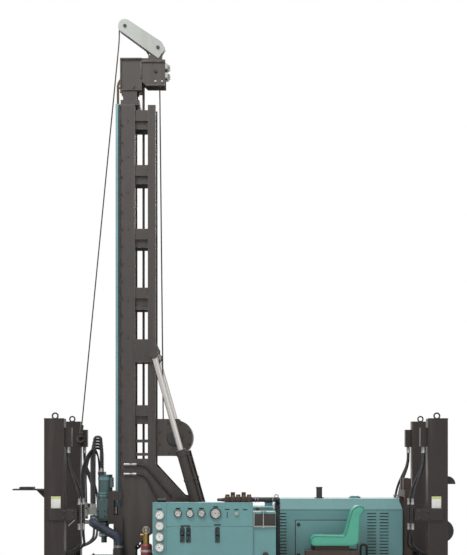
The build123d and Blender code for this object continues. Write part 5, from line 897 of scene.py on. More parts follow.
def repeat_tree():
    """Geometry nodes that set one kernel mesh on every point of a mesh."""
    tree = bpy.data.node_groups.new("repeat_kernel", "GeometryNodeTree")
    tree.interface.new_socket("Geometry", in_out="INPUT", socket_type="NodeSocketGeometry")
    tree.interface.new_socket("Kernel", in_out="INPUT", socket_type="NodeSocketObject")
    tree.interface.new_socket("Finish", in_out="INPUT", socket_type="NodeSocketMaterial")
    tree.interface.new_socket("Geometry", in_out="OUTPUT", socket_type="NodeSocketGeometry")
    start = tree.nodes.new("NodeGroupInput")
    end = tree.nodes.new("NodeGroupOutput")
    cloud = tree.nodes.new("GeometryNodeMeshToPoints")
    kernel = tree.nodes.new("GeometryNodeObjectInfo")
    turn = tree.nodes.new("GeometryNodeInputNamedAttribute")
    turn.data_type = "QUATERNION"
    turn.inputs["Name"].default_value = "turn"
    scale = tree.nodes.new("GeometryNodeInputNamedAttribute")
    scale.data_type = "FLOAT_VECTOR"
    scale.inputs["Name"].default_value = "stretch"
    copies = tree.nodes.new("GeometryNodeInstanceOnPoints")
    real = tree.nodes.new("GeometryNodeRealizeInstances")
    finish = tree.nodes.new("GeometryNodeSetMaterial")
    link = tree.links.new
    link(start.outputs["Geometry"], cloud.inputs["Mesh"])
    link(cloud.outputs[0], copies.inputs["Points"])
    link(start.outputs["Kernel"], kernel.inputs["Object"])
    link(kernel.outputs["Geometry"], copies.inputs["Instance"])
    link(turn.outputs["Attribute"], copies.inputs["Rotation"])
    link(scale.outputs["Attribute"], copies.inputs["Scale"])
    link(copies.outputs[0], real.inputs[0])
    link(real.outputs[0], finish.inputs["Geometry"])
    link(start.outputs["Finish"], finish.inputs["Material"])
    link(finish.outputs[0], end.inputs["Geometry"])
    return tree


REPEAT = repeat_tree()


def repeated(name, kernel, places, material, body):
    """Copies of a kernel mesh at each matrix of places, as one plain mesh on a body."""
    points = bpy.data.meshes.new(name + "_points")
    points.from_pydata([place.to_translation() for place in places], [], [])
    points.attributes.new("turn", "QUATERNION", "POINT")
    points.attributes.new("stretch", "FLOAT_VECTOR", "POINT")
    turns = [value for place in places for value in place.to_quaternion()]
    scales = [value for place in places for value in place.to_scale()]
    points.attributes["turn"].data.foreach_set("value", turns)
    points.attributes["stretch"].data.foreach_set("vector", scales)
    holder = linked(name + "_holder", points)
    pattern = linked(name + "_kernel", kernel)
    modifier = holder.modifiers.new("repeat", "NODES")
    modifier.node_group = REPEAT
    inputs = [item for item in REPEAT.interface.items_tree if item.in_out == "INPUT"]
    sockets = {item.name: item.identifier for item in inputs}
    modifier[sockets["Kernel"]] = pattern
    modifier[sockets["Finish"]] = material
    mesh = result_of(holder)
    mesh.name = name
    for item in (holder, pattern):
        bpy.data.objects.remove(item)
    return show(name, mesh, material, body)


def loop_places(first, last, radius, count, start=0.0):
    """Places round a belt over two equal wheels in the XZ plane: X along the run, Z outwards."""
    ahead = (last - first).normalized()
    outward = Vector((-ahead.z, 0.0, ahead.x))
    span = (last - first).length
    arc = math.pi * radius
    places = []
    for index in range(count):
        run = (index + start) / count * 2 * (span + arc)
        if run < span:
            centre, angle = first + ahead * run, 0.0
        elif run < span + arc:
            centre, angle = last, (run - span) / radius
        elif run < 2 * span + arc:
            centre, angle = last - ahead * (run - span - arc), math.pi
        else:
            centre, angle = first, math.pi + (run - 2 * span - arc) / radius
        normal = outward * math.cos(angle) + ahead * math.sin(angle)
        tangent = ahead * math.cos(angle) - outward * math.sin(angle)
        places.append(placed(centre + normal * radius, tangent, normal))
    return places


def stadium(length, radius, sides=8):
    """Outline of a link plate: two round ends at half a length from the middle."""
    outline = []
    for side in SIDES:
        for index in range(sides + 1):
            angle = math.pi * index / sides + (QUARTER if side < 0 else -QUARTER)
            outline.append((side * length / 2 + radius * math.cos(angle), radius * math.sin(angle)))
    return outline


HEX_WASHER_SHARES = ((0.66, 0.0), (0.66, 0.08), (0.62, 0.12), (0.3, 0.12))
HEX_HEAD_SHARES = ((0.56, 0.10), (0.56, 0.52), (0.46, 0.60), (TIP, 0.60))
SOCKET_HEAD_SHARES = ((0.5, 0.0), (0.5, 0.42), (0.46, 0.48), (0.27, 0.48), (0.25, 0.20), (TIP, 0.20))
WELD_BEAD_SHARES = ((1.0, -0.3), (0.92, 0.30), (0.55, 0.70), (TIP, 0.85))
WELD_BEAD_R = 0.0045
WELD_BEAD_PITCH = 0.0062


def hex_bolt():
    """A hexagon head on its washer, one unit across the flats, standing on Z = 0."""
    washer = turned_mesh("washer", HEX_WASHER_SHARES, 24)
    head = turned_mesh("head", HEX_HEAD_SHARES, 6)
    return joined_mesh("hex_bolt", ((washer, Matrix()), (head, Matrix())))


BOLT = hex_bolt()
SCREW = turned_mesh("socket_screw", SOCKET_HEAD_SHARES, 18)


def bolts(name, spots, direction, across, body, material, kernel=BOLT):
    """Bolt heads at spots that look along a direction, given across the flats."""
    repeated(name, kernel, [facing(spot, direction, across) for spot in spots], material, body)


def bolts_both_sides(name, near_spots, across, body, material):
    """Bolt heads on the near side, and at the same spots on the far side."""
    far_spots = [Vector((spot.x, -spot.y, spot.z)) for spot in near_spots]
    bolts(name + "_near", near_spots, NEAR, across, body, material)
    bolts(name + "_far", far_spots, FAR, across, body, material)


def weld(name, runs, body, material):
    """Rippled weld beads along straight runs, each given by its ends and the way it looks."""
    bead = turned_mesh("weld_bead", WELD_BEAD_SHARES, 8)
    places = []
    for start, end, outward in runs:
        first, last = at(*start), at(*end)
        count = max(2, round((last - first).length / WELD_BEAD_PITCH))
        for index in range(count):
            places.append(facing(first.lerp(last, (index + 0.5) / count), outward, WELD_BEAD_R))
    repeated(name, bead, places, material, body)


# Tracks

TRACK_R = 0.242
TRACK_MID_R = 0.223
SHOE_COUNT = 46
SHOE_WIDE = 0.300
SHOE_LONG_SHARE = 0.93
SHOE_THICK = 0.011
SHOE_BAR_SIZE = (0.015, SHOE_WIDE, 0.024)
SHOE_LOW_BAR_SIZE = (0.013, SHOE_WIDE, 0.011)
SHOE_BAR_SHARE = -0.30
SHOE_LOW_BAR_SHARES = (0.05, 0.34)
SHOE_BAR_LIFT = 0.011
SHOE_LOW_BAR_LIFT = 0.004
LINK_R = 0.017
LINK_THICK = 0.020
LINK_Y = 0.066
LINK_DROP = -0.002
SHOE_PIN = ((0.011, -0.088), (0.012, -0.085), (0.012, 0.085), (0.011, 0.088))
SHOE_BOLT_SHARES = (-0.11, 0.20)
SHOE_BOLT = 0.017
FIRST_SHOE_SHARE = 0.25


def track_shoe(pitch):
    """One shoe plate with its bars and bolts, on a pair of links with their pin."""
    skin = TRACK_R - TRACK_MID_R
    plate = box_mesh("shoe_plate", (pitch * SHOE_LONG_SHARE, SHOE_WIDE, SHOE_THICK), 0.003)
    bar = box_mesh("shoe_bar", SHOE_BAR_SIZE, 0.004)
    low_bar = box_mesh("shoe_low_bar", SHOE_LOW_BAR_SIZE, 0.003)
    link = plate_mesh("shoe_link", stadium(pitch, LINK_R), LINK_THICK, 0.002)
    pin = turned_mesh("shoe_pin", SHOE_PIN, 14)
    parts = [
        (plate, Matrix.Translation((0, 0, skin - SHOE_THICK / 2))),
        (bar, Matrix.Translation((pitch * SHOE_BAR_SHARE, 0, skin + SHOE_BAR_LIFT))),
        (pin, Matrix.Translation((pitch / 2, 0, LINK_DROP)) @ Matrix.Rotation(QUARTER, 4, "X")),
    ]
    for share in SHOE_LOW_BAR_SHARES:
        parts.append((low_bar, Matrix.Translation((pitch * share, 0, skin + SHOE_LOW_BAR_LIFT))))
    for side in SIDES:
        parts.append((link, Matrix.Translation((0, side * LINK_Y, LINK_DROP))))
        for share in SHOE_BOLT_SHARES:
            spot = Matrix.Translation((pitch * share, side * LINK_Y, skin))
            parts.append((BOLT, spot @ Matrix.Scale(SHOE_BOLT, 4)))
    return joined_mesh("track_shoe", parts)


def track_shoes():
    """Both tracks, shoe by shoe over the idler and the sprocket."""
    shoe = track_shoe(2 * (SPROCKET_X - IDLER_X + math.pi * TRACK_MID_R) / SHOE_COUNT)
    for side, node in ((-1, "track_near"), (1, "track_far")):
        first = Vector((IDLER_X, side * TRACK_MID_Y, WHEEL_Z))
        last = Vector((SPROCKET_X, side * TRACK_MID_Y, WHEEL_Z))
        places = loop_places(first, last, TRACK_MID_R, SHOE_COUNT, FIRST_SHOE_SHARE)
        belt = repeated(node + "_shoes", shoe, places, TRACK_STEEL, "chassis")
        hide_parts(node)


# Feed chain

CHAIN_X = -1.217 + SHIFT
CHAIN_TOP_Z = 5.668
CHAIN_LOW_Z = 0.930
CHAIN_R = 0.135
CHAIN_PITCH = 0.038
CHAIN_PLATE_R = 0.0125
OUTER_PLATE_THICK = 0.0032
INNER_PLATE_THICK = 0.0030
OUTER_PLATE_Y = 0.0078
INNER_PLATE_Y = 0.0045
CHAIN_PIN = ((0.0050, -0.0100), (0.0050, 0.0100))
CHAIN_ROLLER = ((0.0098, -0.0030), (0.0098, 0.0030))


def chain_link(name, pitch, plate, plate_y, barrel):
    """Two plates and two pins or rollers of one link."""
    across = Matrix.Rotation(QUARTER, 4, "X")
    parts = [(plate, Matrix.Translation((0, side * plate_y, 0))) for side in SIDES]
    parts += [(barrel, Matrix.Translation((side * pitch / 2, 0, 0)) @ across) for side in SIDES]
    return joined_mesh(name, parts)


def feed_chain():
    """The head's feed chain, link by link over both wheels."""
    first = Vector((CHAIN_X, 0, CHAIN_LOW_Z))
    last = Vector((CHAIN_X, 0, CHAIN_TOP_Z))
    total = 2 * ((last - first).length + math.pi * CHAIN_R)
    count = 2 * round(total / CHAIN_PITCH / 2)
    pitch = total / count
    outline = stadium(pitch, CHAIN_PLATE_R, 6)
    outer_plate = plate_mesh("outer_plate", outline, OUTER_PLATE_THICK, 0)
    inner_plate = plate_mesh("inner_plate", outline, INNER_PLATE_THICK, 0)
    pin = turned_mesh("chain_pin", CHAIN_PIN, 10)
    roller = turned_mesh("chain_roller", CHAIN_ROLLER, 12)
    outer = chain_link("outer_link", pitch, outer_plate, OUTER_PLATE_Y, pin)
    inner = chain_link("inner_link", pitch, inner_plate, INNER_PLATE_Y, roller)
    places = loop_places(first, last, CHAIN_R, count, 0.5)
    for name, link, spots in (
        ("chain_outer_links", outer, places[0::2]),
        ("chain_inner_links", inner, places[1::2]),
    ):
        links = repeated(name, link, spots, CHAIN_STEEL, "mast")
        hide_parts("feed_chain")


# Seat

SEAT_OUTLINE_SHARES = (
    # along X and up Z, from the front lower corner back over the cushion and the backrest
    (0.035, 0.010),
    (0.000, 0.120),
    (0.060, 0.245),
    (0.640, 0.225),
    (0.775, 0.900),
    (0.860, 0.995),
    (0.975, 0.980),
    (0.990, 0.880),
    (0.915, 0.760),
    (0.885, 0.080),
    (0.800, 0.010),
)
SEAT_FOLD_SHARES = ((0.640, 0.225), (0.800, 0.930))
SEAT_ROUND = 0.045
SEAT_SIDE_IN = 0.006
SEAT_VOXEL = 0.006
SEAT_PRESSURE = 4.0
SEAT_STIFFNESS = 12.0
SEAT_FRAMES = 19
SEAT_MAX_MOVE = 0.014
SEAT_RELAX_ROUNDS = 3
SEAM_STEP = 0.004
SEAM_REACH = 0.007
PIPING_R = 0.0052


def seat_outline():
    """The seat's side outline as (x, z) points with rounded corners."""
    low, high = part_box("seat_cushion")
    corners = []
    for x_share, z_share in SEAT_OUTLINE_SHARES:
        x = low[0] + (high[0] - low[0]) * x_share
        z = low[2] + (high[2] - low[2]) * z_share
        corners.append(Vector((x, 0.0, z)))
    middle = (corners[0] + corners[-1]) / 2
    path = rounded_path([middle] + corners + [middle], SEAT_ROUND)
    return [(point.x, point.z) for point in path[:-1]]


def seam_points(start, end):
    """Points along a seam, without its last one."""
    count = max(1, round((end - start).length / SEAM_STEP))
    return [start.lerp(end, index / count) for index in range(count)]


def seam_vertices(mesh, seams):
    """The vertices of a mesh that lie on a seam."""
    tree = KDTree(len(seams))
    for index, point in enumerate(seams):
        tree.insert(point, index)
    tree.balance()
    return [vert.index for vert in mesh.vertices if tree.find(vert.co)[2] < SEAM_REACH]


def even_mesh(cushion):
    """The cushion's mesh remade with even faces."""
    remesh = cushion.modifiers.new("even", "REMESH")
    remesh.mode = "VOXEL"
    remesh.voxel_size = SEAT_VOXEL
    mesh = result_of(cushion)
    cushion.modifiers.clear()
    return mesh


def blown_up_mesh(cushion, held):
    """The cushion's cloth blown up by its filling, with the held vertices left in place."""
    start = [vert.co.copy() for vert in cushion.data.vertices]
    group = cushion.vertex_groups.new(name="seams")
    group.add(held, 1.0, "REPLACE")
    settings = cushion.modifiers.new("cloth", "CLOTH").settings
    settings.vertex_group_mass = "seams"
    settings.use_pressure = True
    settings.uniform_pressure_force = SEAT_PRESSURE
    settings.effector_weights.gravity = 0.0
    settings.tension_stiffness = SEAT_STIFFNESS
    settings.compression_stiffness = SEAT_STIFFNESS
    settings.quality = 4
    for number in range(1, SEAT_FRAMES):
        bpy.context.scene.frame_set(number)
    mesh = result_of(cushion)
    cushion.modifiers.clear()
    bpy.context.scene.frame_set(1)
    for vert, origin in zip(mesh.vertices, start):
        move = vert.co - origin
        if move.length > SEAT_MAX_MOVE:
            vert.co = origin + move.normalized() * SEAT_MAX_MOVE
    return mesh


def relax(mesh):
    """Smooths the small unevenness that the cloth leaves."""
    shape = bmesh.new()
    shape.from_mesh(mesh)
    for _ in range(SEAT_RELAX_ROUNDS):
        bmesh.ops.smooth_vert(
            shape, verts=shape.verts, factor=0.5, use_axis_x=True, use_axis_y=True, use_axis_z=True,
        )
    bmesh.ops.recalc_face_normals(shape, faces=shape.faces)
    shape.to_mesh(mesh)
    shape.free()
    mesh.shade_smooth()


def stuffed(form, seams):
    """Cloth over filling, blown up a little between seams that stay where they are."""
    cushion = linked("seat_cloth", form)
    cushion.data = even_mesh(cushion)
    cushion.data = blown_up_mesh(cushion, seam_vertices(cushion.data, seams))
    mesh = cushion.data
    relax(mesh)
    bpy.data.objects.remove(cushion)
    return mesh


def seat():
    """The padded seat, sewn along its two side outlines and at its folds, with piping."""
    low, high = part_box("seat_cushion")
    outline = seat_outline()
    near, far = low[1] + SEAT_SIDE_IN, high[1] - SEAT_SIDE_IN
    form = plate_mesh("seat_form", outline, far - near, 0)
    form.transform(Matrix.Translation((0.0, (near + far) / 2, 0.0)))
    seams, piping = [], []
    for y in (near, far):
        line = [Vector((x, y, z)) for x, z in outline]
        for start, end in zip(line, line[1:] + line[:1]):
            seams += seam_points(start, end)
        piping.append((tube_mesh("piping", line, PIPING_R, 8, True), Matrix()))
    for x_share, z_share in SEAT_FOLD_SHARES:
        fold_x = low[0] + (high[0] - low[0]) * x_share
        fold_z = low[2] + (high[2] - low[2]) * z_share
        x, z = min(outline, key=lambda point: math.hypot(point[0] - fold_x, point[1] - fold_z))
        seams += seam_points(Vector((x, near, z)), Vector((x, far, z)))
    pad = show("seat_pad", stuffed(form, seams), VINYL, "chassis")
    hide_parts("seat_cushion")
    cord = show_parts("seat_piping", piping, VINYL_DARK, "chassis")


# Control box

DIAL_OUT = 16
STRIP_X = -866
STRIP_DIAL_R = 0.044
STRIP_DIALS = (
    # height of each dial in the strip, and its needle's turn in degrees
    (1200, 200), (1090, 150), (980, 96), (875, 210),
)
ROW_Z = 1215
ROW_DIALS = (
    # place along X of each dial in the top row, its radius in metres and its needle's turn
    (-681, 0.037, 220), (-561, 0.037, 190), (-446, 0.037, 160), (-305, 0.053, 130),
)
# Radius and height pairs of a dial's pieces, as shares of the dial's radius
DIAL_RIM_SHARES = (
    (0.88, -0.02), (1.05, -0.24), (1.07, -0.10), (1.07, 0.05),
    (1.02, 0.11), (0.93, 0.11), (0.88, 0.06), (0.88, -0.02),
)
DIAL_FACE_SHARES = ((0.90, 0.002), (0.90, 0.013), (TIP, 0.013))
DIAL_GLASS_SHARES = ((0.89, 0.058), (0.89, 0.072), (TIP, 0.080))
NEEDLE_SHARES = ((-0.22, -0.03), (0.70, -0.008), (0.70, 0.008), (-0.22, 0.03))
NEEDLE_THICK_SHARE = 0.012
NEEDLE_LIFT_SHARE = 0.030
NEEDLE_HUB_SHARES = ((0.09, 0.013), (0.09, 0.045), (0.05, 0.055), (TIP, 0.055))
SCALE_START = 225
SCALE_SWEEP = 270
SCALE_STEPS = 50
LONG_MARK_EVERY = 5
LONG_MARK_SHARES = (0.12, 0.024, 0.006)
SHORT_MARK_SHARES = (0.06, 0.014, 0.006)
MARK_OUTER_SHARE = 0.84
MARK_LIFT_SHARE = 0.016
NUMBER_STEPS = 5
NUMBER_HIGH_SHARE = 0.22
NUMBER_THICK_SHARE = 0.004
NUMBER_RING_SHARE = 0.58
NUMBER_LIFT_SHARE = 0.02


def dial_numbers():
    """Numbers 0 to 10 round a dial's scale."""
    parts = []
    for index in range(NUMBER_STEPS + 1):
        text = bpy.data.curves.new("dial_number", "FONT")
        text.body = str(index * 2)
        text.size = NUMBER_HIGH_SHARE
        text.align_x = "CENTER"
        text.align_y = "CENTER"
        text.extrude = NUMBER_THICK_SHARE
        text.resolution_u = 3
        angle = math.radians(SCALE_START - SCALE_SWEEP / NUMBER_STEPS * index)
        across, up = NUMBER_RING_SHARE * math.cos(angle), NUMBER_RING_SHARE * math.sin(angle)
        parts.append((drawn_mesh("dial_number", text), Matrix.Translation((across, up, NUMBER_LIFT_SHARE))))
    return joined_mesh("dial_numbers", parts)


def dial_marks():
    """Scale lines of a dial, long at every fifth."""
    parts = []
    for index in range(SCALE_STEPS + 1):
        shares = SHORT_MARK_SHARES if index % LONG_MARK_EVERY else LONG_MARK_SHARES
        turn = Matrix.Rotation(math.radians(SCALE_START - SCALE_SWEEP / SCALE_STEPS * index), 4, "Z")
        spot = Matrix.Translation((MARK_OUTER_SHARE - shares[0] / 2, 0, MARK_LIFT_SHARE))
        parts.append((box_mesh("mark", shares, 0), turn @ spot))
    return joined_mesh("dial_marks", parts)


def dial_needle():
    """A dial's needle on its hub."""
    needle = plate_mesh("needle", NEEDLE_SHARES, NEEDLE_THICK_SHARE, 0)
    hub = turned_mesh("hub", NEEDLE_HUB_SHARES, 16)
    laid = Matrix.Translation((0, 0, NEEDLE_LIFT_SHARE)) @ Matrix.Rotation(QUARTER, 4, "X")
    return joined_mesh("gauge_needle", ((needle, laid), (hub, Matrix())))


def gauges():
    """Rims, faces, scales, needles and glasses of all the gauges."""
    rim = turned_mesh("gauge_rim", DIAL_RIM_SHARES, 40)
    face = turned_mesh("gauge_face", DIAL_FACE_SHARES, 40)
    glass = turned_mesh("gauge_glass", DIAL_GLASS_SHARES, 40)
    marks = dial_marks()
    numbers = dial_numbers()
    needle = dial_needle()
    strip = [(STRIP_X, z, STRIP_DIAL_R, turn) for z, turn in STRIP_DIALS]
    row = [(x, ROW_Z, radius, turn) for x, radius, turn in ROW_DIALS]
    for name, dials, rim_finish, face_finish in (
        ("strip", strip, ZINC, FACE_WHITE),
        ("top", row, BLACK_METAL, FACE_GREY),
    ):
        places = [placed(at(x, PANEL_Y - DIAL_OUT, z), (1, 0, 0), NEAR, radius) for x, z, radius, _ in dials]
        repeated(name + "_rims", rim, places, rim_finish, "chassis")
        repeated(name + "_faces", face, places, face_finish, "chassis")
        repeated(name + "_marks", marks, places, FACE_BLACK, "chassis")
        repeated(name + "_numbers", numbers, places, FACE_BLACK, "chassis")
        repeated(name + "_glasses", glass, places, GLASS, "chassis")
        turns = [Matrix.Rotation(math.radians(dial[-1]), 4, "Z") for dial in dials]
        turned = [place @ turn for place, turn in zip(places, turns)]
        repeated(name + "_needles", needle, turned, RED, "chassis")


LABELS = (
    # middle along X, middle's height, width and height
    (-866, 1258, 50, 12), (-681, 1264, 46, 14), (-561, 1264, 46, 14), (-446, 1264, 46, 14),
    (-305, 1281, 46, 14), (-188, 1255, 46, 11), (-96, 1253, 44, 11), (-8, 1253, 44, 11),
    (-607, 1089, 96, 14), (-286, 1100, 66, 14), (-188, 1200, 8, 60),
)
LABEL_THICK = 0.0016
LABEL_OUT = 0.9


def label_plates():
    """Blank label plates on the panel."""
    plate = box_mesh("label_plate", (1.0, LABEL_THICK, 1.0), 0)
    places = []
    for x, z, wide, high in LABELS:
        stretch = Matrix.Diagonal((wide / 1000, 1.0, high / 1000, 1.0))
        places.append(stood(x, PANEL_Y - LABEL_OUT, z) @ stretch)
    repeated("label_plates", plate, places, FACE_BLACK, "chassis")


LEVER_XS = (-637, -577, -286)
SLOT_OUT = 2
SLOT_LOW = 924
SLOT_TOP = 1076
SLOT_HALF = 20
SLOT_ROUND = 0.016
SLOT_RIM_R = 0.004
BOOT = ((0.017, -0.004), (0.016, 0.004), (0.012, 0.010), (0.007, 0.016))
BOOT_OUT = -7
BOOT_Z = 1004
BOOT_WAY = (0, -1, 0.2)


def lever_slots():
    """Rims of the lever slots and the rubber boots of the levers."""
    rims = []
    corners = ((0, SLOT_LOW), (1, SLOT_LOW), (1, SLOT_TOP), (-1, SLOT_TOP), (-1, SLOT_LOW), (0, SLOT_LOW))
    for x in LEVER_XS:
        outline = [at(x + side * SLOT_HALF, PANEL_Y - SLOT_OUT, z) for side, z in corners]
        path = rounded_path(outline, SLOT_ROUND, 5)[:-1]
        rims.append((tube_mesh("slot_rim", path, SLOT_RIM_R, 8, True), Matrix()))
    show_parts("slot_rims", rims, BLACK_METAL, "chassis")
    boot = turned_mesh("lever_boot", BOOT, 20)
    places = [facing(at(x, PANEL_Y - BOOT_OUT, BOOT_Z), BOOT_WAY) for x in LEVER_XS]
    repeated("lever_boots", boot, places, BLACK_METAL, "chassis")


PANEL_SCREW_XS = (-775, -370, 52)
PANEL_SCREW_ZS = (1302, 1096, 1064, 636)
STRIP_SCREW_XS = (-920, -815)
STRIP_SCREW_ZS = (1302, 640)
PANEL_SCREW = 0.011
LEDGE_SIZE = (0.226, 0.020, 0.012)
LEDGE_AT = (187, -893, 1084)
POST_SIZE = (0.010, 0.014, 0.150)
POST_AT = (80, -891, 1158)
OVAL_KNOB = ((0.010, 0.0), (0.010, 0.020), (0.026, 0.024), (0.030, 0.034), (0.024, 0.046), (TIP, 0.050))
OVAL_KNOB_AT = (196, -884, 800)


def panel_trim():
    """Panel screws, and the ledge and oval knob of the control box."""
    spots = [at(x, PANEL_Y, z) for x in PANEL_SCREW_XS for z in PANEL_SCREW_ZS]
    spots += [at(x, PANEL_Y, z) for x in STRIP_SCREW_XS for z in STRIP_SCREW_ZS]
    bolts("panel_screws", spots, NEAR, PANEL_SCREW, "chassis", ZINC, SCREW)
    ledge = box_mesh("ledge", LEDGE_SIZE, 0.002), stood(*LEDGE_AT)
    post = box_mesh("post", POST_SIZE, 0.002), stood(*POST_AT)
    show_parts("bay_ledge", (ledge, post), ZINC, "chassis")
    knob = turned_mesh("oval_knob", OVAL_KNOB, 24)
    show_at("oval_knob", knob, facing(at(*OVAL_KNOB_AT), NEAR), BLACK_METAL, "chassis")


# Valve block and air line bottle

SPOOL_CAP = ((0.017, -0.002), (0.017, 0.030), (0.013, 0.034), (0.013, 0.070), (0.009, 0.076), (TIP, 0.076))
SPOOL_X = -215
SPOOL_YS = (-812, -766, -720, -674)
SPOOL_Z = 1348


def spool_caps():
    """Caps of the spools of the valve block above the control box."""
    cap = turned_mesh("spool_cap", SPOOL_CAP, 20)
    places = [facing(at(SPOOL_X, y, SPOOL_Z), (-1, 0, 0)) for y in SPOOL_YS]
    repeated("spool_caps", cap, places, BROWN, "chassis")


DOWN_HOSE_Y = -740
DOWN_HOSE_Z = 1349
DOWN_HOSE_BAND_XS = (95, 120, 270)
DOWN_HOSE_BAND_R = 0.026
BAND_WIRE = 0.004
WRAP_AT = (322, -530)
WRAP_Z = (624, 1300)
WRAP_R = 0.0262
WRAP_WIRE = 0.0052
WRAP_PITCH = 22


def down_hose():
    """Bands and spiral wrap of the hose that runs from the valve block down beside the hood."""
    band = ring_mesh("hose_band", DOWN_HOSE_BAND_R, BAND_WIRE, 24, 8)
    places = [facing(at(x, DOWN_HOSE_Y, DOWN_HOSE_Z), (1, 0, 0)) for x in DOWN_HOSE_BAND_XS]
    repeated("down_hose_bands", band, places, ZINC, "chassis")
    wrap = coil_mesh("hose_wrap", WRAP_R, WRAP_PITCH / 1000, WRAP_WIRE, 1, 20)
    places = [stood(*WRAP_AT, z) for z in range(*WRAP_Z, WRAP_PITCH)]
    repeated("down_hose_wrap", wrap, places, GUARD_PLASTIC, "chassis")


BOTTLE_AT = (-1008, -720)
BOTTLE_WHEEL_AT = (-1008, -750, 1040)
BOTTLE_WHEEL_R = 0.034
BOTTLE_WHEEL_WIRE = 0.005
SPOKE_SIZE = (0.066, 0.006, 0.004)
SPOKE_TURNS = (0, 60, 120)
WHEEL_HUB = ((0.010, -0.030), (0.010, 0.006), (TIP, 0.008))
BOTTLE_STRAP_RS = (0.0585, 0.0605)
BOTTLE_STRAP_HALF = 0.012
BOTTLE_STRAP_ZS = (690, 830)


def air_bottle():
    """Hand wheel and straps of the bottle beside the control box."""
    spoke = box_mesh("spoke", SPOKE_SIZE, 0.001)
    wheel = [
        (ring_mesh("wheel_rim", BOTTLE_WHEEL_R, BOTTLE_WHEEL_WIRE, 32, 8), Matrix()),
        (turned_mesh("hub", WHEEL_HUB, 16), Matrix()),
    ]
    wheel += [(spoke, Matrix.Rotation(math.radians(turn), 4, "Z")) for turn in SPOKE_TURNS]
    place = facing(at(*BOTTLE_WHEEL_AT), NEAR)
    show_at("bottle_wheel", joined_mesh("wheel", wheel), place, ZINC, "chassis")
    strap = band_mesh("bottle_strap", *BOTTLE_STRAP_RS, BOTTLE_STRAP_HALF, 32)
    repeated("bottle_straps", strap, [stood(*BOTTLE_AT, z) for z in BOTTLE_STRAP_ZS], ZINC, "chassis")


# Hood

HOOD_FRONT_X = 283
HOOD_LONG = 1334
HOOD_MIDDLE_X = HOOD_FRONT_X + HOOD_LONG / 2
HOOD_SIDE_Y = 350
LOUVRE_SET_SHARES = ((0.030, 0.100), (0.727, 0.795), (0.822, 0.890))
LOUVRE_COUNT = 14
LOUVRE_TOP = 1209
LOUVRE_STEP = 32
LOUVRE_LIP = ((0.0, 0.0), (-0.0085, -0.006), (-0.0085, -0.0085), (-0.0065, -0.0085), (0.0, -0.004))
# Black sheets behind the near side's louvres, painted shade inside the hood
SHADE_PLATE_Z = (735, 1216)
SHADE_PLATE_IN = 9
SHADE_PLATE_PAST = 16
SHADE_PLATE_THICK = 0.002


def louvre_sets():
    """The middle along X and the width of each set of louvres."""
    sets = []
    for start, end in LOUVRE_SET_SHARES:
        sets.append((HOOD_FRONT_X + (start + end) / 2 * HOOD_LONG, (end - start) * HOOD_LONG))
    return sets


def louvre_vanes():
    """Pressed hoods over the louvre slots on both sides of the engine hood."""
    vane = plate_mesh("vane", LOUVRE_LIP, 1.0, 0)
    places = []
    for middle, wide in louvre_sets():
        stretch = Matrix.Diagonal((1.0, wide / 1000, 1.0, 1.0))
        for index in range(LOUVRE_COUNT):
            for side in SIDES:
                spot = stood(middle, side * HOOD_SIDE_Y, LOUVRE_TOP - LOUVRE_STEP * index)
                places.append(spot @ Matrix.Rotation(-side * QUARTER, 4, "Z") @ stretch)
    repeated("louvre_vanes", vane, places, TEAL, "chassis")


def louvre_baffles():
    """Black sheets inside the hood behind the louvres of the near side, painted shade in the louvre slots.
    """
    low, high = SHADE_PLATE_Z
    parts = []
    for middle, wide in louvre_sets():
        plate = box_mesh("shade_plate", ((wide + SHADE_PLATE_PAST) / 1000, SHADE_PLATE_THICK, (high - low) / 1000), 0)
        parts.append((plate, stood(middle, SHADE_PLATE_IN - HOOD_SIDE_Y, (low + high) / 2)))
    show_parts("louvre_baffles", parts, FACE_BLACK, "chassis")


HOOD_PANEL_SIZE = (0.632, 0.005, 0.400)
HOOD_PANEL_AT = (829, -352.2, 922)
LATCH = ((0.019, 0.0), (0.019, 0.004), (0.015, 0.007), (0.012, 0.004), (TIP, 0.004))
LATCH_BAR_SIZE = (0.020, 0.005, 0.006)
LATCH_BAR_LIFT = 0.006
LATCH_Y = -355
LATCHES = ((541, 1081), (541, 765))


def hood_panel():
    """The lift-off panel with its two quarter-turn latches."""
    panel = box_mesh("panel", HOOD_PANEL_SIZE, 0.0022, 3)
    show_at("hood_panel", panel, stood(*HOOD_PANEL_AT), TEAL, "chassis")
    disc = turned_mesh("latch", LATCH, 28)
    bar = box_mesh("latch_bar", LATCH_BAR_SIZE, 0.001)
    latch = joined_mesh("latch", ((disc, Matrix()), (bar, Matrix.Translation((0, 0, LATCH_BAR_LIFT)))))
    for x, z in LATCHES:
        show_at(f"hood_latch_{x}_{z}", latch, facing(at(x, LATCH_Y, z), NEAR), BLACK_METAL, "chassis")


BEAD_THICK = 0.006
BEAD_Y = HOOD_SIDE_Y + 1
BEADS = ((1236, 0.008), (722, 0.020))
HOOD_SCREW_FIRST = HOOD_FRONT_X + 60
HOOD_SCREW_STEP = 135
HOOD_SCREW_COUNT = 10
HOOD_SCREW_Y = HOOD_SIDE_Y + 4
HOOD_SCREW_Z = 722
HOOD_SCREW = 0.012
DOOR_SCREWS = (3, 4, 5, 6)
EXHAUST_AT = (770, 0)
COLLAR_RING = ((0.031, 0.0), (0.052, 0.0), (0.052, 0.006), (0.031, 0.010), (0.031, 0.0))
COLLAR_Z = 1345
EXHAUST_LIP = ((0.0312, -0.010), (0.0345, -0.010), (0.0345, 0.0), (0.0312, 0.002), (0.0312, -0.010))
EXHAUST_LIP_Z = 1460
GRIP_ROUTE = (
    # the side grip's corners, from the hood out, up, over and back
    (1182, -356, 620), (1182, -400, 640), (1182, -400, 874),
    (1245, -400, 874), (1245, -400, 640), (1245, -356, 620),
)
GRIP_ROUND = 0.028
GRIP_R = 0.011


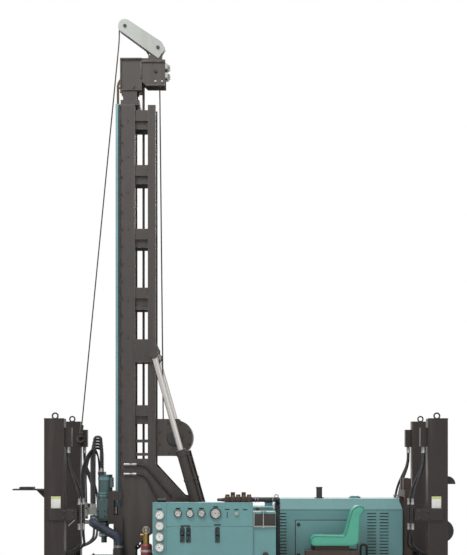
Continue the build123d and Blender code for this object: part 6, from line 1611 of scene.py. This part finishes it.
def hood_trim():
    """Edge beading and screws of the hood, the exhaust's collar and lip, and the side grip."""
    beads = []
    for side in SIDES:
        for z, high in BEADS:
            bead = box_mesh("bead", (HOOD_LONG / 1000, BEAD_THICK, high), 0.002)
            beads.append((bead, stood(HOOD_MIDDLE_X, side * BEAD_Y, z)))
    show_parts("hood_beads", beads, TEAL, "chassis")
    xs = [HOOD_SCREW_FIRST + HOOD_SCREW_STEP * index for index in range(HOOD_SCREW_COUNT)]
    near = [at(x, -HOOD_SCREW_Y, HOOD_SCREW_Z) for x in xs]
    far = [at(x, HOOD_SCREW_Y, HOOD_SCREW_Z) for index, x in enumerate(xs) if index not in DOOR_SCREWS]
    bolts("hood_screws_near", near, NEAR, HOOD_SCREW, "chassis", ZINC)
    bolts("hood_screws_far", far, FAR, HOOD_SCREW, "chassis", ZINC)
    collar = turned_mesh("collar", COLLAR_RING, 32), stood(*EXHAUST_AT, COLLAR_Z)
    lip = turned_mesh("lip", EXHAUST_LIP, 32), stood(*EXHAUST_AT, EXHAUST_LIP_Z)
    show_parts("exhaust_collar", (collar, lip), ENGINE_IRON, "chassis")
    route = rounded_path([at(*corner) for corner in GRIP_ROUTE], GRIP_ROUND)
    show("side_grip", tube_mesh("side_grip", route, GRIP_R), BLACK_METAL, "chassis")


SPRING_TURNS = 5
SPRING_HIGH = 0.048
SPRING_R = 0.019
SPRING_WIRE = 0.0034
SPRING_XS = (680, 1010)
SPRING_YS = (-815, -575)
SPRING_Z = 840


def seat_springs():
    """Four coil springs between the seat's base and its pan."""
    coil = coil_mesh("seat_spring", SPRING_R, SPRING_HIGH / SPRING_TURNS, SPRING_WIRE, SPRING_TURNS, 14, 8)
    places = [stood(x, y, SPRING_Z) for x in SPRING_XS for y in SPRING_YS]
    repeated("seat_springs", coil, places, BLACK_METAL, "chassis")


# Rotary head

MOTOR_X = -1484
MOTOR_Y = 95
FLANGE_BOLT_RING = 78
FLANGE_BOLT_COUNT = 8
FLANGE_BOLT_Z = 1331
FLANGE_BOLT = 0.014
FLANGE_X = (-1548, -1400)
VALVE_CORNER = (3, 4)
MOTOR_BAND_RS = (0.066, 0.0695)
MOTOR_BAND_HALF = 0.007
MOTOR_BAND_ZS = (1372, 1400, 1545, 1560)
SPINDLE_X = -1499
SPINDLE_RING_RS = (0.0525, 0.058)
SPINDLE_RING_HALF = 0.012
SPINDLE_RING_ZS = (1080, 958)
AIR_CLAMP_R = 0.0475
AIR_CLAMPS = (
    # places of the clamps at both ends of the air hose, and the way that the hose runs there
    (-1592, -218, 1098, FAR), (-1592, -232, 1098, FAR), (-1320, -322, 842, UP), (-1320, -322, 856, UP),
)


def head_trim():
    """Flange bolts and bands of the head's motors, rings of its spindle, and the air hose's clamps."""
    spots = []
    for side in SIDES:
        for index, (x, y) in enumerate(circle(FLANGE_BOLT_RING, FLANGE_BOLT_COUNT, 0.5)):
            hidden = side < 0 and index in VALVE_CORNER
            if FLANGE_X[0] < MOTOR_X + x < FLANGE_X[1] and not hidden:
                spots.append(at(MOTOR_X + x, side * MOTOR_Y + y, FLANGE_BOLT_Z))
    bolts("motor_flange_bolts", spots, UP, FLANGE_BOLT, "head", ZINC)
    band = band_mesh("motor_band", *MOTOR_BAND_RS, MOTOR_BAND_HALF, 40)
    places = [stood(MOTOR_X, side * MOTOR_Y, z) for side in SIDES for z in MOTOR_BAND_ZS]
    repeated("motor_bands", band, places, TEAL, "head")
    ring = band_mesh("nose_ring", *SPINDLE_RING_RS, SPINDLE_RING_HALF)
    places = [stood(SPINDLE_X, 0, z) for z in SPINDLE_RING_ZS]
    repeated("spindle_rings", ring, places, ZINC, "spindle")
    clamp = ring_mesh("air_clamp", AIR_CLAMP_R, BAND_WIRE, 36, 8)
    places = [facing(at(x, y, z), way) for x, y, z, way in AIR_CLAMPS]
    repeated("air_hose_clamps", clamp, places, ZINC, "head")


HEAD_HOSE_YS = (-128, -94, -60, -26, 8)
HOSE_DOWN_X = -1590
HOSE_DOWN_STEP = 10
HOSE_UP_X = -1517.5
HOSE_DOWN_Z = (1300, 1885)
HOSE_UP_Z = (1660, 1900)
HOSE_TOP_STEP = 30
HEAD_GUARD_STEP = 19
VALVE_UNION_Z = 1246
MOTOR_UNION_Z = 1622
GUARD_R = 0.0158
GUARD_WIRE = 0.0034
HEAD_GUARD_RISE = 0.0030 * math.tau
HEAD_FERRULE = (
    (0.0131, 0.0), (0.0170, 0.0), (0.0170, 0.010), (0.0158, 0.012),
    (0.0158, 0.040), (0.0131, 0.042), (0.0131, 0.0),
)


def hose_guards():
    """Spiral guards and end ferrules of the five hoses that arch over the head."""
    guard = coil_mesh("hose_guard", GUARD_R, HEAD_GUARD_RISE, GUARD_WIRE)
    ferrule = turned_mesh("ferrule", HEAD_FERRULE, 20)
    guards, ferrules = [], []
    for index, y in enumerate(HEAD_HOSE_YS):
        down_x = HOSE_DOWN_X - HOSE_DOWN_STEP * index
        for x, (low, high) in ((down_x, HOSE_DOWN_Z), (HOSE_UP_X, HOSE_UP_Z)):
            heights = range(low, high - HOSE_TOP_STEP * index, HEAD_GUARD_STEP)
            guards += [stood(x, y, z) for z in heights]
        ferrules += [stood(down_x, y, VALVE_UNION_Z), stood(HOSE_UP_X, y, MOTOR_UNION_Z)]
    repeated("hose_guards", guard, guards, GUARD_PLASTIC, "head")
    repeated("head_ferrules", ferrule, ferrules, ZINC, "head")


PILOT_HOSE_R = 0.0085
PILOT_HOSES = (
    # Y at the valve block, and X where the hose stands off it
    (-172, -1716), (-150, -1702), (-112, -1690), (-78, -1676),
)
PILOT_FERRULE = ((0.009, -0.002), (0.0125, 0.0), (0.0125, 0.026), (0.0105, 0.030), (0.0105, 0.046))


def pilot_route(index, y, x):
    """A thin hose's points from the valve block up, over the arch and down to a motor."""
    return [
        at(x, y, 1258), at(x, y, 1400), at(x - 14, y - 10, 1560 + 12 * index), at(x + 20, y - 4, 1740),
        at(-1612 - 4 * index, y * 0.8, 1880 - 8 * index), at(-1556, y * 0.6, 1850 - 10 * index),
        at(-1540, y * 0.6, 1700), at(-1541, y * 0.6, 1592),
    ]


def pilot_hoses():
    """Four thin hoses that loop from the valve block over the head's hose arch."""
    hoses, ends = [], []
    for index, (y, x) in enumerate(PILOT_HOSES):
        route = pilot_route(index, y, x)
        curve = bpy.data.curves.new("pilot_route", "CURVE")
        curve.dimensions = "3D"
        spline = curve.splines.new("NURBS")
        spline.points.add(len(route) - 1)
        for spot, point in zip(route, spline.points):
            point.co = (*spot, 1.0)
        spline.order_u = 4
        spline.use_endpoint_u = True
        spline.resolution_u = 8
        line = [vert.co.copy() for vert in drawn_mesh("pilot_route", curve).vertices]
        hoses.append((tube_mesh("pilot_hose", line, PILOT_HOSE_R, 10), Matrix()))
        ends += [facing(route[0], UP), facing(route[-1], UP)]
    show_parts("pilot_hoses", hoses, HOSE, "head")
    repeated("pilot_ferrules", turned_mesh("pilot_ferrule", PILOT_FERRULE, 14), ends, ZINC, "head")


# Mast, crown, jib and winch

ARM_PINS = (
    # X, distance from the middle and height of the pins in the arm and the jib
    (-950, 110, 5824), (-1276, 65.3, 6312), (-929, 65.3, 6084),
)
ARM_PIN = 0.030
MAST_UNION_AT = (-1190, -216)
MAST_UNION_ZS = (1700, 1600)
MAST_FERRULE = (
    (0.0150, 0.0), (0.0175, 0.002), (0.0175, 0.012), (0.0150, 0.014),
    (0.0150, 0.034), (0.0165, 0.036), (0.0165, 0.046), (0.0102, 0.048),
)


def mast_trim():
    """Pins of the arm and the jib, and the mast's hose ferrules."""
    bolts_both_sides("crown_bolts", [at(x, -y, z) for x, y, z in ARM_PINS], ARM_PIN, "mast", BLACK_METAL)
    places = [facing(at(*MAST_UNION_AT, z), (1, 0, 0)) for z in MAST_UNION_ZS]
    repeated("mast_ferrules", turned_mesh("mast_ferrule", MAST_FERRULE, 20), places, ZINC, "mast")


WINCH_X = -747
WINCH_Z = 1977
WINCH_NEAR_Y = -160
WINCH_FAR_Y = 220
WINCH_BOLT_RING = 168
WINCH_BOLT_COUNT = 8
WINCH_BOLT = 0.016
HUB_BOLT_RING = 52
HUB_BOLT_COUNT = 6
HUB_BOLT = 0.014
WINCH_COVER = ((0.085, 0.0), (0.085, 0.006), (0.078, 0.012), (0.030, 0.016), (TIP, 0.016))
ROPE_TURN_R = 0.124
ROPE_WIRE = 0.0068
ROPE_TURN_COUNT = 20
ROPE_TURN_FIRST = -136
ROPE_TURN_STEP = 14.2
ROPE_LAY = (0.0, 1.0, 0.02)


def winch_trim():
    """Bolts and cover of the hoist winch, and the rope's turns on its drum."""
    ring = circle(WINCH_BOLT_RING, WINCH_BOLT_COUNT, 0.5)
    spots = [at(WINCH_X + x, WINCH_NEAR_Y, WINCH_Z + z) for x, z in ring]
    bolts_both_sides("winch_bolts", spots, WINCH_BOLT, "mast", BLACK_METAL)
    ring = circle(HUB_BOLT_RING, HUB_BOLT_COUNT)
    for name, y, way in (("near", WINCH_NEAR_Y, NEAR), ("far", WINCH_FAR_Y, FAR)):
        spots = [at(WINCH_X + x, y, WINCH_Z + z) for x, z in ring]
        bolts("winch_hub_bolts_" + name, spots, way, HUB_BOLT, "mast", BLACK_METAL)
    cover = turned_mesh("cover", WINCH_COVER, 40)
    show_at("winch_cover", cover, facing(at(WINCH_X, WINCH_NEAR_Y, WINCH_Z), NEAR), BLACK_METAL, "mast")
    turn = ring_mesh("rope_turn", ROPE_TURN_R, ROPE_WIRE, 40, 8)
    ys = [ROPE_TURN_FIRST + ROPE_TURN_STEP * index for index in range(ROPE_TURN_COUNT)]
    places = [facing(at(WINCH_X, y, WINCH_Z), ROPE_LAY) for y in ys]
    repeated("rope_turns", turn, places, ROPE_STEEL, "winch_drum")


CROWN_CHEEK = 110
CROWN_FLANGES = (
    # x from, x to, z from, z to, and how far the flange stands out
    (-1322, -1094, 5943, 5959, 20),
    (-1322, -1094, 5619, 5631, 14),
    (-1322, -1308, 5631, 5943, 14),
    (-1110, -1094, 5746, 5914, 12),
    (-1108, -849, 5914, 5928, 16),
    (-1042, -849, 5668, 5682, 16),
)
FLANGE_BACK = 1
ARM_CLIPS = ((-950, 5716), (-880, 5716))
ARM_CLIP_SIZE = (0.022, 0.006, 0.016)
ARM_CLIP_OUT = 2


def crown_flange(side, x0, x1, z0, z1, out):
    """A flange on one cheek, and the weld run along it."""
    size = ((x1 - x0) / 1000, (out + FLANGE_BACK) / 1000, (z1 - z0) / 1000)
    middle = stood((x0 + x1) / 2, side * (CROWN_CHEEK + (out - FLANGE_BACK) / 2), (z0 + z1) / 2)
    y = side * CROWN_CHEEK
    if x1 - x0 > z1 - z0:
        run = (x0, y, z0), (x1, y, z0), (0, side, -1)
    else:
        run = (x1, y, z0), (x1, y, z1), (1, side, 0)
    return (box_mesh("flange", size, 0.0015), middle), run


def crown_trim():
    """Stiffening flanges, weld runs and clips on both cheeks of the crown."""
    clip = box_mesh("arm_clip", ARM_CLIP_SIZE, 0.002)
    for side, name in ((-1, "near"), (1, "far")):
        pairs = [crown_flange(side, *sizes) for sizes in CROWN_FLANGES]
        parts = [part for part, run in pairs]
        flanges = show_parts("crown_flanges_" + name, parts, MAST_DARK, "mast")
        weld("crown_welds_" + name, [run for part, run in pairs], "mast", MAST_DARK)
        places = [stood(x, side * (CROWN_CHEEK + ARM_CLIP_OUT), z) for x, z in ARM_CLIPS]
        repeated("arm_clips_" + name, clip, places, ZINC, "mast")


MAST_HIGH = 5450
RUNG_TOP_SHARES = (0.9903, 0.8853, 0.7633, 0.6506, 0.4255)
RUNG_DEEP = 112
FRONT_POST_BACK = -1159
REAR_POST_FRONT = -1026
POST_SIDE = 197


def mast_welds():
    """Weld runs where the rungs' plates meet the two columns."""
    runs = []
    for share in RUNG_TOP_SHARES:
        top = share * MAST_HIGH
        for side in SIDES:
            y = side * POST_SIDE
            for x, way in ((FRONT_POST_BACK, 1), (REAR_POST_FRONT, -1)):
                runs.append(((x, y, top - RUNG_DEEP), (x, y, top), (way, side, 0)))
    weld("mast_welds", runs, "mast", MAST_DARK)


# Mast cylinders

BARREL_BAND_RS = (0.0502, 0.0545)
BARREL_BAND_HALF = 0.010
BARREL_BAND_RUNS = (0.34, 0.66, 0.98)
PIPE_CLAMP_SIZE = (0.034, 0.034, 0.022)
PIPE_CLAMP_OUT = 0.062
GLAND_RUN = 1.298
GLAND_SCREW_RING = 0.046
GLAND_SCREW_COUNT = 6
GLAND_SCREW = 0.010


def cylinder_trim():
    """Bands, pipe clamps and gland screws of both mast cylinders."""
    ahead = (CYL_TOP - CYL_FOOT).normalized()
    across = Vector((ahead.z, 0, -ahead.x))
    bands, clamps, screws = [], [], []
    for side in SIDES:
        foot = Vector((CYL_FOOT.x, side * CYL_FOOT.y, CYL_FOOT.z))
        for run in BARREL_BAND_RUNS:
            centre = foot + ahead * run
            bands.append(placed(centre, across, ahead))
            clamps.append(placed(centre + across * PIPE_CLAMP_OUT, across, ahead))
        for out, beside in circle(GLAND_SCREW_RING, GLAND_SCREW_COUNT):
            spot = foot + ahead * GLAND_RUN + across * out + Vector(FAR) * beside
            screws.append(facing(spot, ahead, GLAND_SCREW))
    band = band_mesh("barrel_band", *BARREL_BAND_RS, BARREL_BAND_HALF)
    clamp = box_mesh("pipe_clamp", PIPE_CLAMP_SIZE, 0.004)
    repeated("barrel_bands", band, bands, DARK, "cylinder_barrels")
    repeated("pipe_clamps", clamp, clamps, DARK, "cylinder_barrels")
    repeated("gland_screws", SCREW, screws, ZINC, "cylinder_barrels")


# Jack legs

LEG_HOSE_IN = 262
LEG_HOSE_STAGGER = 17
LEG_HOSE_APART = 34
LEG_COVER_IN = 135
LEG_UNION_ZS = (1080, 1330)
LEG_COVER_Z = 1850
LEG_GUARD_Z = (1115, 1290)
LEG_GUARD_STEP = 21
LEG_GUARD_RISE = 0.0034 * math.tau
LEG_FERRULE = (
    (0.0131, -0.032), (0.0168, -0.030), (0.0168, -0.020), (0.0156, -0.018), (0.0156, 0.018),
    (0.0168, 0.020), (0.0168, 0.030), (0.0131, 0.032), (0.0131, -0.032),
)


def leg_hose_trim():
    """Ferrules of the legs' hose pairs, and the near pairs' spiral guards."""
    ferrules, guards = [], []
    for x_side in SIDES:
        for pair in SIDES:
            x = x_side * (LEG_X - LEG_HOSE_IN - pair * LEG_HOSE_STAGGER)
            cover_x = x_side * (LEG_X - LEG_COVER_IN)
            for y_side in SIDES:
                y = y_side * LEG_Y + pair * LEG_HOSE_APART
                ferrules += [stood(x, y, z) for z in LEG_UNION_ZS]
                ferrules.append(stood(cover_x, y, LEG_COVER_Z))
            near_y = pair * LEG_HOSE_APART - LEG_Y
            guards += [stood(x, near_y, z) for z in range(*LEG_GUARD_Z, LEG_GUARD_STEP)]
    repeated("leg_ferrules", turned_mesh("leg_ferrule", LEG_FERRULE, 20), ferrules, ZINC, "chassis")
    guard = coil_mesh("leg_guard", GUARD_R, LEG_GUARD_RISE, GUARD_WIRE)
    repeated("leg_guards", guard, guards, GUARD_PLASTIC, "chassis")


LEG_HALF = 100
COLLAR_LOW = 1150
COLLAR_HIGH = 1260
LEG_TOP = 2165


def leg_welds():
    """Weld runs over and under the collars and round the leg tops."""
    runs = []
    for x_side in SIDES:
        for y_side in SIDES:
            x0, x1 = x_side * LEG_X - LEG_HALF, x_side * LEG_X + LEG_HALF
            y0, y1 = y_side * LEG_Y - LEG_HALF, y_side * LEG_Y + LEG_HALF
            x_out = x_side * (LEG_X + LEG_HALF)
            y_out = y_side * (LEG_Y + LEG_HALF)
            for z, up in ((COLLAR_LOW, -1), (COLLAR_HIGH, 1), (LEG_TOP, 1)):
                runs.append(((x0, y_out, z), (x1, y_out, z), (0, y_side, up)))
            runs.append(((x_out, y0, LEG_TOP), (x_out, y1, LEG_TOP), (x_side, 0, 1)))
    weld("leg_welds", runs, "chassis", LEG_PAINT)


# Track drives, tanks and fenders

DRIVE_BOLT_RING = 0.085
DRIVE_BOLT_COUNT = 10
DRIVE_BOLT_Y = -0.926
DRIVE_BOLT = 0.018


def drive_bolts():
    """Bolts of the track drives, round the hubs of both sprockets."""
    ring = circle(DRIVE_BOLT_RING, DRIVE_BOLT_COUNT)
    spots = [Vector((SPROCKET_X + x, DRIVE_BOLT_Y, WHEEL_Z + z)) for x, z in ring]
    bolts_both_sides("drive_bolts", spots, DRIVE_BOLT, "chassis", ZINC)


TANK_IN_Y = 500
TANK_CAP_Y = 695
TANKS = (
    # name, places of the straps along X, top, and the filler cap's place along X and height
    ("oil", (-640, 120), 1230, 245, 1280),
    ("fuel", (1290, 1500), 1070, 1395, 1120),
)
TANK_CAP = ((0.030, 0.0), (0.052, 0.0), (0.052, 0.012), (0.046, 0.018), (0.030, 0.020), (TIP, 0.020))
STRAP_OUT = 2
STRAP_FOOT = FENDER_TOP + 4
STRAP_ROUND = 0.016
STRAP_THICK = 0.003
STRAP_WIDE = 0.040


def strap_mesh(points):
    """A flat steel strap along points, wide along X."""
    shape = bmesh.new()
    across = Vector((STRAP_WIDE / 2, 0, 0))
    rings = []
    for index, point in enumerate(points):
        ahead = points[min(index + 1, len(points) - 1)] - points[max(index - 1, 0)]
        out = Vector((1, 0, 0)).cross(ahead).normalized() * STRAP_THICK / 2
        corners = (point - across - out, point + across - out, point + across + out, point - across + out)
        rings.append([shape.verts.new(corner) for corner in corners])
    for low, high in zip(rings, rings[1:]):
        for step in range(4):
            after = (step + 1) % 4
            shape.faces.new((low[step], low[after], high[after], high[step]))
    shape.faces.new(list(reversed(rings[0])))
    shape.faces.new(rings[-1])
    return finished(shape, "strap")


def tank_trim():
    """Filler caps and steel straps of the oil and fuel tanks."""
    cap = turned_mesh("tank_cap", TANK_CAP, 32)
    outer, inner = TANK_OUT_Y + STRAP_OUT, TANK_IN_Y - STRAP_OUT
    for name, strap_xs, top, cap_x, cap_z in TANKS:
        over = top + STRAP_OUT
        show_at(name + "_cap", cap, stood(cap_x, TANK_CAP_Y, cap_z), BLACK_METAL, "chassis")
        straps = []
        for x in strap_xs:
            corners = (outer, STRAP_FOOT), (outer, over), (inner, over), (inner, STRAP_FOOT)
            route = rounded_path([at(x, y, z) for y, z in corners], STRAP_ROUND)
            straps.append((strap_mesh(route), Matrix()))
        show_parts(name + "_tank_straps", straps, MAST_DARK, "chassis")


LEVEL_X = -780
LEVEL_ZS = (780, 1040)
LEVEL_OUT = 18
LEVEL_TUBE = ((0.007, 0.0), (0.007, 0.260), (TIP, 0.260))
LEVEL_END = ((0.012, -0.014), (0.014, -0.010), (0.014, 0.010), (0.012, 0.014))
LEVEL_NECK = ((0.009, 0.0), (0.009, 0.020))


def level_glass():
    """Level glass with its two unions on the oil tank's outer face."""
    end = turned_mesh("level_end", LEVEL_END, 6)
    neck = turned_mesh("level_neck", LEVEL_NECK, 12)
    tube = turned_mesh("level_tube", LEVEL_TUBE, 16)
    y = TANK_OUT_Y + LEVEL_OUT
    show_at("level_glass", tube, stood(LEVEL_X, y, LEVEL_ZS[0]), GLASS, "chassis")
    parts = [(end, stood(LEVEL_X, y, z)) for z in LEVEL_ZS]
    parts += [(neck, facing(at(LEVEL_X, TANK_OUT_Y - 1, z), FAR)) for z in LEVEL_ZS]
    show_parts("level_unions", parts, BRASS, "chassis")


TREAD_PITCH = 34
TREAD_SIZE = (0.0125, 0.0042, 0.0022)
TREAD_STUD_SHARES = ((1.0, -0.1), (0.72, 1.0), (TIP, 1.0))
FENDER_X = (-1085, 1650)
FENDER_Y = (362, 890)
ON_FENDERS = ("control_box", "seat_base")


def tread_plate():
    """Raised lozenges of the fenders' checker plate where nothing stands on it."""
    stud = turned_mesh("tread_stud", TREAD_STUD_SHARES, 4)
    covered = [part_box(name) for name in ON_FENDERS]
    stretch = Matrix.Diagonal((*TREAD_SIZE, 1.0))
    columns = int((FENDER_X[1] - FENDER_X[0]) / TREAD_PITCH)
    rows = int((FENDER_Y[1] - FENDER_Y[0]) / TREAD_PITCH)
    places = []
    for side in SIDES:
        for column in range(columns):
            for row in range(rows):
                x = FENDER_X[0] + (column + 0.5) * TREAD_PITCH
                y = side * (FENDER_Y[0] + (row + 0.5) * TREAD_PITCH)
                spot = at(x, y, FENDER_TOP)
                if any(low[0] < spot.x < high[0] and low[1] < spot.y < high[1] for low, high in covered):
                    continue
                turn = math.pi / 4 if (column + row) % 2 else -math.pi / 4
                places.append(Matrix.Translation(spot) @ Matrix.Rotation(turn, 4, "Z") @ stretch)
    repeated("tread_studs", stud, places, BROWN, "chassis")


# Bolts, blocks and second finishes

BEAM_YS = (-600, -400, 400, 600)
BEAM_ZS = (590, 670)
BOLT_SETS = (
    # name, places along X, along Y and up Z, the way that the heads look, width, body and finish
    ("valve_plugs", range(-188, 33, 55), (-720, -770), (1378,), UP, 0.022, "chassis", BRASS),
    ("valve_bolts", (-1738, -1666), (-190,), (1148, 1243), NEAR, 0.016, "head", BLACK_METAL),
    ("clamp_bolts", (-1625, -1385), (-155, 155), (740,), UP, 0.020, "mast", BLACK_METAL),
    ("cross_bolts_rear", (1990,), BEAM_YS, BEAM_ZS, (1, 0, 0), 0.024, "chassis", BLACK_METAL),
    ("cross_bolts_front", (-1990,), BEAM_YS, BEAM_ZS, (-1, 0, 0), 0.024, "chassis", BLACK_METAL),
)
SIDE_BOLT_SETS = (
    # name, places along X, the near side's Y, places up Z, width, body and finish
    ("head_side_bolts", (-1545, -1475), -202, (1157, 1214), 0.015, "head", BLACK_METAL),
    ("rail_bolts", (-1298,), -215, range(560, 5241, 180), 0.014, "mast", BLACK_METAL),
    ("collar_bolts", (-1818.5, -1731.5, 1731.5, 1818.5), -940, (1172, 1238), 0.022, "chassis", BLACK_METAL),
    ("fender_bolts", range(-1010, 1651, 380), -900, (574,), 0.016, "chassis", ZINC),
)


def bolt_sets():
    """Bolt heads in even rows, on one side or on both."""
    for name, xs, ys, zs, direction, across, body, finish in BOLT_SETS:
        bolts(name, [at(x, y, z) for x in xs for y in ys for z in zs], direction, across, body, finish)
    for name, xs, y, zs, across, body, finish in SIDE_BOLT_SETS:
        bolts_both_sides(name, [at(x, y, z) for x in xs for z in zs], across, body, finish)


PLAIN_BLOCKS = (
    # name, size and edge rounding in metres, middle, and finish
    ("bay_recess", (0.205, 0.003, 0.118), 0.001, (192, -885.4, 1152), DARK),
    # Pale teal lip along the top of the control box: its lighter colour is a painted highlight
    ("top_lip", (1.008, 0.026, 0.007), 0.003, (-433, -889, 1322), TEAL_LIGHT),
    # Dark rubber border showing round the hood's lift-off panel: painted shade of the gap round it
    ("panel_seal", (0.648, 0.004, 0.416), 0.001, (829, -350.6, 922), HOSE),
    ("cap_grip", (0.090, 0.016, 0.010), 0.003, (1145, 0, 1363), TEAL),
    ("leg_plate_front", (0.095, 0.002, 0.118), 0.0006, (-1902, -921, 1326), WHITE_PAINT),
    ("leg_plate_rear", (0.095, 0.002, 0.118), 0.0006, (1905, -921, 1326), WHITE_PAINT),
    ("leg_band_front", (0.091, 0.001, 0.022), 0, (-1902, -922.4, 1372), BAND_GREEN),
    ("leg_band_rear", (0.091, 0.001, 0.022), 0, (1905, -922.4, 1372), BAND_GREEN),
)


def plain_blocks():
    """Recess of the control box and its pale teal lip, whose colour is a painted highlight, the dark rubber
    border round the hood's panel, painted shade of its gap, the hood's cap grip, and the legs' blank plates.
    """
    for name, block_size, rounding, middle, finish in PLAIN_BLOCKS:
        show_at(name, box_mesh(name, block_size, rounding), stood(*middle), finish, "chassis")


ROD_EYE_REACH = 0.075
SECOND_FINISHES = (
    # node, the finish of some of its pieces, and the middles of the faces that get it, in metres
    ("oil_bottle", BRASS, lambda spot: spot.z > 0.907),
    ("top_valves", BLACK_METAL, lambda spot: spot.x < -0.60),
    ("leg_fittings", BLACK_METAL, lambda spot: spot.x > 1.9 and spot.z < 1.3),
    ("head_hoses", AIR_RUBBER, lambda spot: spot.y < -0.20),
    ("head_fittings", BLACK_METAL, lambda spot: spot.z > 1.55),
    ("head_fittings", DARK, lambda spot: spot.x > -1.36 and spot.z < 1.4),
    ("engine", BROWN, lambda spot: spot.z > 1.30),
    ("mast_hoses", ZINC, lambda spot: spot.x < -1.065),
    ("winch_drum", DARK, lambda spot: abs(spot.y) > 0.130),
    ("cylinder_rods", MAST_DARK, lambda spot: math.dist((spot.x, spot.z), CYL_TOP.xz) < ROD_EYE_REACH),
    ("controls", BLACK_METAL, lambda spot: spot.z < 1.10 and -0.60 < spot.x < -0.10),
    ("crown", JIB_GREY, lambda spot: spot.x > -0.849 + SHIFT),
    ("mast_frame", RAIL_STEEL, lambda spot: spot.x < -1.3105 + SHIFT),
)


def second_finishes():
    """Second finishes on nodes that hold pieces of different make."""
    for name, finish, is_there in SECOND_FINISHES:
        second_material(name, finish, is_there)


# Build

dress_nodes()
studio()
track_shoes()
feed_chain()
gauges()
label_plates()
lever_slots()
panel_trim()
spool_caps()
down_hose()
air_bottle()
louvre_vanes()
louvre_baffles()
hood_panel()
hood_trim()
seat_springs()
head_trim()
hose_guards()
pilot_hoses()
mast_trim()
winch_trim()
crown_trim()
mast_welds()
cylinder_trim()
leg_hose_trim()
leg_welds()
drive_bolts()
tank_trim()
level_glass()
tread_plate()
bolt_sets()
plain_blocks()
second_finishes()
seat()
